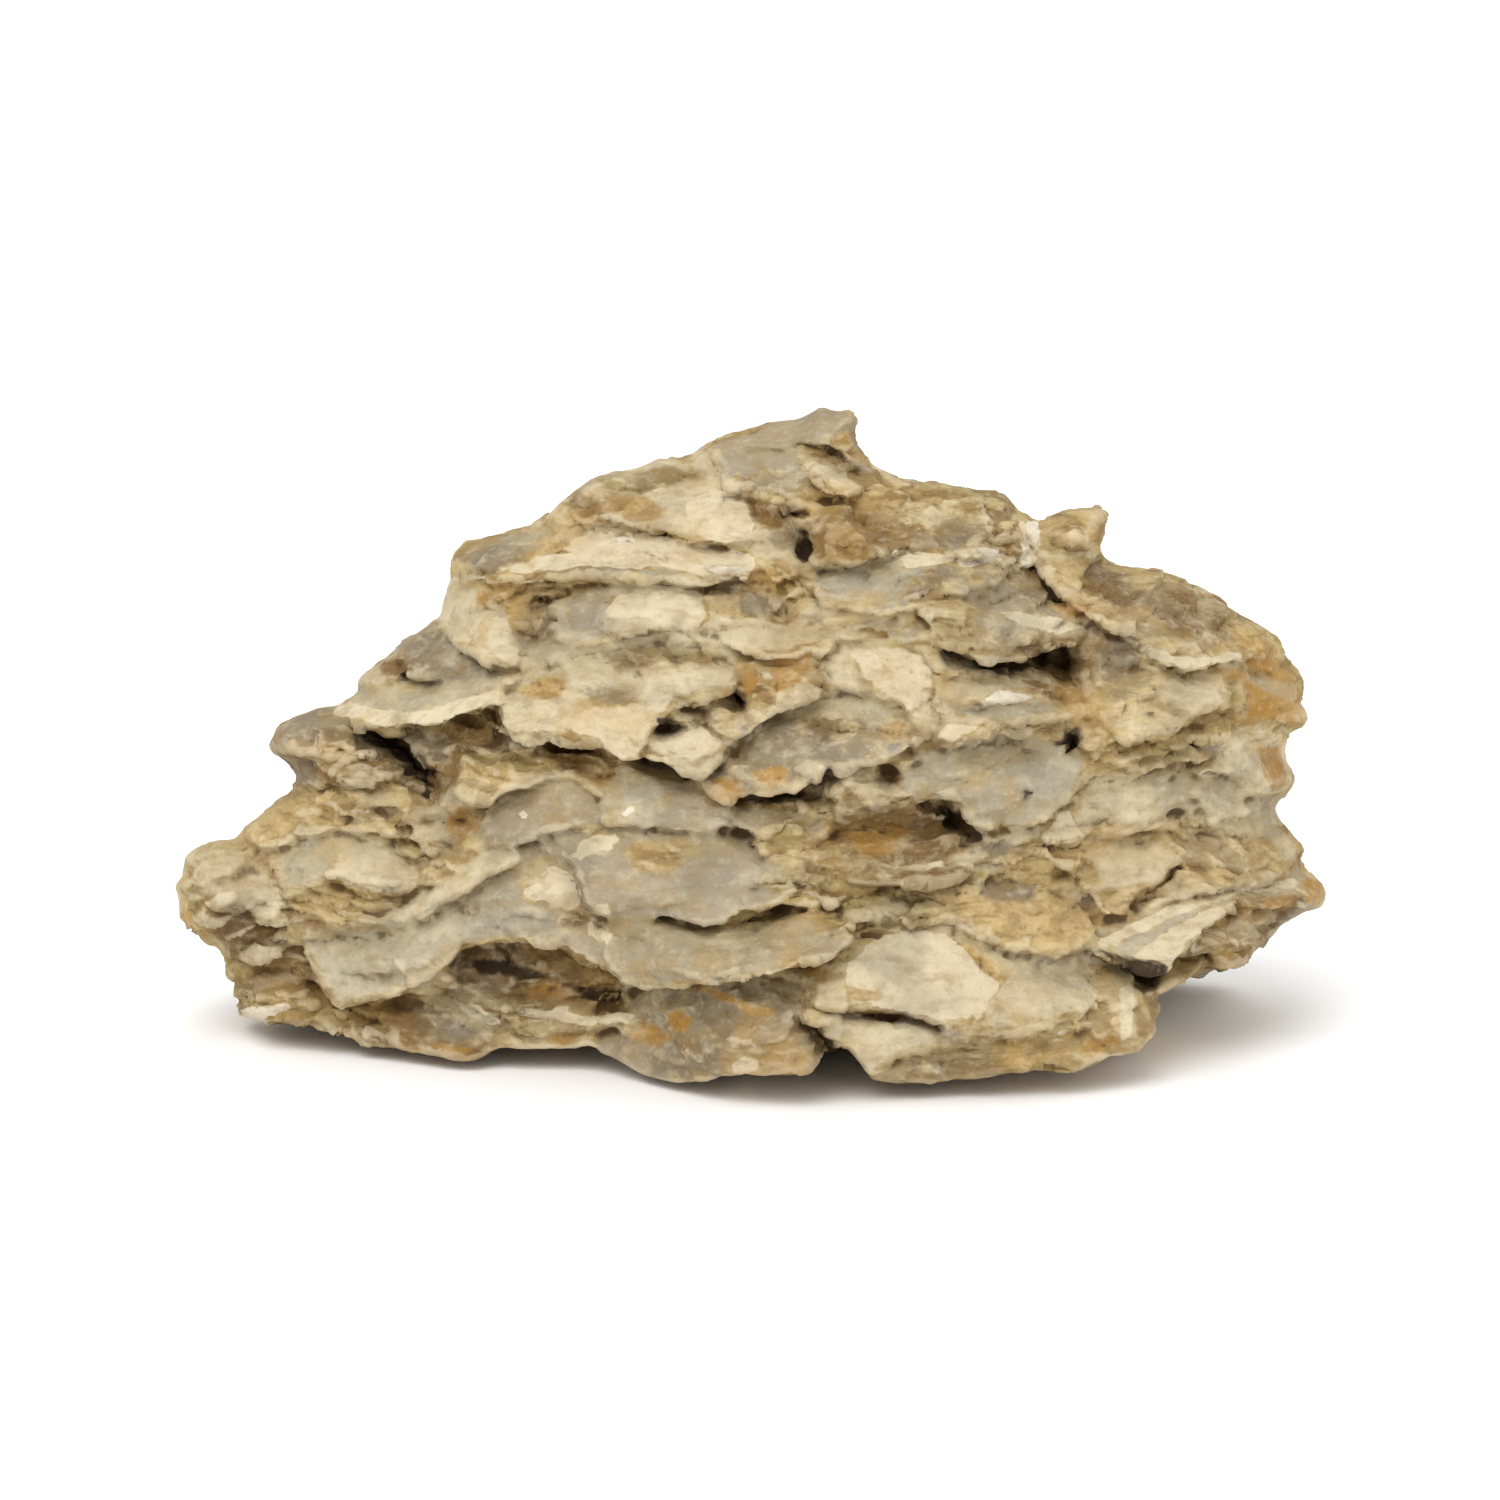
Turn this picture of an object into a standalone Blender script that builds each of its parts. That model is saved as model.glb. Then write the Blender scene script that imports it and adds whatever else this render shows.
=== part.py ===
"""Dragon stone: one flaky, layered stone, modelled as a single solid that rests on a flat spot.

The stone is first laid out as a flat slab in the plane of its front view. The slab is then blown up
to its real depth, and every flake, ledge, hollow and slit is raised from it or sunk into it.
"""
import bmesh
import bpy
import numpy as np

# Real sizes, in millimetres
STONE_WIDTH = 230.0
FRONT_DEPTH = 57.0
BACK_DEPTH = 66.0
FULL_DEPTH_REACH = 110.0
DEPTH_POWER = 0.46
RIDGE_SETBACK = 15.0
RIDGE_HEIGHT = 120.0
RIM_HALF_THICKNESS = 1.6
RIM_FADE = 5.0
RIDGE_SWING = 9.0
DEPTH_SWING = 0.13
RESTING_SPOT = (58.0, 34.0)
FOOT_LIFT = 7.0
CUT_HEIGHT = 0.5

# The front view: a look 12 degrees down from a distance, its outlines given in photo pixels
VIEW_TILT = np.radians(12.0)
VIEW_DISTANCE = 1500.0
LEFT_PIXEL = 175
RIGHT_PIXEL = 1325
MIDDLE_PIXEL = 750
LOWEST_PIXEL = 1087
FOOT_DROP = 12.0
PIXEL = STONE_WIDTH / (RIGHT_PIXEL - LEFT_PIXEL)

# Mesh spacing in millimetres, and the face budget
SLAB_HALF_THICKNESS = 12.0
SLAB_SPACING = 1.3
BODY_SPACING = 1.5
MAX_TRIANGLES = 9600
EDGE_SOFTNESS = 0.9
DOWNWARD_SHEAR = 0.22

# Loose tiles that cover what the named flakes leave free
TILE_SIZE = (30.0, 12.0)
TILE_COUNT = 190
FRONT_TILE_RAISE = 2.5
BACK_TILE_RAISE = 7.0
SIDE_TILE_SIZE = (26.0, 26.0, 11.0)
SIDE_TILE_COUNT = 420
SIDE_LEDGE_DEPTH = 8.0
SIDE_LEDGE_SLOPE = 3.0
SEED = 11

STONE_COLOR = (0.50, 0.42, 0.28, 1.0)
STONE_ROUGHNESS = 0.85

# Rim of the front view, from the lower left corner over the peak to the right tip
RIM = (
    (245, 1022), (238, 1013), (240, 1000), (235, 985), (228, 975), (225, 960), (220, 948), (205, 940),
    (182, 915), (178, 895), (175, 888), (187, 868), (186, 858), (200, 847), (218, 840), (240, 840),
    (244, 827), (262, 815), (300, 785), (296, 770), (277, 755), (271, 747), (277, 730), (290, 723),
    (320, 708), (340, 706), (360, 692), (358, 680), (375, 667), (400, 645), (430, 625), (440, 618),
    (446, 592), (452, 580), (451, 560), (467, 543), (500, 535), (530, 528), (562, 502), (590, 480),
    (613, 472), (635, 472), (660, 459), (680, 460), (700, 449), (740, 433), (770, 423), (800, 418),
    (820, 408), (838, 412), (850, 412), (858, 418), (853, 432), (863, 450), (870, 463), (895, 478),
    (925, 484), (950, 486), (975, 493), (1003, 495), (1018, 512), (1040, 521), (1063, 512), (1080, 508),
    (1100, 511), (1107, 517), (1098, 545), (1105, 561), (1140, 570), (1180, 580), (1210, 595),
    (1240, 618), (1280, 645), (1284, 658), (1301, 683), (1300, 708), (1308, 721), (1285, 731),
    (1283, 760), (1297, 779), (1275, 800), (1280, 820), (1298, 845), (1300, 865), (1325, 895),
    (1323, 905),
)

# Foot of the front view, from the right tip back to the lower left corner
FOOT = (
    (1298, 914), (1275, 930), (1238, 966), (1205, 970), (1175, 985), (1148, 997), (1150, 1010),
    (1158, 1028), (1140, 1050), (1107, 1053), (1088, 1070), (1055, 1083), (960, 1084), (866, 1080),
    (850, 1062), (825, 1058), (793, 1077), (745, 1087), (715, 1088), (655, 1078), (620, 1057),
    (592, 1045), (500, 1045), (455, 1065), (423, 1060), (405, 1052), (345, 1048), (300, 1025),
    (260, 1028),
)

# Flakes in the order they are laid down: name, raise at the upper edge, raise at the lower edge,
# crown in the middle (all in millimetres towards the viewer), outline
FLAKES = (
    ("peak_cap", 0, 3, 0.5, ((700, 449), (740, 433), (785, 418), (830, 408), (858, 418), (853, 432),
     (870, 455), (872, 470), (850, 470), (820, 452), (800, 449), (740, 447))),
    ("peak_face", 1, 3.5, 0, ((722, 449), (760, 446), (800, 450), (797, 470), (800, 485), (795, 500),
     (775, 492), (730, 490), (722, 478))),
    ("peak_tongue", 2, 5, 0.5, ((803, 458), (822, 462), (840, 475), (855, 485), (850, 494), (835, 497),
     (825, 490), (815, 482), (805, 475))),
    ("upper_left_face", -1, 4, 0.5, ((570, 497), (600, 478), (640, 472), (680, 462), (712, 445),
     (722, 470), (725, 490), (750, 500), (760, 515), (770, 530), (745, 540), (700, 541), (655, 536),
     (620, 520), (600, 515), (575, 512))),
    ("upper_right_crumble", -1, 4, 0, ((870, 482), (910, 484), (960, 492), (1003, 497), (1020, 515),
     (1022, 540), (1010, 565), (960, 552), (900, 550), (875, 550), (885, 530), (890, 512))),
    ("brown_knob", 0, 6, 2, ((815, 510), (835, 503), (870, 500), (890, 515), (885, 535), (870, 550),
     (855, 562), (835, 566), (812, 558), (806, 540))),
    ("horn", 1, 3, 1, ((1040, 521), (1063, 512), (1080, 508), (1107, 517), (1098, 553), (1080, 552),
     (1060, 548), (1045, 540))),
    ("right_shoulder", 0, 5, 1.5, ((1040, 560), (1105, 561), (1180, 580), (1240, 618), (1284, 650),
     (1260, 657), (1220, 662), (1165, 667), (1150, 657), (1130, 640), (1100, 620), (1070, 600),
     (1045, 577))),
    ("right_mid_plate", 0, 3.5, 1, ((1145, 672), (1180, 669), (1215, 666), (1240, 690), (1220, 705),
     (1195, 720), (1170, 735), (1130, 737), (1108, 720), (1098, 700), (1115, 685))),
    ("right_edge_rubble", -1, 2, 0, ((1240, 665), (1284, 655), (1301, 683), (1308, 721), (1284, 731),
     (1283, 760), (1292, 785), (1250, 795), (1225, 770), (1200, 745), (1225, 710))),
    ("left_shelf", -1, 6, 0, ((450, 562), (467, 543), (530, 528), (580, 518), (612, 517), (650, 530),
     (700, 542), (745, 553), (752, 564), (745, 577), (700, 582), (620, 578), (560, 577), (500, 582),
     (450, 584))),
    ("cream_block", 1, 5, 1, ((450, 586), (480, 583), (500, 596), (512, 613), (520, 640), (518, 662),
     (498, 666), (480, 660), (475, 650), (455, 640), (440, 625), (443, 602))),
    ("cream_face", 0, 4, 0.5, ((560, 592), (600, 582), (650, 580), (702, 587), (706, 610), (700, 627),
     (660, 632), (590, 639), (560, 634), (556, 612))),
    ("middle_strip", -2, 2, 0, ((706, 585), (748, 580), (800, 575), (822, 602), (800, 628), (760, 622),
     (715, 618))),
    ("long_ledge", 0, 5, 0, ((812, 568), (870, 562), (900, 548), (955, 552), (1012, 570), (1000, 582),
     (960, 592), (930, 602), (880, 612), (822, 602))),
    ("thin_ledge", 0, 5.5, 0, ((712, 621), (760, 626), (800, 631), (850, 626), (872, 641), (830, 652),
     (790, 657), (750, 651), (722, 640))),
    ("slit_roof", 1, 7, 1, ((920, 603), (950, 594), (985, 584), (1020, 586), (1050, 606), (1062, 626),
     (1092, 627), (1080, 642), (1050, 652), (1010, 664), (985, 660), (960, 650), (940, 640))),
    ("yellow_face", -1, 3, 0.5, ((835, 642), (880, 637), (940, 645), (930, 665), (930, 700), (942, 722),
     (925, 737), (900, 722), (885, 702), (850, 692), (828, 682))),
    ("white_ledge", 0, 7, 0, ((935, 672), (970, 677), (1025, 682), (1060, 702), (1077, 716), (1000, 722),
     (960, 740), (937, 738), (942, 718), (932, 700))),
    ("arch", 1, 5, 0, ((960, 742), (1000, 722), (1080, 718), (1125, 738), (1150, 770), (1110, 782),
     (1080, 780), (1090, 752), (1050, 730), (1000, 733))),
    ("grey_wedge", -2, 2, 0.5, ((425, 630), (440, 620), (455, 642), (475, 652), (482, 664), (540, 665),
     (525, 675), (470, 681), (410, 681), (388, 671), (385, 662), (400, 645))),
    ("long_swoosh", 1, 9, 0, ((357, 690), (385, 686), (440, 684), (520, 673), (600, 646), (640, 641),
     (620, 656), (560, 666), (505, 682), (500, 702), (470, 707), (440, 717), (400, 720), (368, 724),
     (342, 722), (350, 706))),
    ("central_tongue", 0, 10, 1, ((500, 687), (540, 662), (600, 647), (700, 641), (740, 652), (800, 662),
     (772, 677), (722, 692), (690, 697), (660, 717), (646, 735), (640, 767), (615, 767), (603, 742),
     (575, 737), (545, 740), (520, 735), (500, 717))),
    ("middle_rust", 0, 3, 0, ((742, 660), (790, 655), (815, 650), (832, 684), (800, 698), (770, 712),
     (735, 736), (700, 722), (668, 715), (692, 698), (730, 690))),
    ("cream_dish", -2, 5, 0, ((648, 728), (670, 720), (700, 724), (738, 740), (725, 762), (700, 771),
     (665, 766), (645, 758))),
    ("left_fin", 0, 5, 0, ((271, 747), (277, 730), (305, 715), (342, 706), (350, 716), (395, 772),
     (402, 780), (342, 783), (300, 787))),
    ("pink_rubble", -6, -2, 0, ((400, 724), (465, 716), (500, 735), (545, 742), (470, 760), (455, 785),
     (432, 798), (405, 770))),
    ("hollow_back", -5, -2, 0, ((545, 738), (605, 742), (640, 768), (600, 782), (560, 766), (530, 758))),
    ("olive_flake", -2, 4, 0.5, ((470, 747), (500, 751), (530, 760), (560, 766), (577, 782), (530, 787),
     (500, 792), (490, 801), (470, 797), (448, 784), (458, 765))),
    ("pink_plate", -1, 7, 1, ((700, 773), (735, 741), (770, 716), (800, 701), (850, 691), (898, 702),
     (922, 737), (900, 752), (860, 762), (830, 777), (800, 792), (760, 802), (735, 802), (712, 790))),
    ("blue_plate", -1, 5, 1, ((925, 747), (960, 746), (1000, 736), (1050, 736), (1088, 748), (1095, 762),
     (1080, 782), (1065, 802), (1030, 822), (1000, 827), (960, 822), (950, 808), (918, 802), (903, 790),
     (908, 765))),
    ("shell_upper_left", 0, 5, 1, ((490, 802), (530, 789), (577, 785), (606, 815), (612, 836), (570, 850),
     (520, 852), (492, 838))),
    ("shell_upper", 0, 7, 1, ((600, 783), (640, 768), (690, 766), (715, 792), (735, 806), (745, 828),
     (700, 832), (650, 822), (612, 834), (604, 812))),
    ("shell_middle", 3, 9, 1.5, ((582, 862), (600, 838), (650, 824), (700, 834), (745, 838), (790, 862),
     (800, 880), (740, 898), (690, 905), (662, 916), (622, 905), (590, 890))),
    ("shell_left", 2, 8, 0.5, ((478, 888), (520, 860), (585, 858), (590, 892), (592, 915), (600, 940),
     (612, 962), (580, 947), (555, 939), (540, 944), (510, 939), (478, 941), (470, 915))),
    ("shell_lobe", 4, 11, 1.5, ((592, 905), (625, 906), (665, 920), (722, 920), (795, 905), (830, 900),
     (852, 935), (800, 957), (760, 970), (700, 980), (650, 982), (622, 976), (603, 950))),
    ("left_shelf_low", 0, 5, 0.5, ((300, 787), (345, 782), (400, 787), (408, 802), (392, 830), (345, 828),
     (300, 832), (272, 850), (250, 842), (245, 832), (250, 820), (280, 800))),
    ("smooth_plate", 1, 6, 1.5, ((270, 852), (300, 834), (340, 830), (380, 834), (398, 842), (405, 857),
     (415, 867), (420, 882), (400, 894), (370, 892), (340, 882), (310, 887), (285, 892), (275, 877))),
    ("left_nose", 0, 3, 0.5, ((178, 892), (190, 864), (225, 842), (262, 848), (275, 880), (285, 915),
     (250, 925), (215, 938), (188, 915))),
    ("rough_band", 2, 4, 0, ((285, 893), (340, 885), (400, 895), (440, 886), (420, 914), (330, 930),
     (300, 932), (285, 915))),
    ("cream_streak", 4, 6, 0, ((400, 907), (440, 887), (480, 866), (515, 846), (522, 856), (490, 872),
     (462, 892), (420, 917))),
    ("scoop_band", 1, 4, 0, ((425, 866), (455, 852), (478, 842), (515, 846), (480, 866), (440, 886),
     (420, 880))),
    ("long_tongue", 1, 8, 1, ((303, 935), (330, 931), (380, 923), (420, 916), (450, 901), (480, 906),
     (478, 926), (465, 941), (450, 956), (430, 971), (400, 986), (375, 996), (348, 998), (333, 985),
     (315, 968), (303, 950))),
    ("dark_recess", -8, -4, 0, ((465, 948), (510, 942), (555, 943), (600, 966), (625, 984), (612, 1000),
     (560, 1003), (500, 1000), (455, 985), (445, 965))),
    ("left_foot", -1, 3, 0, ((228, 960), (300, 952), (318, 972), (340, 1000), (345, 1045), (300, 1024),
     (245, 1022), (238, 1000))),
    ("low_strip", -2, 4, 0, ((345, 1002), (400, 990), (455, 988), (520, 1003), (620, 1000), (645, 1022),
     (600, 1044), (500, 1044), (420, 1050), (345, 1047))),
    ("foot_knob", 2, 3, 1, ((405, 1040), (440, 1034), (500, 1038), (512, 1045), (475, 1058), (440, 1063),
     (423, 1060))),
    ("lilac_boat", -3, 5, 1.5, ((620, 986), (700, 982), (780, 966), (802, 971), (812, 986), (806, 1005),
     (798, 1020), (820, 1036), (845, 1055), (793, 1077), (745, 1087), (712, 1088), (655, 1078),
     (600, 1050), (590, 1035), (640, 1020))),
    ("rough_flake", 0, 4, 0, ((748, 826), (780, 815), (812, 818), (825, 850), (870, 856), (860, 866),
     (800, 868), (775, 858), (745, 850))),
    ("cream_rim", 1, 6, 0, ((840, 866), (870, 857), (925, 855), (970, 860), (980, 876), (930, 880),
     (880, 878), (840, 880))),
    ("speckled_band", 0, 4, 0.5, ((880, 884), (940, 882), (1000, 866), (1060, 862), (1105, 875),
     (1120, 905), (1090, 930), (1060, 955), (1000, 945), (950, 918), (900, 928), (855, 930),
     (835, 905))),
    ("cream_toe", 2, 9, 1.5, ((812, 1001), (818, 981), (835, 961), (860, 939), (900, 933), (945, 921),
     (970, 936), (1000, 960), (1060, 976), (1088, 1000), (1080, 1013), (1050, 1023), (1010, 1031),
     (970, 1031), (930, 1023), (890, 1011), (845, 1006))),
    ("toe_facet", 8, 3, 0, ((805, 1013), (845, 1010), (900, 1017), (960, 1031), (1000, 1036),
     (960, 1043), (900, 1051), (885, 1066), (870, 1079), (860, 1068), (845, 1045), (822, 1026))),
    ("toe_base", 0, 3, 0, ((870, 1078), (888, 1064), (905, 1052), (960, 1044), (1040, 1036),
     (1095, 1030), (1135, 1035), (1140, 1050), (1095, 1060), (1055, 1083), (960, 1084))),
    ("yellow_column", -2, 3, 0, ((1060, 975), (1095, 962), (1130, 965), (1148, 997), (1158, 1028),
     (1120, 1034), (1088, 1034), (1080, 1013), (1090, 998))),
    ("belly_upper", -1, 4, 0, ((1090, 752), (1150, 772), (1200, 762), (1240, 780), (1245, 812),
     (1190, 826), (1120, 832), (1060, 838), (1030, 824), (1065, 803), (1082, 782))),
    ("belly_lower", 0, 5, 0.5, ((1030, 842), (1110, 838), (1190, 832), (1245, 818), (1282, 826),
     (1298, 850), (1296, 872), (1240, 884), (1180, 894), (1130, 912), (1105, 905), (1060, 858))),
    ("right_ledge", 2, 10, 0, ((1085, 945), (1100, 931), (1130, 916), (1180, 896), (1240, 886),
     (1290, 876), (1322, 886), (1325, 900), (1300, 902), (1240, 902), (1215, 912), (1195, 932),
     (1175, 952), (1160, 965), (1140, 965), (1120, 957), (1100, 950))),
    ("ledge_underside", 2, -3, 0, ((1215, 914), (1240, 904), (1322, 902), (1298, 914), (1275, 930),
     (1238, 964), (1205, 970), (1180, 955), (1197, 932))),
)

# Hollows with rounded floors: name, depth in millimetres, reach of the sloping wall, outline
HOLLOWS = (
    ("peak_recess", 9, 5, ((757, 498), (795, 502), (815, 508), (806, 530), (812, 560), (780, 548),
     (765, 522))),
    ("block_hollow", 5, 6, ((498, 584), (556, 582), (558, 612), (556, 640), (525, 645), (512, 612))),
    ("right_cavity", 13, 5, ((1035, 652), (1075, 652), (1082, 672), (1076, 698), (1055, 700),
     (1040, 678))),
    ("left_cavity", 17, 5, ((345, 726), (395, 728), (402, 745), (420, 762), (433, 780), (430, 800),
     (417, 796), (398, 772), (372, 750))),
    ("brown_notch", 7, 4, ((465, 708), (500, 705), (503, 722), (520, 737), (488, 734))),
    ("tongue_hollow", 8, 5, ((540, 741), (575, 740), (605, 745), (612, 766), (580, 776), (552, 762))),
    ("rust_scoop", 10, 8, ((410, 803), (440, 799), (480, 798), (490, 806), (487, 827), (475, 842),
     (455, 850), (432, 852), (412, 838))),
    ("long_hollow", 11, 6, ((825, 842), (850, 822), (900, 818), (940, 812), (968, 806), (966, 838),
     (940, 856), (880, 858), (840, 856))),
    ("wing_recess", 9, 4, ((690, 918), (730, 918), (770, 902), (800, 902), (792, 922), (760, 932),
     (730, 930))),
    ("toe_hollow", 8, 4, ((790, 974), (800, 958), (836, 952), (832, 962), (818, 978), (812, 990))),
    ("foot_gap", 14, 3, ((800, 1022), (818, 1030), (845, 1048), (862, 1076), (845, 1066),
     (822, 1060))),
    ("ledge_recess", 11, 4, ((1088, 950), (1118, 957), (1150, 970), (1172, 966), (1150, 988),
     (1120, 976), (1095, 964))),
    ("arch_hole", 12, 3, ((1056, 728), (1078, 726), (1088, 738), (1084, 749), (1064, 749))),
    ("nose_hollow", 5, 4, ((248, 872), (268, 868), (276, 882), (262, 892), (250, 888))),
)

# Round pits: name, middle, half width, half height, depth
PITS = (
    ("ring_pit", (587, 505), 13, 10, 4),
    ("middle_pit", (735, 697), 12, 14, 7),
    ("dish_pit", (668, 722), 17, 8, 7),
    ("low_pit", (885, 777), 12, 13, 5),
    ("pebble_hole", (1190, 744), 7, 6, 5),
    ("flake_pit", (1172, 820), 14, 16, 4),
    ("crumble_pit", (975, 507), 9, 5, 4),
    ("face_pit", (542, 603), 8, 8, 4),
    ("belly_pit", (1028, 790), 8, 5, 4),
    ("small_pit", (953, 932), 5, 5, 3),
    ("wedge_pit", (400, 670), 9, 6, 4),
)

# Slits: name, half width in millimetres, depth, the points that it runs through
SLITS = (
    ("peak_slit", 1.0, 8, ((803, 450), (822, 454), (840, 463), (856, 477))),
    ("recess_corner", 1.4, 8, ((808, 532), (806, 556))),
    ("shoulder_slit", 1.0, 9, ((1030, 572), (1045, 585), (1060, 600))),
    ("long_slit", 1.7, 14, ((950, 654), (985, 668), (1015, 668), (1042, 678))),
    ("tongue_slit", 1.1, 11, ((636, 766), (660, 770), (686, 777))),
    ("plate_slit", 1.6, 13, ((738, 803), (775, 800), (812, 792), (835, 774))),
    ("arc_slit_low", 1.0, 8, ((726, 834), (742, 838), (752, 845), (770, 836), (785, 820))),
    ("hollow_end", 2.6, 10, ((925, 812), (950, 812), (955, 832), (966, 844))),
    ("lobe_slit", 0.9, 7, ((662, 917), (690, 922), (715, 920))),
    ("toe_slit", 1.0, 9, ((845, 1007), (875, 1009), (905, 1014), (935, 1024))),
    ("foot_slit", 1.2, 10, ((845, 1050), (858, 1068), (864, 1080))),
    ("ledge_slit", 1.6, 11, ((1140, 985), (1165, 972), (1205, 964))),
    ("scoop_arc", 0.9, 6, ((395, 838), (412, 856), (430, 868), (450, 856))),
    ("wedge_slit", 0.9, 6, ((410, 682), (440, 682))),
    ("belly_crease", 0.8, 5, ((1135, 905), (1155, 890), (1180, 872))),
    ("seam", 0.8, 4, ((1022, 522), (1030, 545), (1042, 568))),
    ("boat_edge", 1.0, 6, ((590, 1012), (625, 1000), (650, 990))),
)


def front_view(points):
    """Photo pixels as millimetres right of the middle and up from the foot."""
    places = np.array(points, dtype=float)
    right = (places[:, 0] - MIDDLE_PIXEL) * PIXEL
    up = (LOWEST_PIXEL - places[:, 1]) * PIXEL - FOOT_DROP
    return np.column_stack((right, up))


def smooth(low, high, value):
    """A soft step from 0 at low to 1 at high."""
    share = np.clip((value - low) / (high - low), 0.0, 1.0)
    return share * share * (3.0 - 2.0 * share)


def lattice_noise(points, size, seed):
    """Smooth noise between -1 and 1, from random values on a lattice of the given size."""
    values = np.random.default_rng(seed).uniform(-1.0, 1.0, (32, 32, 32))
    scaled = points / size
    cell = np.floor(scaled).astype(int)
    part = scaled - cell
    part = part * part * (3.0 - 2.0 * part)
    total = np.zeros(len(points))
    for dx in (0, 1):
        for dy in (0, 1):
            for dz in (0, 1):
                corner = np.abs(1 - np.array((dx, dy, dz)) - part).prod(axis=1)
                index = (cell + (dx, dy, dz)) % 32
                total += corner * values[index[:, 0], index[:, 1], index[:, 2]]
    return total


def distance_to_line(right, up, line):
    """Distance from each place to an open line of points."""
    nearest = np.full(len(right), 1e9)
    for (x1, y1), (x2, y2) in zip(line[:-1], line[1:]):
        along_x, along_y = x2 - x1, y2 - y1
        length_squared = max(along_x ** 2 + along_y ** 2, 1e-9)
        share = np.clip(((right - x1) * along_x + (up - y1) * along_y) / length_squared, 0.0, 1.0)
        gap = np.hypot(right - x1 - share * along_x, up - y1 - share * along_y)
        nearest = np.minimum(nearest, gap)
    return nearest


def inside_outline(right, up, outline):
    """True for the places that lie within a closed outline."""
    inside = np.zeros(len(right), dtype=bool)
    for (x1, y1), (x2, y2) in zip(outline, np.roll(outline, -1, axis=0)):
        if y1 == y2:
            continue
        crosses = ((y1 > up) != (y2 > up)) & (right < (x2 - x1) * (up - y1) / (y2 - y1) + x1)
        inside ^= crosses
    return inside


def depth_inside(right, up, outline):
    """Distance to the outline, positive inside it and negative outside."""
    closed = np.vstack((outline, outline[:1]))
    gap = distance_to_line(right, up, closed)
    return np.where(inside_outline(right, up, outline), gap, -gap)


def share_of_drop(right, up, outline):
    """0 at the outline's upper edge and 1 at its lower edge, column by column."""
    highest = np.full(len(right), -1e9)
    lowest = np.full(len(right), 1e9)
    for (x1, y1), (x2, y2) in zip(outline, np.roll(outline, -1, axis=0)):
        if x1 == x2:
            continue
        spans = (right >= min(x1, x2)) & (right <= max(x1, x2))
        edge = y1 + (y2 - y1) * (right - x1) / (x2 - x1)
        highest = np.where(spans, np.maximum(highest, edge), highest)
        lowest = np.where(spans, np.minimum(lowest, edge), lowest)
    return np.clip((highest - up) / np.maximum(highest - lowest, 1.0), 0.0, 1.0)


def tile_relief(right, up, seed, height):
    """Random tiles whose lower edges stand proud, as layered flakes do."""
    rng = np.random.default_rng(seed)
    seeds = np.column_stack((rng.uniform(-125, 125, TILE_COUNT), rng.uniform(-30, 130, TILE_COUNT)))
    raises = rng.uniform(0.25, 1.0, TILE_COUNT) * height
    nearest = np.full(len(right), 1e9)
    relief = np.zeros(len(right))
    for (seed_right, seed_up), rise in zip(seeds, raises):
        across = (right - seed_right) / TILE_SIZE[0]
        above = (up - seed_up) / TILE_SIZE[1]
        gap = across ** 2 + above ** 2
        closer = gap < nearest
        nearest = np.where(closer, gap, nearest)
        relief = np.where(closer, rise * np.clip(0.5 - 0.6 * above, 0.0, 1.0), relief)
    return relief


def front_relief(right, up):
    """How far the front stands out from the blown-up slab, in millimetres."""
    flat = np.column_stack((right, up, np.zeros(len(right))))
    right = right + 1.3 * lattice_noise(flat, 9.0, SEED) + 0.5 * lattice_noise(flat, 3.0, SEED + 1)
    up = up + 1.1 * lattice_noise(flat, 9.0, SEED + 2) + 0.5 * lattice_noise(flat, 3.0, SEED + 3)
    relief = tile_relief(right, up, SEED + 4, FRONT_TILE_RAISE)
    for name, top_raise, low_raise, crown, pixels in FLAKES:
        outline = front_view(pixels)
        depth = depth_inside(right, up, outline)
        drop = share_of_drop(right, up, outline)
        raised = top_raise + (low_raise - top_raise) * drop ** 1.3 + crown * smooth(0.0, 8.0, depth)
        cover = smooth(-EDGE_SOFTNESS, EDGE_SOFTNESS, depth)
        relief = relief * (1.0 - cover) + raised * cover
    for name, depth_mm, wall, pixels in HOLLOWS:
        relief -= depth_mm * smooth(-0.8, wall, depth_inside(right, up, front_view(pixels)))
    for name, middle, half_width, half_height, depth_mm in PITS:
        centre = front_view((middle,))[0]
        across = (right - centre[0]) / (half_width * PIXEL)
        above = (up - centre[1]) / (half_height * PIXEL)
        relief -= depth_mm * smooth(1.25, 0.35, np.hypot(across, above))
    for name, half_width, depth_mm, pixels in SLITS:
        gap = distance_to_line(right, up, front_view(pixels))
        relief -= depth_mm * smooth(half_width + 0.9, half_width * 0.6, gap)
    return relief


def make_slab():
    """A flat slab with the outline of the front view, in the X-Z plane."""
    outline = front_view(RIM + FOOT)
    count = len(outline)
    near = [(right, -SLAB_HALF_THICKNESS, up) for right, up in outline]
    far = [(right, SLAB_HALF_THICKNESS, up) for right, up in outline]
    faces = [tuple(range(count)), tuple(reversed(range(count, 2 * count)))]
    for step in range(count):
        after = (step + 1) % count
        faces.append((after, step, step + count, after + count))
    mesh = bpy.data.meshes.new("slab")
    mesh.from_pydata(near + far, [], faces)
    slab = bpy.data.objects.new("dragon_stone", mesh)
    bpy.context.collection.objects.link(slab)
    return slab


def apply_modifiers(thing):
    """Swaps an object's mesh for the one that its modifiers make."""
    shown = thing.evaluated_get(bpy.context.evaluated_depsgraph_get())
    old_mesh = thing.data
    thing.data = bpy.data.meshes.new_from_object(shown)
    thing.modifiers.clear()
    bpy.data.meshes.remove(old_mesh)


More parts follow.
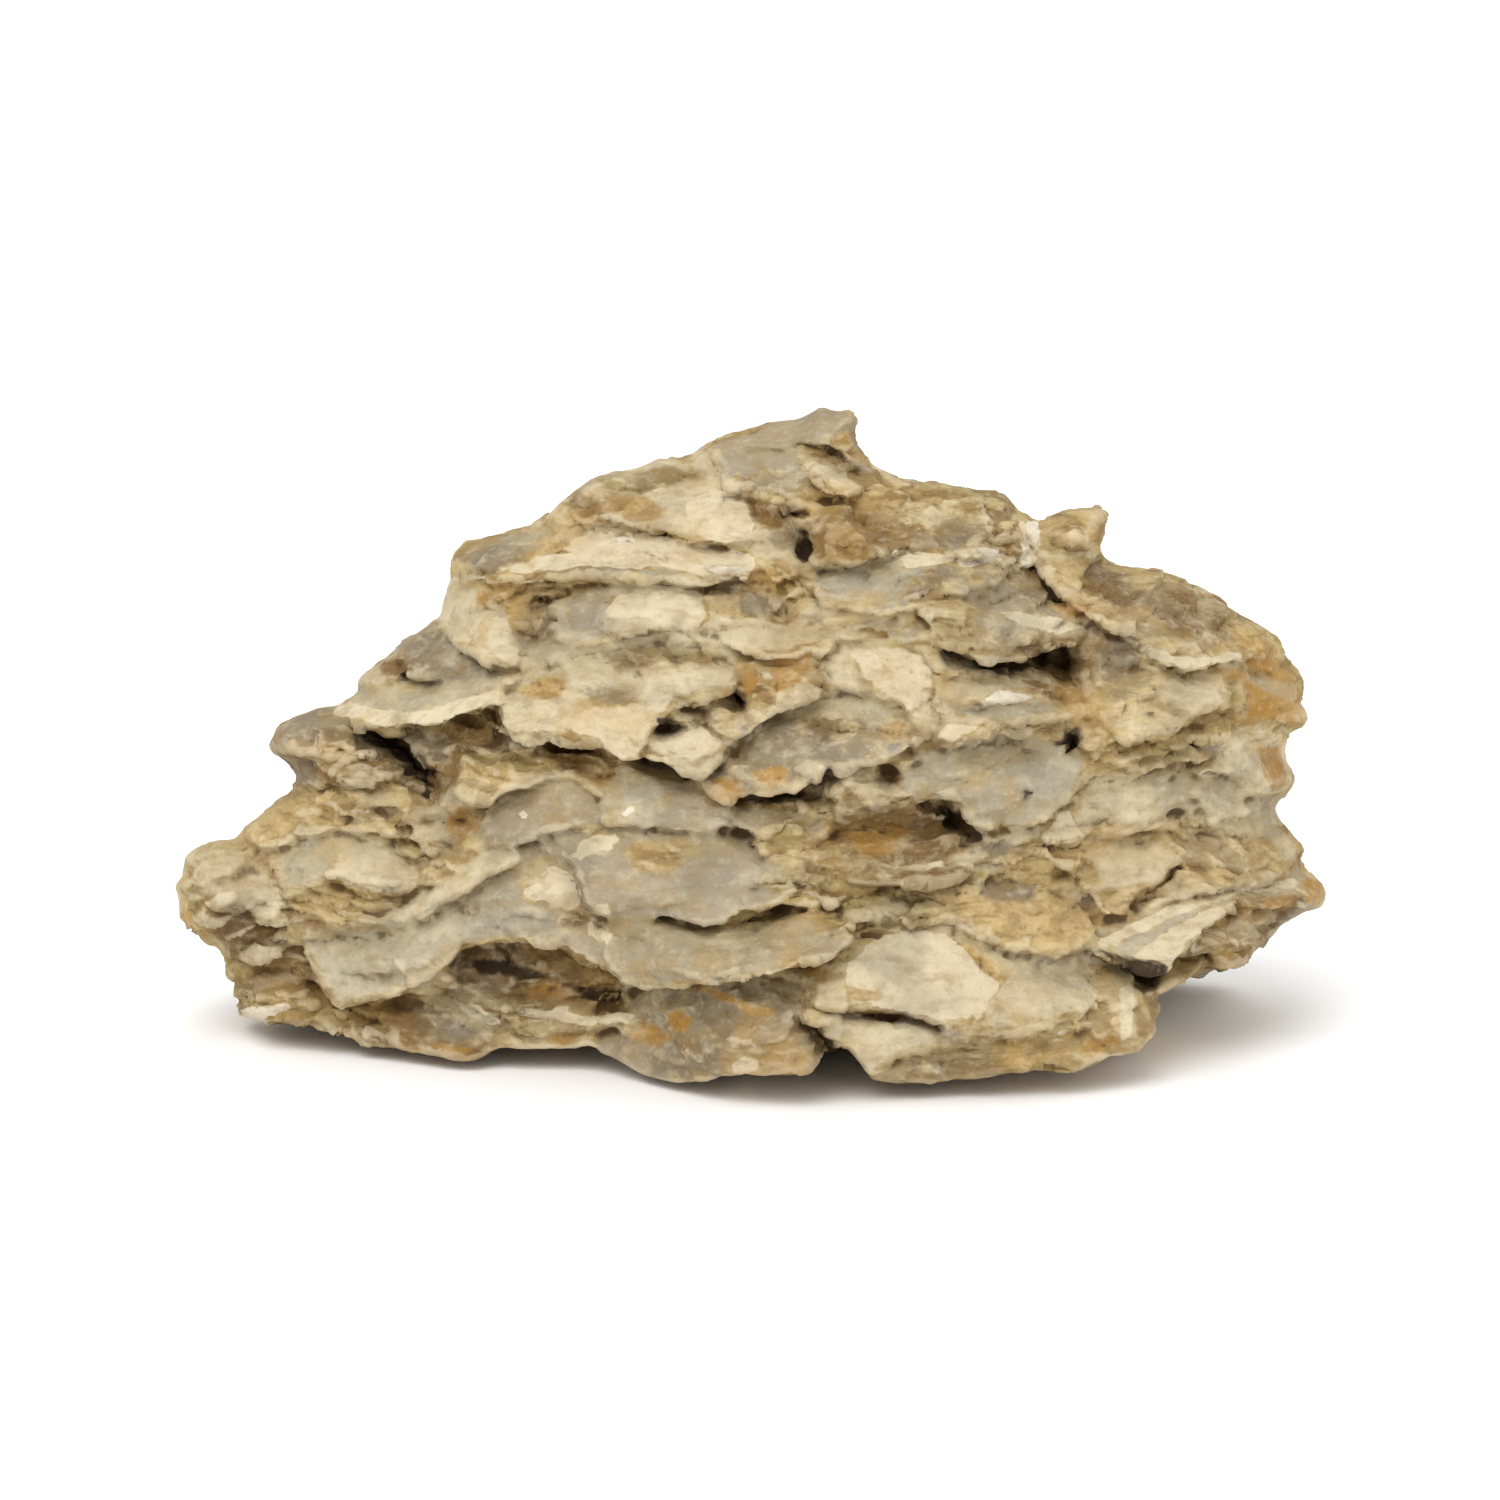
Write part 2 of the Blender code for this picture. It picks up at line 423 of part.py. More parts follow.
def remesh(thing, spacing):
    """Wraps the object in an even skin of small faces."""
    modifier = thing.modifiers.new("even_skin", "REMESH")
    modifier.mode = "VOXEL"
    modifier.voxel_size = spacing
    apply_modifiers(thing)


def keep_largest_body(thing):
    """Drops the crumbs that a remesh leaves loose beside the stone."""
    shape = bmesh.new()
    shape.from_mesh(thing.data)
    unseen = set(shape.verts)
    bodies = []
    while unseen:
        waiting = [unseen.pop()]
        body = []
        while waiting:
            vertex = waiting.pop()
            body.append(vertex)
            for edge in vertex.link_edges:
                other = edge.other_vert(vertex)
                if other in unseen:
                    unseen.remove(other)
                    waiting.append(other)
        bodies.append(body)
    bodies.sort(key=len)
    for crumbs in bodies[:-1]:
        bmesh.ops.delete(shape, geom=crumbs, context="VERTS")
    shape.to_mesh(thing.data)
    shape.free()


def read_points(thing):
    points = np.empty(len(thing.data.vertices) * 3)
    thing.data.vertices.foreach_get("co", points)
    return points.reshape(-1, 3)


def write_points(thing, points):
    thing.data.vertices.foreach_set("co", points.ravel())
    thing.data.update()


def ridge_depth(right, up):
    """Depth of the rim behind the picture plane: it leans back as it rises, and wanders."""
    setback = RIDGE_SETBACK * np.clip(up / RIDGE_HEIGHT, 0.0, 1.0)
    height = (up - setback * np.sin(VIEW_TILT)) / np.cos(VIEW_TILT)
    flat = np.column_stack((right, up, np.zeros(len(right))))
    swing = RIDGE_SWING * lattice_noise(flat, 38.0, SEED + 5)
    return setback * np.cos(VIEW_TILT) - height * np.sin(VIEW_TILT) + swing


def to_world(right, up, depth):
    """A place of the front view at a depth, carried out along its line of sight."""
    middle_up = (LOWEST_PIXEL - MIDDLE_PIXEL) * PIXEL - FOOT_DROP
    spread = 1.0 + depth / VIEW_DISTANCE
    right = right * spread
    up = middle_up + (up - middle_up) * spread
    back = up * np.sin(VIEW_TILT) + depth * np.cos(VIEW_TILT)
    height = up * np.cos(VIEW_TILT) - depth * np.sin(VIEW_TILT)
    return np.column_stack((right, back, height))


def blow_up(points):
    """Gives the slab its real depth, its relief and its foot."""
    right, across, up = points[:, 0], points[:, 1] / SLAB_HALF_THICKNESS, points[:, 2]
    rim_gap = distance_to_line(right, up, front_view(RIM))
    fullness = np.minimum(rim_gap / FULL_DEPTH_REACH, 1.2) ** DEPTH_POWER
    fade = smooth(0.0, RIM_FADE, rim_gap)
    relief = front_relief(right, up) * fade
    back_relief = tile_relief(right, up, SEED + 9, BACK_TILE_RAISE) * fade
    flat = np.column_stack((right, up, np.zeros(len(right))))
    swell = 1.0 + DEPTH_SWING * lattice_noise(flat, 30.0, SEED + 6)
    back_swell = 1.0 + DEPTH_SWING * lattice_noise(flat, 26.0, SEED + 7)
    front = RIM_HALF_THICKNESS + FRONT_DEPTH * fullness * swell + relief
    back = RIM_HALF_THICKNESS + BACK_DEPTH * fullness * back_swell + back_relief
    behind_rim = np.where(across < 0.0, across * front, across * back)
    depth = ridge_depth(right, up) + behind_rim
    behind_front = behind_rim + front
    right, up = cut_side_ledges(right, up, depth, rim_gap, behind_rim, behind_front)
    toward_front = smooth(0.0, 1.0, -across)
    up = up - DOWNWARD_SHEAR * relief * toward_front
    world = to_world(right, up, depth)
    return raise_foot(world)


def raise_foot(points):
    """Rounds the underside up from the resting spot to the stone's lower edge."""
    reach = np.hypot(points[:, 0] / RESTING_SPOT[0], points[:, 1] / RESTING_SPOT[1])
    flat = points * (1.0, 1.0, 0.0)
    bumps = 1.0 + 0.5 * lattice_noise(flat, 16.0, SEED + 8)
    lift = FOOT_LIFT * smooth(0.8, 2.4, reach) * bumps
    points[:, 2] = np.maximum(points[:, 2], lift)
    return points


def side_ledges(points):
    """Depth of the ledges cut into the ends and the upper back, at places in space."""
    rng = np.random.default_rng(SEED + 20)
    spots = rng.uniform((-125, -70, -20), (125, 80, 125), (SIDE_TILE_COUNT, 3))
    depths = rng.uniform(0.0, 0.9, SIDE_TILE_COUNT) * SIDE_LEDGE_DEPTH
    tilts = rng.uniform(-0.25, 0.25, (SIDE_TILE_COUNT, 2))
    warped = points.copy()
    for axis in range(3):
        warped[:, axis] += 3.0 * lattice_noise(points, 14.0, SEED + 21 + axis)
    nearest = np.full(len(points), 1e9)
    cut = np.zeros(len(points))
    for spot, deep, tilt in zip(spots, depths, tilts):
        offset = (warped - spot) / SIDE_TILE_SIZE
        offset[:, 2] += tilt[0] * offset[:, 0] + tilt[1] * offset[:, 1]
        gap = (offset ** 2).sum(axis=1)
        closer = gap < nearest
        nearest = np.where(closer, gap, nearest)
        cut = np.where(closer, deep + SIDE_LEDGE_SLOPE * np.clip(0.5 + offset[:, 2], 0.0, 1.0), cut)
    return cut


def cut_side_ledges(right, up, depth, rim_gap, behind_rim, behind_front):
    """Moves places behind the rim and above the foot inward, and leaves the front as it is."""
    step = 0.5
    rim = front_view(RIM)
    lean_right = (distance_to_line(right + step, up, rim) - rim_gap) / step
    lean_up = (distance_to_line(right, up + step, rim) - rim_gap) / step
    ledges = side_ledges(np.column_stack((right, depth, up)))
    near_rim = 1.0 - smooth(12.0, 45.0, rim_gap)
    cut = ledges * near_rim * smooth(3.0, 14.0, behind_rim)
    foot_gap = distance_to_line(right, up, front_view(RIM[-1:] + FOOT + RIM[:1]))
    hollow = 0.6 * ledges * (1.0 - smooth(1.0, 6.0, foot_gap)) * smooth(2.0, 12.0, behind_front)
    return right + lean_right * cut, up + lean_up * cut + hollow


def cut_flat(thing):
    """Cuts the resting spot flat, a little above the lowest points."""
    bpy.ops.mesh.primitive_cube_add(size=1.0)
    floor_block = bpy.context.object
    floor_block.name = "floor_block"
    floor_block.scale = (400.0, 400.0, 40.0)
    floor_block.location = (0.0, 0.0, CUT_HEIGHT - 20.0)
    floor_block.hide_render = True
    floor_block.display_type = "WIRE"
    cut = thing.modifiers.new("resting_spot", "BOOLEAN")
    cut.object = floor_block
    cut.operation = "DIFFERENCE"
    cut.solver = "EXACT"
    bpy.context.view_layer.update()
    apply_modifiers(thing)
    bpy.data.objects.remove(floor_block)


def limit_triangles(thing):
    """Collapses the skin to the face budget, flat stretches first."""
    thing.data.calc_loop_triangles()
    modifier = thing.modifiers.new("fewer_faces", "DECIMATE")
    modifier.ratio = MAX_TRIANGLES / len(thing.data.loop_triangles)
    modifier.use_collapse_triangulate = True
    apply_modifiers(thing)


def centre_on_foot(thing):
    """Puts the origin under the middle of the stone, in metres."""
    points = read_points(thing)
    low, high = points.min(axis=0), points.max(axis=0)
    middle = (low + high) / 2.0
    middle[2] = low[2]
    write_points(thing, (points - middle) / 1000.0)


def stone_material():
    material = bpy.data.materials.new("dragon_stone")
    material.use_nodes = True
    shader = material.node_tree.nodes["Principled BSDF"]
    shader.inputs["Base Color"].default_value = STONE_COLOR
    shader.inputs["Roughness"].default_value = STONE_ROUGHNESS
    shader.inputs["Metallic"].default_value = 0.0
    return material


def main():
    for thing in list(bpy.data.objects):
        bpy.data.objects.remove(thing)
    stone = make_slab()
    remesh(stone, SLAB_SPACING)
    write_points(stone, blow_up(read_points(stone)))
    remesh(stone, BODY_SPACING)
    keep_largest_body(stone)
    limit_triangles(stone)
    cut_flat(stone)
    centre_on_foot(stone)
    stone.data.materials.append(stone_material())
    stone.data.shade_smooth()
    stone.data.set_sharp_from_angle(angle=np.radians(40.0))


main()
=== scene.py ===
"""Dragon stone: the visual model, a fine skin with flakes and clay colours, in soft studio light."""
import itertools

import bmesh
import bpy
import numpy as np
from mathutils import Matrix, Vector


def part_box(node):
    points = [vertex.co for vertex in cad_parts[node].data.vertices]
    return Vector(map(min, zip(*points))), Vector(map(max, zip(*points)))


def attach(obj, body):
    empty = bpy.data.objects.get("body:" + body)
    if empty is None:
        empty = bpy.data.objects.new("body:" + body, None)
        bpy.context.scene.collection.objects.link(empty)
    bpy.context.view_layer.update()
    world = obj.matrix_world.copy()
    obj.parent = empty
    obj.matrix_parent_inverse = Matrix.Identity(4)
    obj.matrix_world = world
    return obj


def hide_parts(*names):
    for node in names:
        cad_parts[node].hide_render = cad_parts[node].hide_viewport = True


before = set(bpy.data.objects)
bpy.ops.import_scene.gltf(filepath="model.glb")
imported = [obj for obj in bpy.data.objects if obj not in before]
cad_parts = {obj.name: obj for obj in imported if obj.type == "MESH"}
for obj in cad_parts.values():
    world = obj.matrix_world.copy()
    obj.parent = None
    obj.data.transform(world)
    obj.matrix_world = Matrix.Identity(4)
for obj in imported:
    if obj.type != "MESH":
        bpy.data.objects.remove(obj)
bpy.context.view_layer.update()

# Real sizes, in millimetres
STONE_WIDTH = 230.0
FRONT_DEPTH = 57.0
BACK_DEPTH = 66.0
FULL_DEPTH_REACH = 110.0
RIDGE_SETBACK = 15.0
RIDGE_HEIGHT = 120.0
RIM_HALF_THICKNESS = 1.6
RIM_FADE = 3.5
RESTING_SPOT = (58.0, 34.0)
FOOT_LIFT = 7.0
MM_PER_METRE = 1000.0

# How the body fills out: the power of the distance from the rim, and the most that it counts
DEPTH_POWER = 0.46
FULLNESS_LIMIT = 1.2

# Broad unevenness: how far the ridge, the depth and the foot swing, and the size of each one's waves
RIDGE_SWING = 9.0
RIDGE_SWING_SIZE = 38.0
DEPTH_SWING = 0.13
FRONT_SWING_SIZE = 30.0
BACK_SWING_SIZE = 26.0
FOOT_SWING = 0.5
FOOT_SWING_SIZE = 16.0

# Where the foot starts to rise and where it has risen, in reaches of the resting spot
FOOT_RISE = (0.8, 2.4)

# The front view: a look 12 degrees down from a distance, its outlines given in photo pixels
VIEW_TILT = np.radians(12.0)
VIEW_DISTANCE = 1500.0
LEFT_PIXEL = 175
RIGHT_PIXEL = 1325
MIDDLE_PIXEL = 750
LOWEST_PIXEL = 1087
PHOTO_PIXELS = 1500
FOOT_DROP = 12.0
PIXEL = STONE_WIDTH / (RIGHT_PIXEL - LEFT_PIXEL)
MIDDLE_UP = (LOWEST_PIXEL - MIDDLE_PIXEL) * PIXEL - FOOT_DROP

# Mesh spacing in millimetres, and the face budget
SLAB_HALF_THICKNESS = 12.0
SLAB_SPACING = 0.7
BODY_SPACING = 0.62
MAX_TRIANGLES = 194000
BACK_COARSENESS = 0.02

# Start of every random draw
SEED = 11

# Cells along each side of the lattices of random values, their steps, and a distance past all others
NOISE_CELLS = 32
FACET_CELLS = 16
CORNERS = tuple(itertools.product((0, 1), repeat=3))
NEIGHBOURS = tuple(itertools.product((-1, 0, 1), repeat=3))
FAR_AWAY = 1e9

# Waves that make outlines ragged: size, reach to the right and upward in millimetres, and the seed
# of each
RAGGED_WAVES = (
    (9.0, 1.2, 1.0, 0, 2),
    (3.0, 0.35, 0.35, 1, 3),
    (1.2, 0.12, 0.12, 30, 31),
)

# Flakes: how softly they end in millimetres, how much of their raise they keep, how their raise
# grows downward, how far in their crown is full, and how far the relief sags
EDGE_SOFTNESS = 0.3
FLAKE_SHARE = 0.87
DROP_POWER = 1.3
CROWN_REACH = 8.0
DOWNWARD_SHEAR = 0.22

# How far past an outline places are still looked at, in millimetres
NEAR_MARGIN = 2.0

# Ledges: the share of their length over which they taper, and how much the low side sinks
LEDGE_TAPER = 0.2
LEDGE_SINK = 0.5

# Swells, pits and spots: where each starts and where it is full, in reaches of its ellipse
SWELL_SPAN = (1.3, 0.0)
PIT_SPAN = (1.25, 0.35)
SPOT_SPAN = (1.5, 0.3)

# Lips of the hollows and the slits in millimetres, and the slits' flat share
HOLLOW_LIP = 0.8
SLIT_LIP = 0.9
SLIT_FLOOR = 0.6

# Loose tiles that cover what the named flakes leave free: their field, size, number, share of the
# raise, and how a tile falls off from its middle
TILE_FIELD = ((-125, 125), (-30, 130))
TILE_SIZE = (30.0, 12.0)
TILE_COUNT = 190
TILE_RISE = (0.25, 1.0)
TILE_MIDDLE = 0.5
TILE_FALL = 0.6
FRONT_TILE_RAISE = 2.5
BACK_TILE_RAISE = 7.0

# Blocks of the ends and the back: their field, size, number, depth, tilt and warp
SIDE_TILE_FIELD = ((-125, -70, -20), (125, 80, 125))
SIDE_TILE_SIZE = (26.0, 26.0, 11.0)
SIDE_TILE_COUNT = 420
SIDE_DEPTH_SHARE = 0.9
SIDE_TILT = 0.25
SIDE_WARP = 3.0
SIDE_WARP_SIZE = 14.0
SIDE_LEDGE_DEPTH = 8.0
SIDE_LEDGE_SLOPE = 3.0
BACK_LEDGE_HEIGHT = 2.2
BACK_LEDGE_LIP = 1.8
LEAN_STEP = 0.5

# Where the blocks show, each from one distance in millimetres to another
RIM_REACH = (12.0, 45.0)
BEHIND_RIM = (3.0, 14.0)
FOOT_REACH = (1.0, 6.0)
BEHIND_FRONT = (2.0, 12.0)
FOOT_HOLLOW_SHARE = 0.6
BEHIND_RIDGE = (4.0, 14.0)
INLAND_REACH = (6.0, 24.0)

# Short steps scattered over the rough places: number, field, length, height, slant in degrees, bow,
# reach as a multiple of the height, and the shares of the length at which their points lie
CHIP_COUNT = 520
CHIP_FIELD = ((-118.0, -2.0), (118.0, 124.0))
CHIP_LENGTH = (4.0, 15.0)
CHIP_HEIGHT = 1.4
CHIP_HEIGHT_SHARE = (0.4, 1.0)
CHIP_SLANT = 4.0
CHIP_SLANT_SPREAD = 22.0
CHIP_BOW = 0.25
CHIP_REACH = 4.0
CHIP_STATIONS = (-0.5, -0.2, 0.15, 0.5)
CHIP_CRUMB = (0.1, 0.6)

# Thin layers within the rough places: their length, their thickness and how far they slant
LAMINA_LENGTH = 16.0
LAMINA_THICKNESS = 1.9
LAMINA_SLANT = 0.55
LAMINA_REST_SLANT = 0.12

# Facets of the skin: size along each axis in millimetres, jitter, tilt, downward lean and cracks
LARGE_FACET = (16.0, 16.0, 8.0)
MIDDLE_FACET = (9.5, 9.5, 3.4)
SMALL_FACET = (4.2, 4.2, 1.9)
FACET_JITTER = (0.05, 0.95)
FACET_TILT = 1.2
FACET_LEAN = 0.8
FACET_LEVEL_SHARE = 0.5
CRACK_WIDTH = 0.12

# Waves of the skin, their sizes in millimetres
WOBBLE = 0.5
WOBBLE_SIZE = 4.0
LAYER_SWAY = 8.0
LAYER_SWAY_SIZE = 42.0
GRIT_SIZE = 1.4
WAVE_SIZE = 9.0
PATCHY_SIZE = 11.0
WRINKLE_SIZE = 5.5
SMALL_WRINKLE_SIZE = 2.8
MOVE_LIMITS = (-3.0, 2.4)

# Rounds of averaging that tell fine and broad creases and edges apart
FINE_ROUNDS = 6
BROAD_ROUNDS = 70

# Rim of the front view, from the lower left corner over the peak to the right tip
RIM = (
    (245, 1022), (238, 1013), (240, 1000), (235, 985), (228, 975), (225, 960), (220, 948),
    (205, 940), (182, 915), (178, 895), (175, 888), (187, 868), (186, 858), (200, 847), (218, 840),
    (240, 840), (244, 827), (262, 815), (300, 785), (296, 770), (277, 755), (271, 747), (277, 730),
    (290, 723), (320, 708), (340, 706), (360, 692), (358, 680), (375, 667), (400, 645), (430, 625),
    (440, 618), (446, 592), (452, 580), (451, 560), (467, 543), (500, 535), (530, 528), (562, 502),
    (590, 480), (613, 472), (635, 472), (660, 459), (680, 460), (700, 449), (740, 433), (770, 423),
    (800, 418), (820, 408), (838, 412), (850, 412), (858, 418), (853, 432), (863, 450), (870, 463),
    (895, 478), (925, 484), (950, 486), (975, 493), (1003, 495), (1018, 512), (1040, 521),
    (1063, 512), (1080, 508), (1097, 509), (1105, 514), (1106, 524), (1100, 545), (1105, 561),
    (1140, 570), (1180, 580), (1200, 587), (1220, 600), (1232, 613), (1250, 622), (1267, 633),
    (1278, 643), (1284, 655), (1287, 663), (1297, 671), (1302, 682), (1301, 694), (1298, 702),
    (1304, 710), (1308, 718), (1304, 726), (1293, 730), (1286, 735), (1285, 746), (1283, 757),
    (1289, 768), (1296, 778), (1292, 787), (1287, 796), (1279, 800), (1275, 809), (1278, 817),
    (1287, 830), (1297, 846), (1301, 858), (1304, 868), (1313, 876), (1322, 886), (1325, 897),
    (1322, 907),
)

# Foot of the front view, from the right tip back to the lower left corner
FOOT = (
    (1298, 914), (1275, 930), (1238, 966), (1205, 970), (1175, 985), (1148, 997), (1150, 1010),
    (1158, 1028), (1140, 1050), (1107, 1053), (1088, 1070), (1055, 1083), (960, 1084), (866, 1080),
    (850, 1062), (825, 1058), (793, 1077), (745, 1087), (715, 1088), (655, 1078), (620, 1057),
    (592, 1045), (500, 1045), (455, 1065), (423, 1060), (405, 1052), (345, 1048), (300, 1025),
    (260, 1028),
)

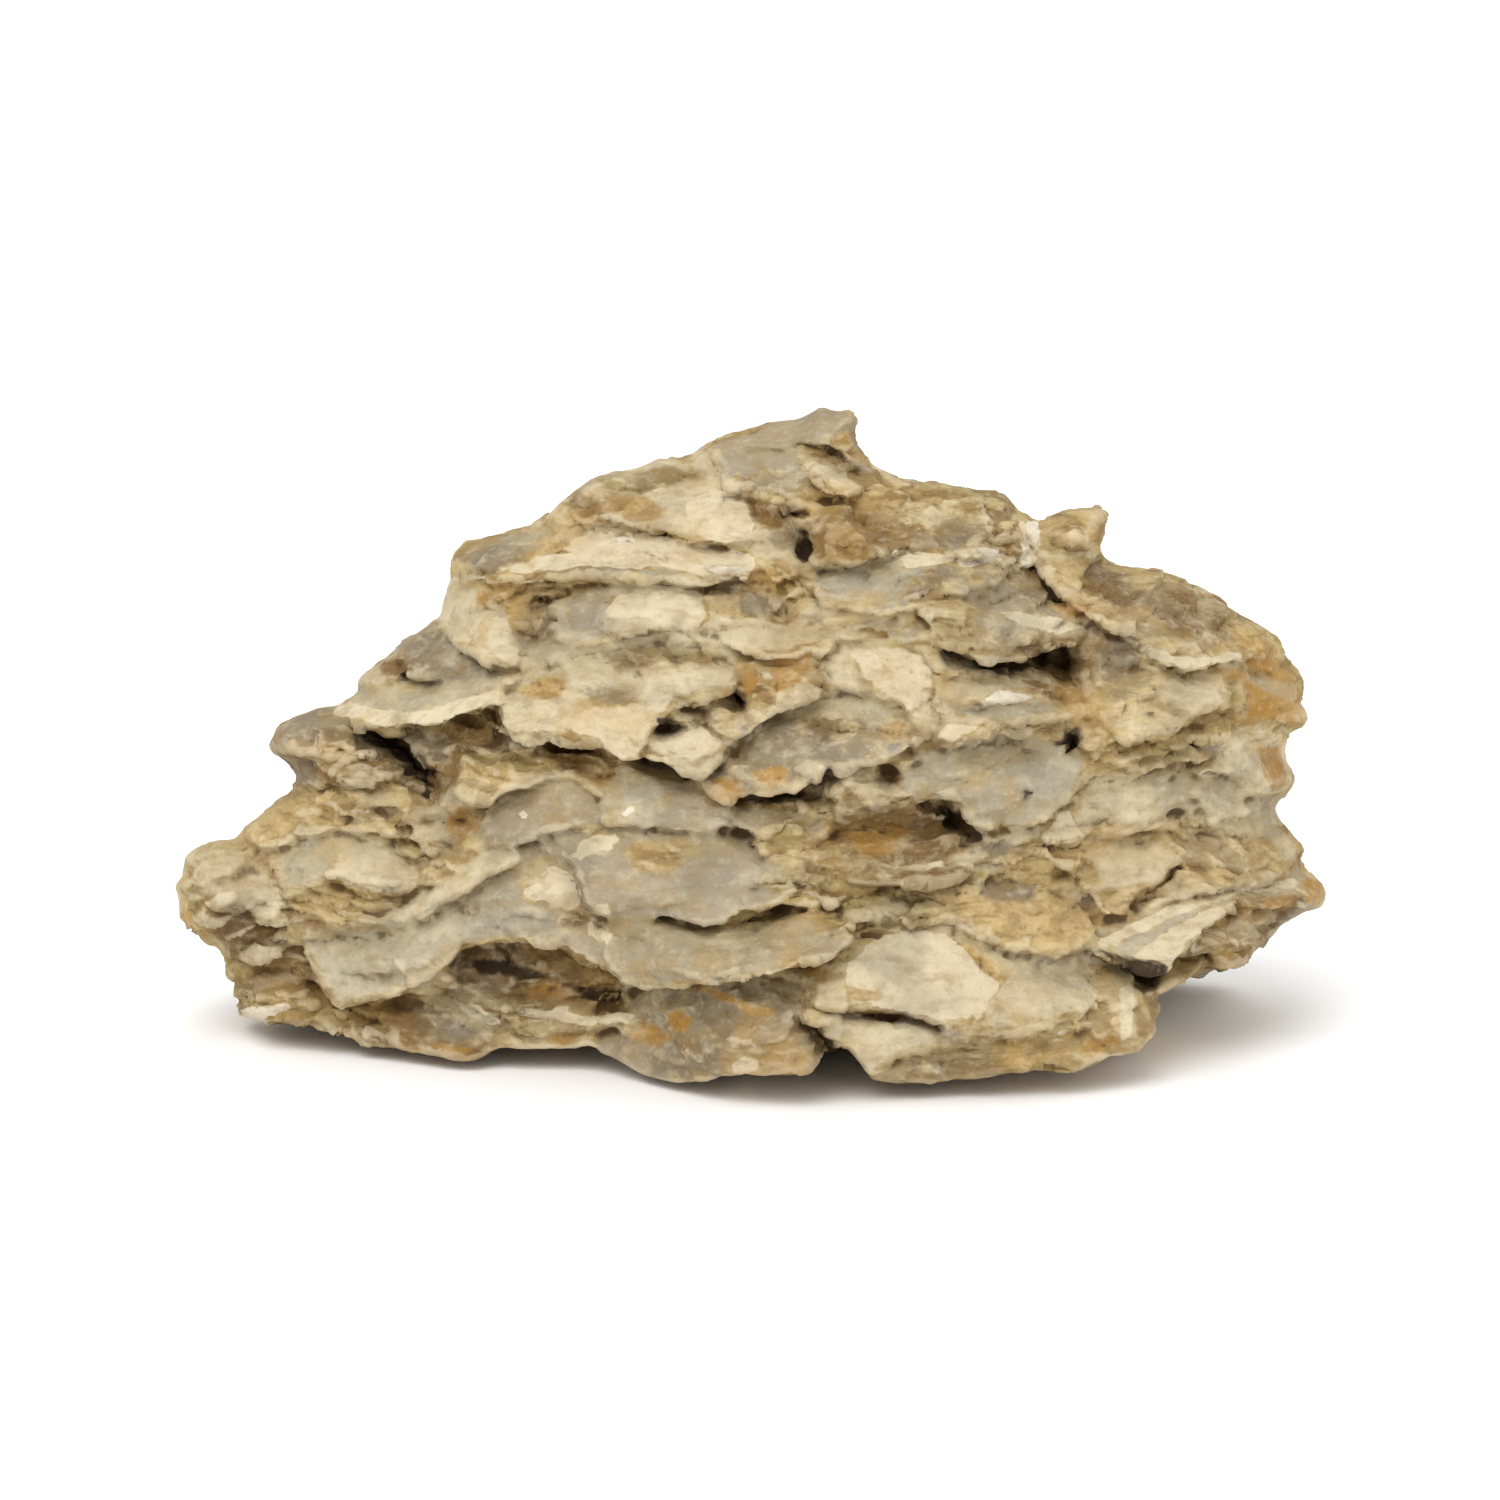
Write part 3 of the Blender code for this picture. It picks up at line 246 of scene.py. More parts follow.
# Flakes in the order they are laid down: name, finish, raise at the upper edge, raise at the lower
# edge, crown in the middle (all in millimetres towards the viewer), outline
FLAKES = (
    ("peak_cap", "lilac", 0, 3, 0.5, ((700, 449), (740, 433), (785, 418), (830, 408), (858, 418),
     (853, 432), (870, 455), (872, 470), (850, 470), (820, 452), (800, 449), (740, 447))),
    ("peak_face", "lilac", 1, 3.5, 0, ((722, 449), (760, 446), (800, 450), (797, 470), (800, 485),
     (795, 500), (775, 492), (730, 490), (722, 478))),
    ("peak_tongue", "cream", 2, 5, 0.5, ((803, 458), (822, 462), (840, 475), (855, 485), (850, 494),
     (835, 497), (825, 490), (815, 482), (805, 475))),
    ("upper_left_face", "cream", -1, 4, 0.5, ((570, 497), (600, 478), (640, 472), (680, 462),
     (712, 445), (722, 470), (725, 490), (750, 500), (760, 515), (770, 530), (745, 540), (700, 541),
     (655, 536), (620, 520), (600, 515), (575, 512))),
    ("upper_right_crumble", "crumble", -1, 4, 0, ((870, 482), (910, 484), (960, 492), (1003, 497),
     (1020, 515), (1022, 540), (1010, 565), (960, 552), (900, 550), (875, 550), (885, 530),
     (890, 512))),
    ("brown_knob", "brown", 1, 6, 3, ((815, 510), (835, 503), (870, 500), (890, 515), (885, 535),
     (870, 550), (855, 562), (835, 566), (812, 558), (806, 540))),
    ("horn", "tan", 1, 3, 1, ((1040, 521), (1063, 512), (1080, 508), (1107, 517), (1098, 553),
     (1080, 552), (1060, 548), (1045, 540))),
    ("right_shoulder", "tan", 0, 5, 1.5, ((1040, 560), (1105, 561), (1180, 580), (1240, 618),
     (1284, 650), (1260, 657), (1220, 662), (1165, 667), (1150, 657), (1130, 640), (1100, 620),
     (1070, 600), (1045, 577))),
    ("right_mid_plate", "tan", 0, 3.5, 1, ((1145, 672), (1180, 669), (1215, 666), (1240, 690),
     (1220, 705), (1195, 720), (1170, 735), (1130, 737), (1108, 720), (1098, 700), (1115, 685))),
    ("right_edge_rubble", "olive", -1, 2, 0, ((1240, 665), (1284, 655), (1301, 683), (1308, 721),
     (1284, 731), (1283, 760), (1292, 785), (1250, 795), (1225, 770), (1200, 745), (1225, 710))),
    ("left_shelf", "tan", -1, 6, 0, ((450, 562), (467, 543), (530, 528), (580, 518), (612, 517),
     (650, 530), (700, 542), (745, 553), (752, 564), (745, 577), (700, 582), (620, 578), (560, 577),
     (500, 582), (450, 584))),
    ("cream_block", "cream", 1, 5, 1, ((450, 586), (480, 583), (500, 596), (512, 613), (520, 640),
     (518, 662), (498, 666), (480, 660), (475, 650), (455, 640), (440, 625), (443, 602))),
    ("cream_face", "cream", 0, 4, 0.5, ((560, 592), (600, 582), (650, 580), (702, 587), (706, 610),
     (700, 627), (660, 632), (590, 639), (560, 634), (556, 612))),
    ("middle_strip", "tan", -2, 2, 0, ((706, 585), (748, 580), (800, 575), (822, 602), (800, 628),
     (760, 622), (715, 618))),
    ("long_ledge", "lilac", 0, 5, 0, ((812, 568), (870, 562), (900, 548), (955, 552), (1012, 570),
     (1000, 582), (960, 592), (930, 602), (880, 612), (822, 602))),
    ("thin_ledge", "cream", 0, 5.5, 0, ((712, 621), (760, 626), (800, 631), (850, 626), (872, 641),
     (830, 652), (790, 657), (750, 651), (722, 640))),
    ("slit_roof", "blue", 1, 7, 1, ((920, 603), (950, 594), (985, 584), (1020, 586), (1050, 606),
     (1062, 626), (1092, 627), (1080, 642), (1050, 652), (1010, 664), (985, 660), (960, 650),
     (940, 640))),
    ("yellow_face", "cream", -1, 3, 0.5, ((835, 642), (880, 637), (940, 645), (930, 665),
     (930, 700), (942, 722), (925, 737), (900, 722), (885, 702), (850, 692), (828, 682))),
    ("white_ledge", "cream", 0, 7, 0, ((935, 672), (970, 677), (1025, 682), (1060, 702),
     (1077, 716), (1000, 722), (960, 740), (937, 738), (942, 718), (932, 700))),
    ("arch", "tan", 1, 5, 0, ((960, 742), (1000, 722), (1080, 718), (1125, 738), (1150, 770),
     (1110, 782), (1080, 780), (1090, 752), (1050, 730), (1000, 733))),
    ("grey_wedge", "lilac", -2, 2, 0.5, ((425, 630), (440, 620), (455, 642), (475, 652), (482, 664),
     (540, 665), (525, 675), (470, 681), (410, 681), (388, 671), (385, 662), (400, 645))),
    ("long_swoosh", "lilac", 1, 9, 0, ((357, 690), (385, 686), (440, 684), (520, 673), (600, 646),
     (640, 641), (620, 656), (560, 666), (505, 682), (500, 702), (470, 707), (440, 717), (400, 720),
     (368, 724), (342, 722), (350, 706))),
    ("central_tongue", "cream", 0, 10, 1, ((500, 687), (540, 662), (600, 647), (700, 641),
     (740, 652), (800, 662), (772, 677), (722, 692), (690, 697), (660, 717), (646, 735), (640, 767),
     (615, 767), (603, 742), (575, 737), (545, 740), (520, 735), (500, 717))),
    ("middle_rust", "tan", 3, 8, 0, ((742, 660), (790, 655), (815, 650), (832, 684), (800, 698),
     (770, 712), (735, 736), (700, 722), (668, 715), (692, 698), (730, 690))),
    ("cream_dish", "cream", 4, 8, 0, ((648, 728), (670, 720), (700, 724), (738, 740), (725, 762),
     (700, 771), (665, 766), (645, 758))),
    ("left_fin", "slate", 0, 5, 0, ((271, 747), (277, 730), (305, 715), (342, 706), (350, 716),
     (395, 772), (402, 780), (342, 783), (300, 787))),
    ("pink_rubble", "brown", -6, -2, 0, ((400, 724), (465, 716), (500, 735), (545, 742), (470, 760),
     (455, 785), (432, 798), (405, 770))),
    ("hollow_back", "brown", -5, -2, 0, ((545, 738), (605, 742), (640, 768), (600, 782), (560, 766),
     (530, 758))),
    ("olive_flake", "tan", -2, 4, 0.5, ((470, 747), (500, 751), (530, 760), (560, 766), (577, 782),
     (530, 787), (500, 792), (490, 801), (470, 797), (448, 784), (458, 765))),
    ("pink_plate", "lilac", -1, 7, 1, ((700, 773), (735, 741), (770, 716), (800, 701), (850, 691),
     (898, 702), (922, 737), (900, 752), (860, 762), (830, 777), (800, 792), (760, 802), (735, 802),
     (712, 790))),
    ("blue_plate", "blue", -1, 5, 1, ((925, 747), (960, 746), (1000, 736), (1050, 736), (1088, 748),
     (1095, 762), (1080, 782), (1065, 802), (1030, 822), (1000, 827), (960, 822), (950, 808),
     (918, 802), (903, 790), (908, 765))),
    ("shell_limb", "lilac", -1, 3, 1, ((487, 803), (520, 790), (548, 780), (577, 779), (598, 796),
     (612, 808), (603, 820), (575, 825), (545, 833), (515, 843), (490, 851), (462, 864), (452, 868),
     (466, 850), (482, 832))),
    ("shell_upper", "lilac", 0, 4, 1, ((596, 788), (620, 775), (640, 768), (690, 778), (715, 790),
     (735, 808), (745, 828), (745, 838), (712, 836), (700, 830), (660, 824), (625, 821),
     (603, 819))),
    ("shell_left", "lilac", 1, 6.5, 1, ((415, 918), (455, 897), (490, 882), (520, 862), (560, 860),
     (580, 870), (590, 905), (600, 925), (618, 940), (624, 976), (600, 962), (580, 948), (560, 940),
     (545, 940), (530, 946), (500, 940), (470, 941), (455, 930))),
    ("shell_lobe", "lilac", 5, 10, 1.5, ((598, 925), (612, 915), (640, 910), (665, 918), (715, 922),
     (760, 934), (812, 905), (835, 905), (855, 930), (830, 950), (800, 956), (780, 966), (740, 974),
     (700, 979), (665, 984), (640, 982), (620, 975), (603, 950))),
    ("shell_dome", "lilac", 2, 6.5, 2.5, ((560, 848), (590, 832), (612, 826), (640, 824),
     (700, 832), (745, 838), (775, 862), (830, 872), (850, 890), (812, 903), (760, 905), (735, 909),
     (715, 921), (690, 921), (665, 917), (640, 912), (610, 917), (588, 905), (582, 880),
     (576, 862))),
    ("left_shelf_low", "tan", 0, 5, 0.5, ((300, 787), (345, 782), (400, 787), (408, 802),
     (392, 830), (345, 828), (300, 832), (272, 850), (250, 842), (245, 832), (250, 820),
     (280, 800))),
    ("smooth_plate", "cream", 1, 6, 1.5, ((270, 852), (300, 834), (340, 830), (380, 834),
     (398, 842), (405, 857), (415, 867), (420, 882), (400, 894), (370, 892), (340, 882), (310, 887),
     (285, 892), (275, 877))),
    ("left_nose", "olive", 0, 3, 0.5, ((178, 892), (190, 864), (225, 842), (262, 848), (275, 880),
     (285, 915), (250, 925), (215, 938), (188, 915))),
    ("rough_band", "olive", 2, 4, 0, ((285, 893), (340, 885), (400, 895), (440, 886), (420, 914),
     (330, 930), (300, 932), (285, 915))),
    ("cream_streak", "cream", 4, 6, 0, ((400, 907), (440, 887), (480, 866), (515, 846), (522, 856),
     (490, 872), (462, 892), (420, 917))),
    ("scoop_band", "tan", 1, 4, 0, ((425, 866), (455, 852), (478, 842), (515, 846), (480, 866),
     (440, 886), (420, 880))),
    ("long_tongue", "lilac", 1, 8, 1, ((303, 935), (330, 931), (380, 923), (420, 916), (450, 901),
     (480, 906), (478, 926), (465, 941), (450, 956), (430, 971), (400, 986), (375, 996), (348, 998),
     (333, 985), (315, 968), (303, 950))),
    ("dark_recess", "brown", -7, -3, 0, ((465, 948), (510, 942), (555, 943), (600, 966), (625, 984),
     (612, 1000), (560, 1003), (500, 1000), (455, 985), (445, 965))),
    ("left_foot", "olive", -1, 3, 0, ((228, 960), (300, 952), (318, 972), (340, 1000), (345, 1045),
     (300, 1024), (245, 1022), (238, 1000))),
    ("low_strip", "olive", -2, 4, 0, ((345, 1002), (400, 990), (455, 988), (520, 1003), (620, 1000),
     (645, 1022), (600, 1044), (500, 1044), (420, 1050), (345, 1047))),
    ("foot_knob", "rust", 2, 3, 1, ((405, 1040), (440, 1034), (500, 1038), (512, 1045), (475, 1058),
     (440, 1063), (423, 1060))),
    ("lilac_boat", "lilac", -3, 5, 1.5, ((620, 986), (700, 982), (780, 966), (802, 971), (812, 986),
     (806, 1005), (798, 1020), (820, 1036), (845, 1055), (793, 1077), (745, 1087), (712, 1088),
     (655, 1078), (600, 1050), (590, 1035), (640, 1020))),
    ("flake_bed", "lilac", -2, 1, 0, ((728, 812), (775, 810), (815, 800), (835, 790), (842, 830),
     (838, 858), (800, 868), (760, 862), (735, 845))),
    ("rough_flake", "tan", -1, 3, 0.5, ((755, 845), (770, 832), (790, 820), (808, 821), (816, 836),
     (828, 850), (870, 856), (860, 866), (800, 868), (770, 862))),
    ("cream_rim", "cream", 1, 6, 0, ((840, 866), (870, 857), (925, 855), (970, 860), (980, 876),
     (930, 880), (880, 878), (840, 880))),
    ("speckled_band", "tan", 0, 4, 0.5, ((880, 884), (940, 882), (1000, 866), (1060, 862),
     (1105, 875), (1120, 905), (1090, 930), (1060, 955), (1000, 945), (950, 918), (900, 928),
     (855, 930), (835, 905))),
    ("cream_toe", "cream", 2, 6.5, 1.5, ((812, 1001), (818, 981), (835, 961), (860, 939),
     (900, 933), (945, 921), (970, 936), (1000, 960), (1060, 976), (1088, 1000), (1080, 1013),
     (1050, 1023), (1010, 1031), (970, 1031), (930, 1023), (890, 1011), (845, 1006))),
    ("toe_facet", "lilac", 6.5, 4, 0, ((805, 1013), (845, 1010), (900, 1017), (960, 1031),
     (1000, 1036), (960, 1043), (900, 1051), (885, 1066), (870, 1079), (860, 1068), (845, 1045),
     (822, 1026))),
    ("toe_base", "tan", 1.5, 3.5, 0, ((870, 1078), (888, 1064), (905, 1052), (960, 1044),
     (1040, 1036), (1095, 1030), (1135, 1035), (1140, 1050), (1095, 1060), (1055, 1083),
     (960, 1084))),
    ("yellow_column", "tan", -2, 3, 0, ((1060, 975), (1095, 962), (1130, 965), (1148, 997),
     (1158, 1028), (1120, 1034), (1088, 1034), (1080, 1013), (1090, 998))),
    ("belly_upper", "tan", -1, 4, 0, ((1090, 752), (1150, 772), (1200, 762), (1240, 780),
     (1245, 812), (1190, 826), (1120, 832), (1060, 838), (1030, 824), (1065, 803), (1082, 782))),
    ("belly_lower", "tan", 0, 5, 0.5, ((1030, 842), (1110, 838), (1190, 832), (1245, 818),
     (1282, 826), (1298, 850), (1296, 872), (1240, 884), (1180, 894), (1130, 912), (1105, 905),
     (1060, 858))),
    ("right_ledge", "lilac", 2, 10, 0, ((1085, 945), (1100, 931), (1130, 916), (1180, 896),
     (1240, 886), (1290, 876), (1322, 886), (1325, 900), (1300, 902), (1240, 902), (1215, 912),
     (1195, 932), (1175, 952), (1160, 965), (1140, 965), (1120, 957), (1100, 950))),
    ("ledge_underside", "brown", 2, -3, 0, ((1215, 914), (1240, 904), (1322, 902), (1298, 914),
     (1275, 930), (1238, 964), (1205, 970), (1180, 955), (1197, 932))),
)

# Hollows with rounded floors: name, depth in millimetres, reach of the sloping wall, outline
HOLLOWS = (
    ("peak_recess", 6, 5, ((757, 498), (795, 502), (815, 508), (806, 530), (812, 560), (780, 548),
     (765, 522))),
    ("block_hollow", 5, 6, ((498, 584), (556, 582), (558, 612), (556, 640), (525, 645),
     (512, 612))),
    ("right_cavity", 15, 4, ((1030, 650), (1078, 644), (1090, 670), (1086, 702), (1056, 706),
     (1036, 682))),
    ("left_cavity", 16, 3.5, ((345, 726), (372, 727), (400, 731), (410, 745), (424, 759),
     (440, 768), (437, 785), (438, 800), (425, 806), (413, 798), (394, 780), (370, 757))),
    ("brown_notch", 7, 4, ((465, 708), (500, 705), (503, 722), (520, 737), (488, 734))),
    ("tongue_hollow", 8, 5, ((540, 741), (575, 740), (605, 745), (612, 766), (580, 776),
     (552, 762))),
    ("rust_scoop", 6.5, 7, ((410, 801), (445, 799), (492, 799), (490, 816), (483, 831), (471, 841),
     (450, 849), (425, 840), (409, 826))),
    ("long_hollow", 9, 7, ((822, 842), (843, 818), (895, 811), (940, 806), (968, 804), (966, 838),
     (940, 857), (880, 860), (836, 857))),
    ("wing_recess", 9, 4, ((690, 918), (730, 918), (770, 902), (800, 902), (792, 922), (760, 932),
     (730, 930))),
    ("toe_hollow", 8, 4, ((790, 974), (800, 958), (836, 952), (832, 962), (818, 978), (812, 990))),
    ("foot_gap", 14, 3, ((800, 1022), (818, 1030), (845, 1048), (862, 1076), (845, 1066),
     (822, 1060))),
    ("ledge_recess", 11, 4, ((1088, 950), (1118, 957), (1150, 970), (1172, 966), (1150, 988),
     (1120, 976), (1095, 964))),
    ("arch_hole", 12, 3, ((1056, 728), (1078, 726), (1088, 738), (1084, 749), (1064, 749))),
    ("nose_hollow", 5, 4, ((248, 872), (268, 868), (276, 882), (262, 892), (250, 888))),
)

# Round pits: name, middle, half width, half height, depth
PITS = (
    ("ring_pit", (587, 505), 13, 10, 4),
    ("middle_pit", (733, 700), 14, 12, 9),
    ("dish_pit", (667, 725), 18, 10, 8),
    ("low_pit", (885, 777), 12, 13, 5),
    ("pebble_hole", (1190, 744), 7, 6, 5),
    ("flake_pit", (1172, 820), 14, 16, 4),
    ("crumble_pit", (975, 507), 9, 5, 4),
    ("face_pit", (542, 603), 8, 8, 4),
    ("belly_pit", (1028, 790), 8, 5, 4),
    ("small_pit", (953, 932), 5, 5, 3),
    ("wedge_pit", (400, 670), 9, 6, 4),
)

# Slits: name, half width in millimetres, depth, the points that it runs through
SLITS = (
    ("peak_slit", 0.6, 6, ((803, 450), (822, 454), (840, 463), (856, 477))),
    ("recess_corner", 0.7, 5, ((805, 538), (804, 550), (807, 560))),
    ("shoulder_slit", 1.0, 9, ((1030, 572), (1045, 585), (1060, 600))),
    ("long_slit", 1.7, 14, ((950, 654), (985, 668), (1015, 668), (1042, 678))),
    ("tongue_slit", 1.1, 11, ((636, 766), (660, 770), (686, 777))),
    ("plate_slit", 1.6, 13, ((738, 803), (775, 800), (812, 792), (835, 774))),
    ("arc_slit_low", 0.7, 5, ((726, 834), (742, 838), (752, 845))),
    ("hollow_end", 1.6, 6, ((928, 808), (950, 810), (957, 828), (965, 838))),
    ("lobe_slit", 0.9, 7, ((662, 917), (690, 922), (715, 920))),
    ("toe_slit", 0.7, 6, ((845, 1007), (875, 1009), (905, 1014), (935, 1024))),
    ("foot_slit", 1.2, 10, ((845, 1050), (858, 1068), (864, 1080))),
    ("ledge_slit", 1.6, 11, ((1140, 985), (1165, 972), (1205, 964))),
    ("leaf_outer", 0.5, 3, ((392, 838), (400, 852), (412, 865), (428, 868), (440, 862),
     (452, 850))),
    ("leaf_middle", 0.4, 2.5, ((403, 840), (418, 851), (432, 860))),
    ("leaf_inner", 0.4, 2.5, ((420, 838), (438, 847), (452, 848))),
    ("wedge_slit", 0.9, 6, ((410, 682), (440, 682))),
    ("belly_crease", 0.8, 5, ((1135, 905), (1155, 890), (1180, 872))),
    ("seam", 0.8, 4, ((1022, 522), (1030, 545), (1042, 568))),
    ("boat_edge", 0.5, 3, ((590, 1012), (625, 1000), (650, 990))),
)

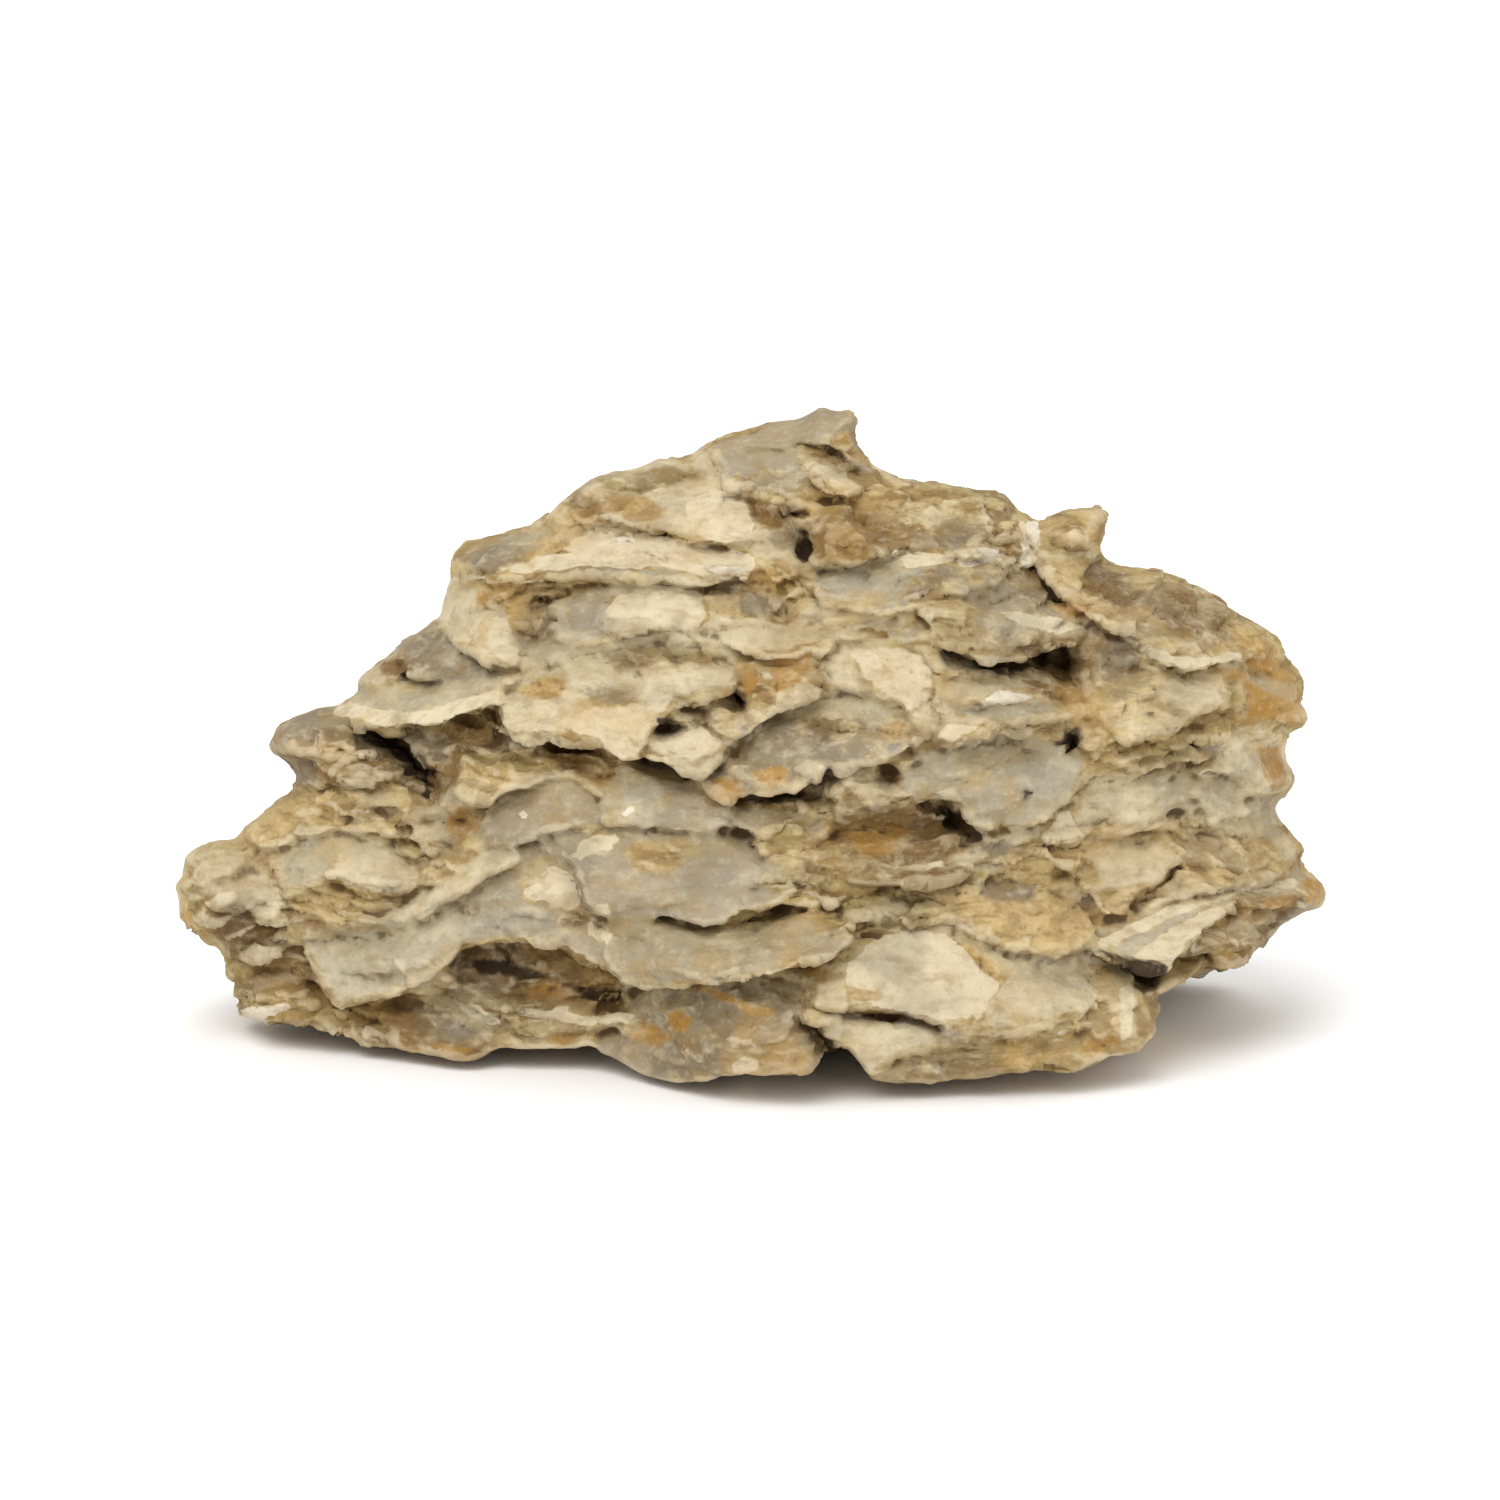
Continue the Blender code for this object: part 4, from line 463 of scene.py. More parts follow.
# Steps in the skin, raised on the left of the way the points run: name, height and reach in
# millimetres, points
LEDGES = (
    ("cap_fold", 1.0, 5, ((735, 440), (765, 447), (800, 450))),
    ("face_crease", 0.9, 5, ((712, 446), (718, 458), (724, 472))),
    ("upper_scallop", 1.2, 5, ((626, 478), (636, 486), (648, 493), (662, 491))),
    ("upper_fold", 1.0, 6, ((600, 490), (612, 500), (632, 505), (652, 500), (668, 490))),
    ("upper_lip", 1.5, 6, ((620, 520), (655, 534), (700, 541), (745, 541))),
    ("upper_pale_rim", 0.8, 5, ((690, 530), (705, 538), (740, 536), (762, 526))),
    ("tongue_step", 1.2, 4, ((812, 478), (828, 492), (850, 497), (872, 490))),
    ("crest_line", 0.9, 4, ((860, 492), (885, 488), (912, 492))),
    ("knob_ring", 0.8, 3, ((832, 516), (850, 508), (872, 510), (884, 522))),
    ("knob_ring_inner", 0.8, 3, ((835, 532), (850, 524), (866, 528), (880, 531))),
    ("crumble_one", 1.2, 4, ((905, 500), (925, 508), (950, 500), (965, 505))),
    ("crumble_two", 1.5, 5, ((895, 540), (920, 545), (950, 540), (975, 530), (1000, 540))),
    ("crumble_three", 1.8, 6, ((905, 562), (935, 565), (960, 557), (985, 549), (1010, 557))),
    ("crumble_four", 1.2, 4, ((965, 507), (985, 508), (1005, 518), (1018, 528))),
    ("crumble_five", 1.0, 4, ((985, 520), (995, 535), (1005, 552))),
    ("drape_high", 1.4, 6, ((860, 580), (900, 576), (940, 573), (962, 565))),
    ("drape_low", 1.6, 8, ((870, 601), (900, 599), (935, 592), (960, 581), (1000, 576))),
    ("drape_left", 1.0, 6, ((800, 590), (830, 596), (870, 590), (900, 577))),
    ("drape_foot", 1.2, 6, ((820, 626), (860, 622), (900, 611), (926, 608))),
    ("shoulder_flake", 1.0, 5, ((1100, 560), (1130, 570), (1165, 579), (1185, 593), (1206, 614))),
    ("shoulder_fold", 1.5, 9, ((1066, 600), (1090, 608), (1115, 623), (1140, 641), (1155, 656))),
    ("shoulder_lip", 2.2, 8, ((1150, 652), (1165, 665), (1195, 668), (1225, 662), (1252, 660))),
    ("shoulder_inner", 1.2, 6, ((1130, 612), (1150, 632), (1170, 645), (1200, 647), (1226, 641))),
    ("edge_streak", 1.2, 5, ((1215, 672), (1240, 683), (1265, 701), (1300, 716))),
    ("horn_step", 1.0, 4, ((1045, 545), (1065, 552), (1096, 550))),
    ("mid_plate_lip", 1.6, 8, ((1110, 736), (1150, 736), (1185, 723), (1215, 706), (1236, 690))),
    ("pebble_crack", 1.2, 4, ((1195, 761), (1215, 753), (1235, 743), (1246, 735))),
    ("cream_tab", 1.6, 5, ((1193, 776), (1215, 772), (1240, 767), (1256, 759))),
    ("rubble_lip", 1.5, 5, ((1250, 792), (1270, 798), (1286, 792))),
    ("shelf_wrinkle", 0.9, 4, ((470, 556), (500, 552), (530, 545), (552, 538))),
    ("shelf_wrinkle_low", 0.9, 4, ((460, 572), (485, 568), (505, 572), (532, 566))),
    ("shelf_ridge", 1.5, 5, ((535, 536), (560, 528), (590, 522), (612, 521))),
    ("shelf_white_edge", 1.6, 6, ((590, 553), (615, 561), (640, 564), (662, 558))),
    ("shelf_white_end", 1.8, 6, ((655, 553), (690, 563), (720, 573), (748, 576))),
    ("shelf_brown_line", 1.0, 5, ((553, 560), (580, 563), (600, 572), (630, 579), (652, 576))),
    ("face_mark", 0.8, 3, ((600, 586), (612, 592), (626, 593))),
    ("face_mark_left", 0.8, 3, ((585, 595), (598, 605), (603, 619))),
    ("face_mark_right", 0.8, 3, ((648, 586), (656, 595), (663, 605))),
    ("face_side", 1.0, 5, ((706, 600), (712, 612), (719, 623))),
    ("strip_step", 1.2, 5, ((735, 607), (755, 613), (780, 608), (791, 598))),
    ("thin_ledge_fold", 1.0, 5, ((718, 626), (740, 633), (775, 636), (802, 631))),
    ("thin_lip", 2.0, 6, ((722, 640), (745, 650), (780, 656), (814, 655))),
    ("roof_fold", 1.4, 6, ((935, 608), (960, 600), (1000, 590), (1036, 597))),
    ("roof_layer", 1.2, 4, ((950, 633), (985, 641), (1020, 641), (1046, 636))),
    ("roof_layer_high", 1.0, 4, ((940, 618), (965, 623), (1000, 621), (1041, 626))),
    ("cavity_rib", 1.5, 4, ((1060, 630), (1070, 650), (1078, 670), (1086, 691))),
    ("yellow_fold", 1.3, 7, ((885, 640), (915, 650), (930, 672), (935, 700), (950, 723))),
    ("yellow_fold_low", 1.0, 6, ((840, 685), (870, 690), (900, 700), (916, 716))),
    ("white_lip", 1.8, 6, ((950, 701), (985, 703), (1020, 699), (1056, 706))),
    ("right_fold_line", 1.3, 7, ((1085, 700), (1095, 716), (1106, 736))),
    ("tongue_eye", 1.2, 4, ((545, 664), (562, 663), (574, 674), (579, 691))),
    ("tongue_eye_inner", 0.9, 3, ((552, 673), (562, 675), (568, 685), (569, 695))),
    ("tongue_fold", 1.2, 7, ((590, 650), (612, 662), (640, 668), (665, 680), (681, 691))),
    ("tongue_fold_low", 1.0, 5, ((580, 691), (600, 683), (620, 676), (641, 672))),
    ("tongue_wrinkle", 1.0, 5, ((505, 700), (530, 705), (560, 701), (591, 696))),
    ("wedge_edge", 1.3, 4, ((460, 641), (480, 656), (506, 669))),
    ("swoosh_crease", 1.4, 5, ((455, 691), (500, 683), (530, 673), (560, 661), (601, 651))),
    ("arc_shell", 1.8, 5, ((745, 683), (757, 681), (768, 692), (770, 704))),
    ("arc_shell_top", 1.2, 4, ((700, 702), (712, 690), (728, 680), (746, 678))),
    ("dish_rim", 1.4, 5, ((650, 766), (680, 773), (710, 769), (735, 751), (746, 739))),
    ("fin_ridge", 1.8, 5, ((320, 742), (345, 745), (370, 758), (396, 776))),
    ("fin_ridge_high", 1.4, 4, ((330, 728), (352, 735), (375, 750), (399, 771))),
    ("fin_lip", 1.6, 5, ((280, 753), (305, 759), (336, 758))),
    ("rubble_left", 1.2, 4, ((418, 722), (425, 732), (433, 743))),
    ("rubble_middle", 1.2, 4, ((440, 728), (447, 745), (456, 761))),
    ("rubble_right", 1.5, 5, ((470, 735), (495, 740), (530, 748), (556, 761))),
    ("olive_lip", 2.0, 6, ((450, 784), (468, 798), (490, 801), (503, 791), (516, 781))),
    ("shelf_low_lip", 1.8, 6, ((320, 824), (340, 813), (365, 809), (401, 801))),
    ("shelf_low_crease", 1.2, 4, ((262, 839), (278, 829), (289, 818))),
    ("plate_lip", 1.6, 6, ((300, 883), (320, 873), (350, 874), (385, 876), (411, 873))),
    ("nose_lip", 1.5, 5, ((205, 881), (230, 871), (250, 859), (263, 848))),
    ("nose_step", 1.0, 4, ((192, 868), (210, 853), (236, 849))),
    ("nose_low", 1.2, 4, ((238, 909), (262, 917), (286, 909))),
    ("nose_diagonal", 1.3, 4, ((195, 897), (210, 912), (229, 931))),
    ("rough_high", 1.4, 4, ((230, 939), (245, 931), (265, 939), (286, 931))),
    ("rough_low", 1.4, 4, ((235, 966), (262, 961), (290, 971), (316, 973))),
    ("foot_ledge", 1.8, 5, ((242, 1011), (265, 1007), (290, 1004), (321, 1009))),
    ("foot_ledge_low", 1.4, 4, ((245, 1022), (275, 1019), (310, 1021), (341, 1029))),
    ("foot_crease", 1.2, 4, ((345, 1001), (380, 1003), (410, 1002), (441, 996))),
    ("band_high", 1.0, 4, ((300, 901), (330, 896), (350, 906), (376, 901))),
    ("band_low", 1.0, 4, ((305, 919), (335, 921), (365, 916), (401, 906))),
    ("long_tongue_fold", 1.2, 6, ((340, 961), (380, 966), (420, 956), (456, 931))),
    ("long_tongue_top", 1.0, 5, ((330, 933), (370, 931), (410, 923), (441, 911))),
    ("limb_line", 1.2, 6, ((455, 867), (490, 849), (530, 836), (570, 826), (604, 820))),
    ("upper_line", 1.2, 5, ((603, 818), (640, 820), (680, 826), (713, 835))),
    ("upper_line_low", 1.0, 4, ((607, 823), (635, 834), (665, 844), (696, 847))),
    ("dome_left_rim", 1.4, 6, ((577, 862), (582, 885), (590, 905), (613, 919))),
    ("dome_fold", 1.0, 8, ((585, 916), (620, 906), (650, 898), (691, 894))),
    ("patch_rim", 0.8, 3, ((550, 866), (565, 868), (578, 880), (581, 901))),
    ("limb_crease", 1.3, 5, ((580, 780), (592, 793), (605, 804))),
    ("left_fold", 1.0, 5, ((470, 905), (500, 900), (520, 910), (556, 912))),
    ("lobe_fold", 0.9, 6, ((650, 975), (680, 966), (720, 963), (771, 956))),
    ("lobe_top", 1.0, 5, ((735, 881), (770, 876), (800, 881), (831, 886))),
    ("strip_left", 1.6, 4, ((452, 998), (475, 1006), (492, 1016), (511, 1023))),
    ("strip_middle", 1.4, 4, ((510, 1001), (525, 1011), (540, 1013), (571, 1007))),
    ("strip_pale", 1.6, 4, ((530, 1031), (560, 1027), (600, 1025), (631, 1021))),
    ("strip_low", 1.4, 4, ((600, 1037), (630, 1038), (655, 1047), (681, 1051))),
    ("strip_corner", 1.2, 4, ((360, 1031), (385, 1036), (406, 1041))),
    ("boat_line", 1.0, 5, ((700, 986), (725, 1001), (755, 1011), (781, 1013))),
    ("boat_line_left", 1.0, 4, ((640, 1001), (660, 1016), (672, 1033), (691, 1041))),
    ("boat_low", 1.0, 6, ((640, 1061), (690, 1056), (740, 1041), (801, 1046))),
    ("toe_facet_line", 1.0, 7, ((985, 956), (1000, 985), (987, 1003), (983, 1023))),
    ("toe_crease", 1.0, 5, ((940, 932), (965, 946), (985, 963), (1001, 976))),
    ("toe_seam", 1.5, 5, ((833, 962), (843, 950), (852, 940), (859, 930))),
    ("toe_low_line", 1.0, 4, ((905, 1019), (935, 1027), (975, 1035), (1011, 1031))),
    ("base_high", 0.9, 3, ((885, 1061), (910, 1048), (950, 1043), (1001, 1041))),
    ("base_middle", 0.9, 3, ((900, 1063), (960, 1055), (1020, 1051), (1061, 1047))),
    ("base_low", 0.9, 3, ((890, 1075), (960, 1069), (1030, 1067), (1076, 1059))),
    ("column_line", 1.2, 4, ((1085, 1011), (1110, 1006), (1141, 1001))),
    ("column_line_low", 1.0, 4, ((1090, 1041), (1110, 1037), (1136, 1043))),
    ("layer_high", 1.6, 5, ((838, 887), (865, 889), (885, 881), (912, 883), (940, 889),
     (979, 891))),
    ("layer_middle", 1.0, 4, ((875, 894), (885, 906), (900, 919), (931, 921))),
    ("layer_low", 1.0, 4, ((905, 921), (950, 917), (986, 921))),
    ("tan_dome_rim", 1.2, 4, ((822, 906), (838, 895), (862, 894), (878, 906), (883, 919))),
    ("flake_curl", 1.2, 4, ((728, 838), (742, 843), (754, 846), (768, 838), (788, 822))),
    ("flake_stripe", 0.8, 3, ((768, 850), (786, 838), (804, 830))),
    ("tongue_layer", 1.2, 4, ((745, 881), (775, 874), (810, 879), (841, 877))),
    ("grey_band", 1.3, 4, ((812, 807), (850, 809), (890, 807), (921, 801))),
    ("arch_fold", 1.8, 7, ((1000, 823), (1040, 819), (1065, 806), (1080, 789), (1093, 773))),
    ("blue_crack", 0.9, 4, ((940, 745), (945, 758), (955, 770), (976, 779))),
    ("lens_line", 1.2, 4, ((965, 851), (990, 843), (1015, 839), (1040, 839), (1101, 841))),
    ("belly_left", 1.2, 5, ((1070, 793), (1090, 801), (1105, 813), (1126, 816))),
    ("belly_short", 1.0, 4, ((1110, 823), (1150, 821), (1166, 816))),
    ("belly_flake", 1.6, 5, ((1180, 790), (1190, 801), (1200, 816), (1211, 831))),
    ("belly_curl", 1.4, 4, ((1160, 821), (1168, 831), (1178, 839), (1201, 839))),
    ("belly_middle", 1.0, 5, ((1110, 863), (1140, 867), (1160, 863), (1181, 875))),
    ("belly_notch", 1.0, 5, ((1125, 881), (1132, 896), (1146, 906))),
    ("belly_line", 1.0, 5, ((1050, 863), (1085, 859), (1121, 853))),
    ("belly_arch", 1.2, 5, ((998, 886), (1015, 877), (1040, 878), (1060, 889), (1071, 901))),
    ("belly_right", 1.0, 4, ((1205, 841), (1235, 846), (1260, 841), (1286, 851))),
    ("belly_right_low", 1.0, 4, ((1190, 863), (1225, 867), (1255, 863), (1291, 869))),
    ("ledge_line", 1.6, 5, ((1150, 901), (1190, 894), (1240, 886), (1291, 881))),
    ("ledge_line_low", 1.4, 4, ((1140, 919), (1170, 909), (1205, 906), (1241, 899))),
    ("under_middle", 1.2, 4, ((1180, 941), (1205, 951), (1235, 949), (1256, 936))),
    ("under_low", 1.2, 4, ((1170, 963), (1200, 959), (1231, 963))),
    ("under_rust", 1.4, 4, ((1240, 909), (1265, 906), (1290, 906), (1316, 901))),
)

# Soft lumps and dips: name, middle, half width, half height, turn, height in millimetres
SWELLS = (
    ("peak_knob", (852, 532), 42, 30, 0, 5.0),
    ("peak_face_dip", (765, 475), 34, 20, 0, -1.5),
    ("upper_face", (715, 515), 40, 22, 0, 2.0),
    ("upper_scoop", (640, 500), 34, 18, 10, -2.0),
    ("crumble", (940, 525), 50, 26, 0, 2.5),
    ("horn", (1075, 535), 26, 18, 0, 2.0),
    ("shoulder", (1095, 598), 52, 24, -30, 2.5),
    ("shoulder_dip", (1180, 622), 46, 18, -30, -2.5),
    ("mid_plate", (1185, 692), 48, 20, 15, 2.5),
    ("mid_plate_dip", (1118, 665), 26, 30, 0, -2.5),
    ("right_rubble", (1215, 735), 30, 20, 0, 2.0),
    ("shelf_dip", (560, 560), 50, 12, 0, -1.5),
    ("cream_block", (482, 635), 34, 30, 0, 2.0),
    ("cream_face", (640, 612), 58, 20, 0, 1.5),
    ("drape", (860, 600), 60, 18, 8, 2.0),
    ("drape_dip", (930, 625), 50, 12, 0, -1.5),
    ("slit_roof", (1000, 620), 50, 22, 0, 2.0),
    ("yellow_dip", (880, 665), 40, 22, -10, -2.0),
    ("white_ledge", (985, 695), 50, 18, 0, 1.5),
    ("wedge", (450, 655), 42, 16, 0, 1.5),
    ("tongue", (610, 715), 58, 26, 0, 2.5),
    ("tongue_left", (528, 715), 26, 18, 0, 1.5),
    ("tongue_dip", (565, 700), 24, 10, 0, -1.2),
    ("olive_concave", (700, 708), 22, 16, -30, -2.5),
    ("dish", (695, 745), 40, 16, 10, -2.0),
    ("pink_plate", (780, 745), 60, 24, 18, 2.0),
    ("pink_dip", (850, 762), 44, 14, 10, -2.0),
    ("blue_plate", (975, 782), 62, 26, 0, 2.0),
    ("blue_dip", (1030, 765), 30, 18, 0, -1.5),
    ("limb_dip", (545, 806), 56, 18, 8, -1.5),
    ("upper_shell", (660, 798), 50, 18, -8, 1.5),
    ("dome", (655, 862), 74, 36, -8, 2.5),
    ("dome_dip", (725, 855), 24, 30, 0, -1.5),
    ("shell_left", (520, 905), 44, 24, 0, 1.5),
    ("lobe", (690, 952), 70, 22, 0, 1.5),
    ("lobe_dip", (790, 935), 34, 14, 10, -1.5),
    ("scoop", (472, 820), 22, 22, 0, -2.0),
    ("smooth_plate", (335, 852), 56, 20, 0, 2.0),
    ("low_shelf", (340, 798), 46, 14, 0, 1.5),
    ("nose", (225, 858), 30, 18, 0, 2.5),
    ("nose_tip", (200, 915), 20, 18, 0, 1.5),
    ("long_tongue", (395, 955), 62, 22, 10, 2.0),
    ("foot_block", (275, 995), 34, 18, 0, 2.0),
    ("foot_dip", (318, 988), 18, 10, 0, -3.0),
    ("strip", (560, 1020), 60, 12, 0, 1.5),
    ("knob_low", (455, 1050), 42, 12, 0, 2.5),
    ("boat", (715, 1045), 72, 28, 0, 2.5),
    ("boat_dip", (782, 998), 28, 26, 0, -3.5),
    ("toe_left", (870, 975), 42, 32, 0, 2.0),
    ("toe_middle", (948, 1000), 46, 26, 12, 2.0),
    ("toe_right", (1045, 1000), 36, 20, -10, 1.5),
    ("column", (1125, 1012), 20, 38, 0, 2.0),
    ("belly_high", (1135, 797), 42, 18, 0, 2.5),
    ("belly_dip", (1095, 826), 30, 10, 0, -2.0),
    ("belly_low", (1125, 872), 48, 26, 0, 2.5),
    ("belly_right", (1230, 848), 44, 16, 0, 2.0),
    ("belly_hollow", (1080, 900), 26, 18, 0, -1.5),
    ("speckled", (970, 900), 44, 16, 0, 1.5),
    ("tan_dome", (852, 905), 26, 14, 0, 2.0),
    ("under_ledge", (1215, 940), 34, 12, -20, 2.0),
)

# Spots that are colour only: name, finish, middle in photo pixels, half width, half height, turn
SPOTS = (
    ("pale_upper_face", "pale", (722, 517), 36, 20, 5),
    ("cream_upper_face", "cream", (655, 505), 40, 24, 5),
    ("rust_upper_face", "rust", (615, 506), 15, 6, 0),
    ("rust_recess", "rust", (776, 514), 12, 8, 0),
    ("rust_near_peak", "rust", (853, 446), 8, 10, 0),
    ("pale_tongue_glint", "pale", (828, 485), 10, 5, 20),
    ("yellow_horn", "rust", (1087, 528), 9, 12, 0),
    ("brown_shoulder", "brown", (1196, 618), 30, 14, -28),
    ("grey_lens", "lilac", (1265, 682), 30, 7, -8),
    ("yellow_edge", "rust", (1262, 702), 34, 10, -25),
    ("rust_edge", "rust", (1268, 762), 14, 30, 0),
    ("rust_strip", "rust", (768, 577), 22, 14, 0),
    ("grey_strip", "slate", (760, 608), 26, 10, 0),
    ("shade_plate", "slate", (820, 745), 40, 14, 15),
    ("shade_plate_left", "tan", (760, 765), 34, 18, 25),
    ("shade_long_tongue", "tan", (400, 950), 40, 14, 15),
    ("rust_by_slit", "rust", (1066, 612), 9, 7, 0),
    ("brown_by_cavity", "brown", (1058, 672), 24, 28, 0),
    ("cream_mid_tongue", "cream", (585, 690), 55, 24, 10),
    ("white_mid_tongue", "pale", (621, 742), 18, 24, 0),
    ("rust_block", "rust", (487, 598), 12, 16, 0),
    ("cream_face_middle", "pale", (635, 606), 55, 16, 0),
    ("rust_middle", "rust", (788, 672), 18, 16, 0),
    ("rust_pit_side", "rust", (752, 690), 14, 12, 0),
    ("rust_pink_plate", "rust", (725, 789), 22, 13, 0),
    ("rust_pink_plate_two", "rust", (771, 776), 24, 12, 0),
    ("rust_plate_corner", "rust", (892, 727), 13, 8, 0),
    ("blue_shell_top", "blue", (640, 800), 45, 22, -8),
    ("blue_shell_left", "blue", (553, 846), 20, 9, 0),
    ("rust_shell", "rust", (655, 856), 24, 10, 0),
    ("cream_shell_rim", "cream", (603, 842), 16, 10, 0),
    ("cream_shell_left", "cream", (548, 886), 30, 24, 0),
    ("tan_shell_left", "tan", (567, 919), 17, 10, 0),
    ("cream_lobe", "cream", (601, 920), 12, 22, 0),
    ("tan_lobe", "tan", (718, 934), 22, 6, 0),
    ("rust_dark_recess", "rust", (556, 990), 30, 9, 0),
    ("rust_boat", "rust", (730, 1003), 34, 8, 20),
    ("rust_boat_left", "rust", (684, 1024), 18, 12, 0),
    ("white_boat", "pale", (741, 1063), 14, 9, 30),
    ("pale_toe", "pale", (950, 990), 58, 28, 10),
    ("pale_toe_right", "pale", (1038, 1000), 30, 18, 0),
    ("white_base_chip", "pale", (1058, 1040), 10, 5, 0),
    ("rust_base", "rust", (1105, 1040), 16, 8, 0),
    ("pale_column", "pale", (1124, 1012), 6, 26, 0),
    ("pale_ledge", "pale", (1162, 943), 32, 16, -20),
    ("rust_tip", "rust", (1312, 894), 13, 11, 0),
    ("rust_under_ledge", "rust", (1264, 913), 26, 8, -15),
    ("cream_belly", "cream", (1064, 826), 24, 14, 0),
    ("pale_belly", "pale", (1130, 799), 30, 13, 0),
    ("pale_belly_right", "pale", (1220, 817), 12, 8, 0),
    ("cream_right_mid", "cream", (1195, 690), 32, 16, 0),
    ("cream_nose", "cream", (255, 902), 24, 11, 0),
    ("rust_nose", "rust", (262, 880), 12, 10, 0),
    ("pale_plate_glint", "pale", (328, 877), 13, 8, 20),
    ("olive_low_left", "olive", (352, 905), 60, 18, 0),
    ("pale_long_tongue", "pale", (342, 932), 38, 7, 5),
    ("pale_tongue_tip", "pale", (365, 986), 20, 10, 0),
    ("pale_strip_chip", "pale", (557, 1010), 9, 5, 0),
    ("pale_strip_chips", "pale", (618, 1018), 20, 6, 0),
    ("brown_knob_low", "rust", (455, 1050), 40, 11, 0),
    ("cream_speckled", "cream", (1090, 890), 24, 16, 0),
    ("cream_scoop_side", "cream", (430, 826), 20, 18, 0),
    ("rust_scoop_side", "rust", (470, 824), 16, 22, 0),
    ("rust_long_hollow", "rust", (872, 836), 44, 14, 0),
    ("brown_hollow_end", "brown", (944, 828), 22, 20, 0),
    ("rust_toe_hollow", "rust", (812, 966), 20, 12, 0),
    # Painted highlight at the swoosh's tip
    ("swoosh_tip_highlight", "pale", (362, 710), 26, 8, 8),
    ("tan_crumble_right", "rust", (1165, 860), 26, 10, 10),
    ("yellow_nose", "rust", (190, 919), 10, 9, 0),
)
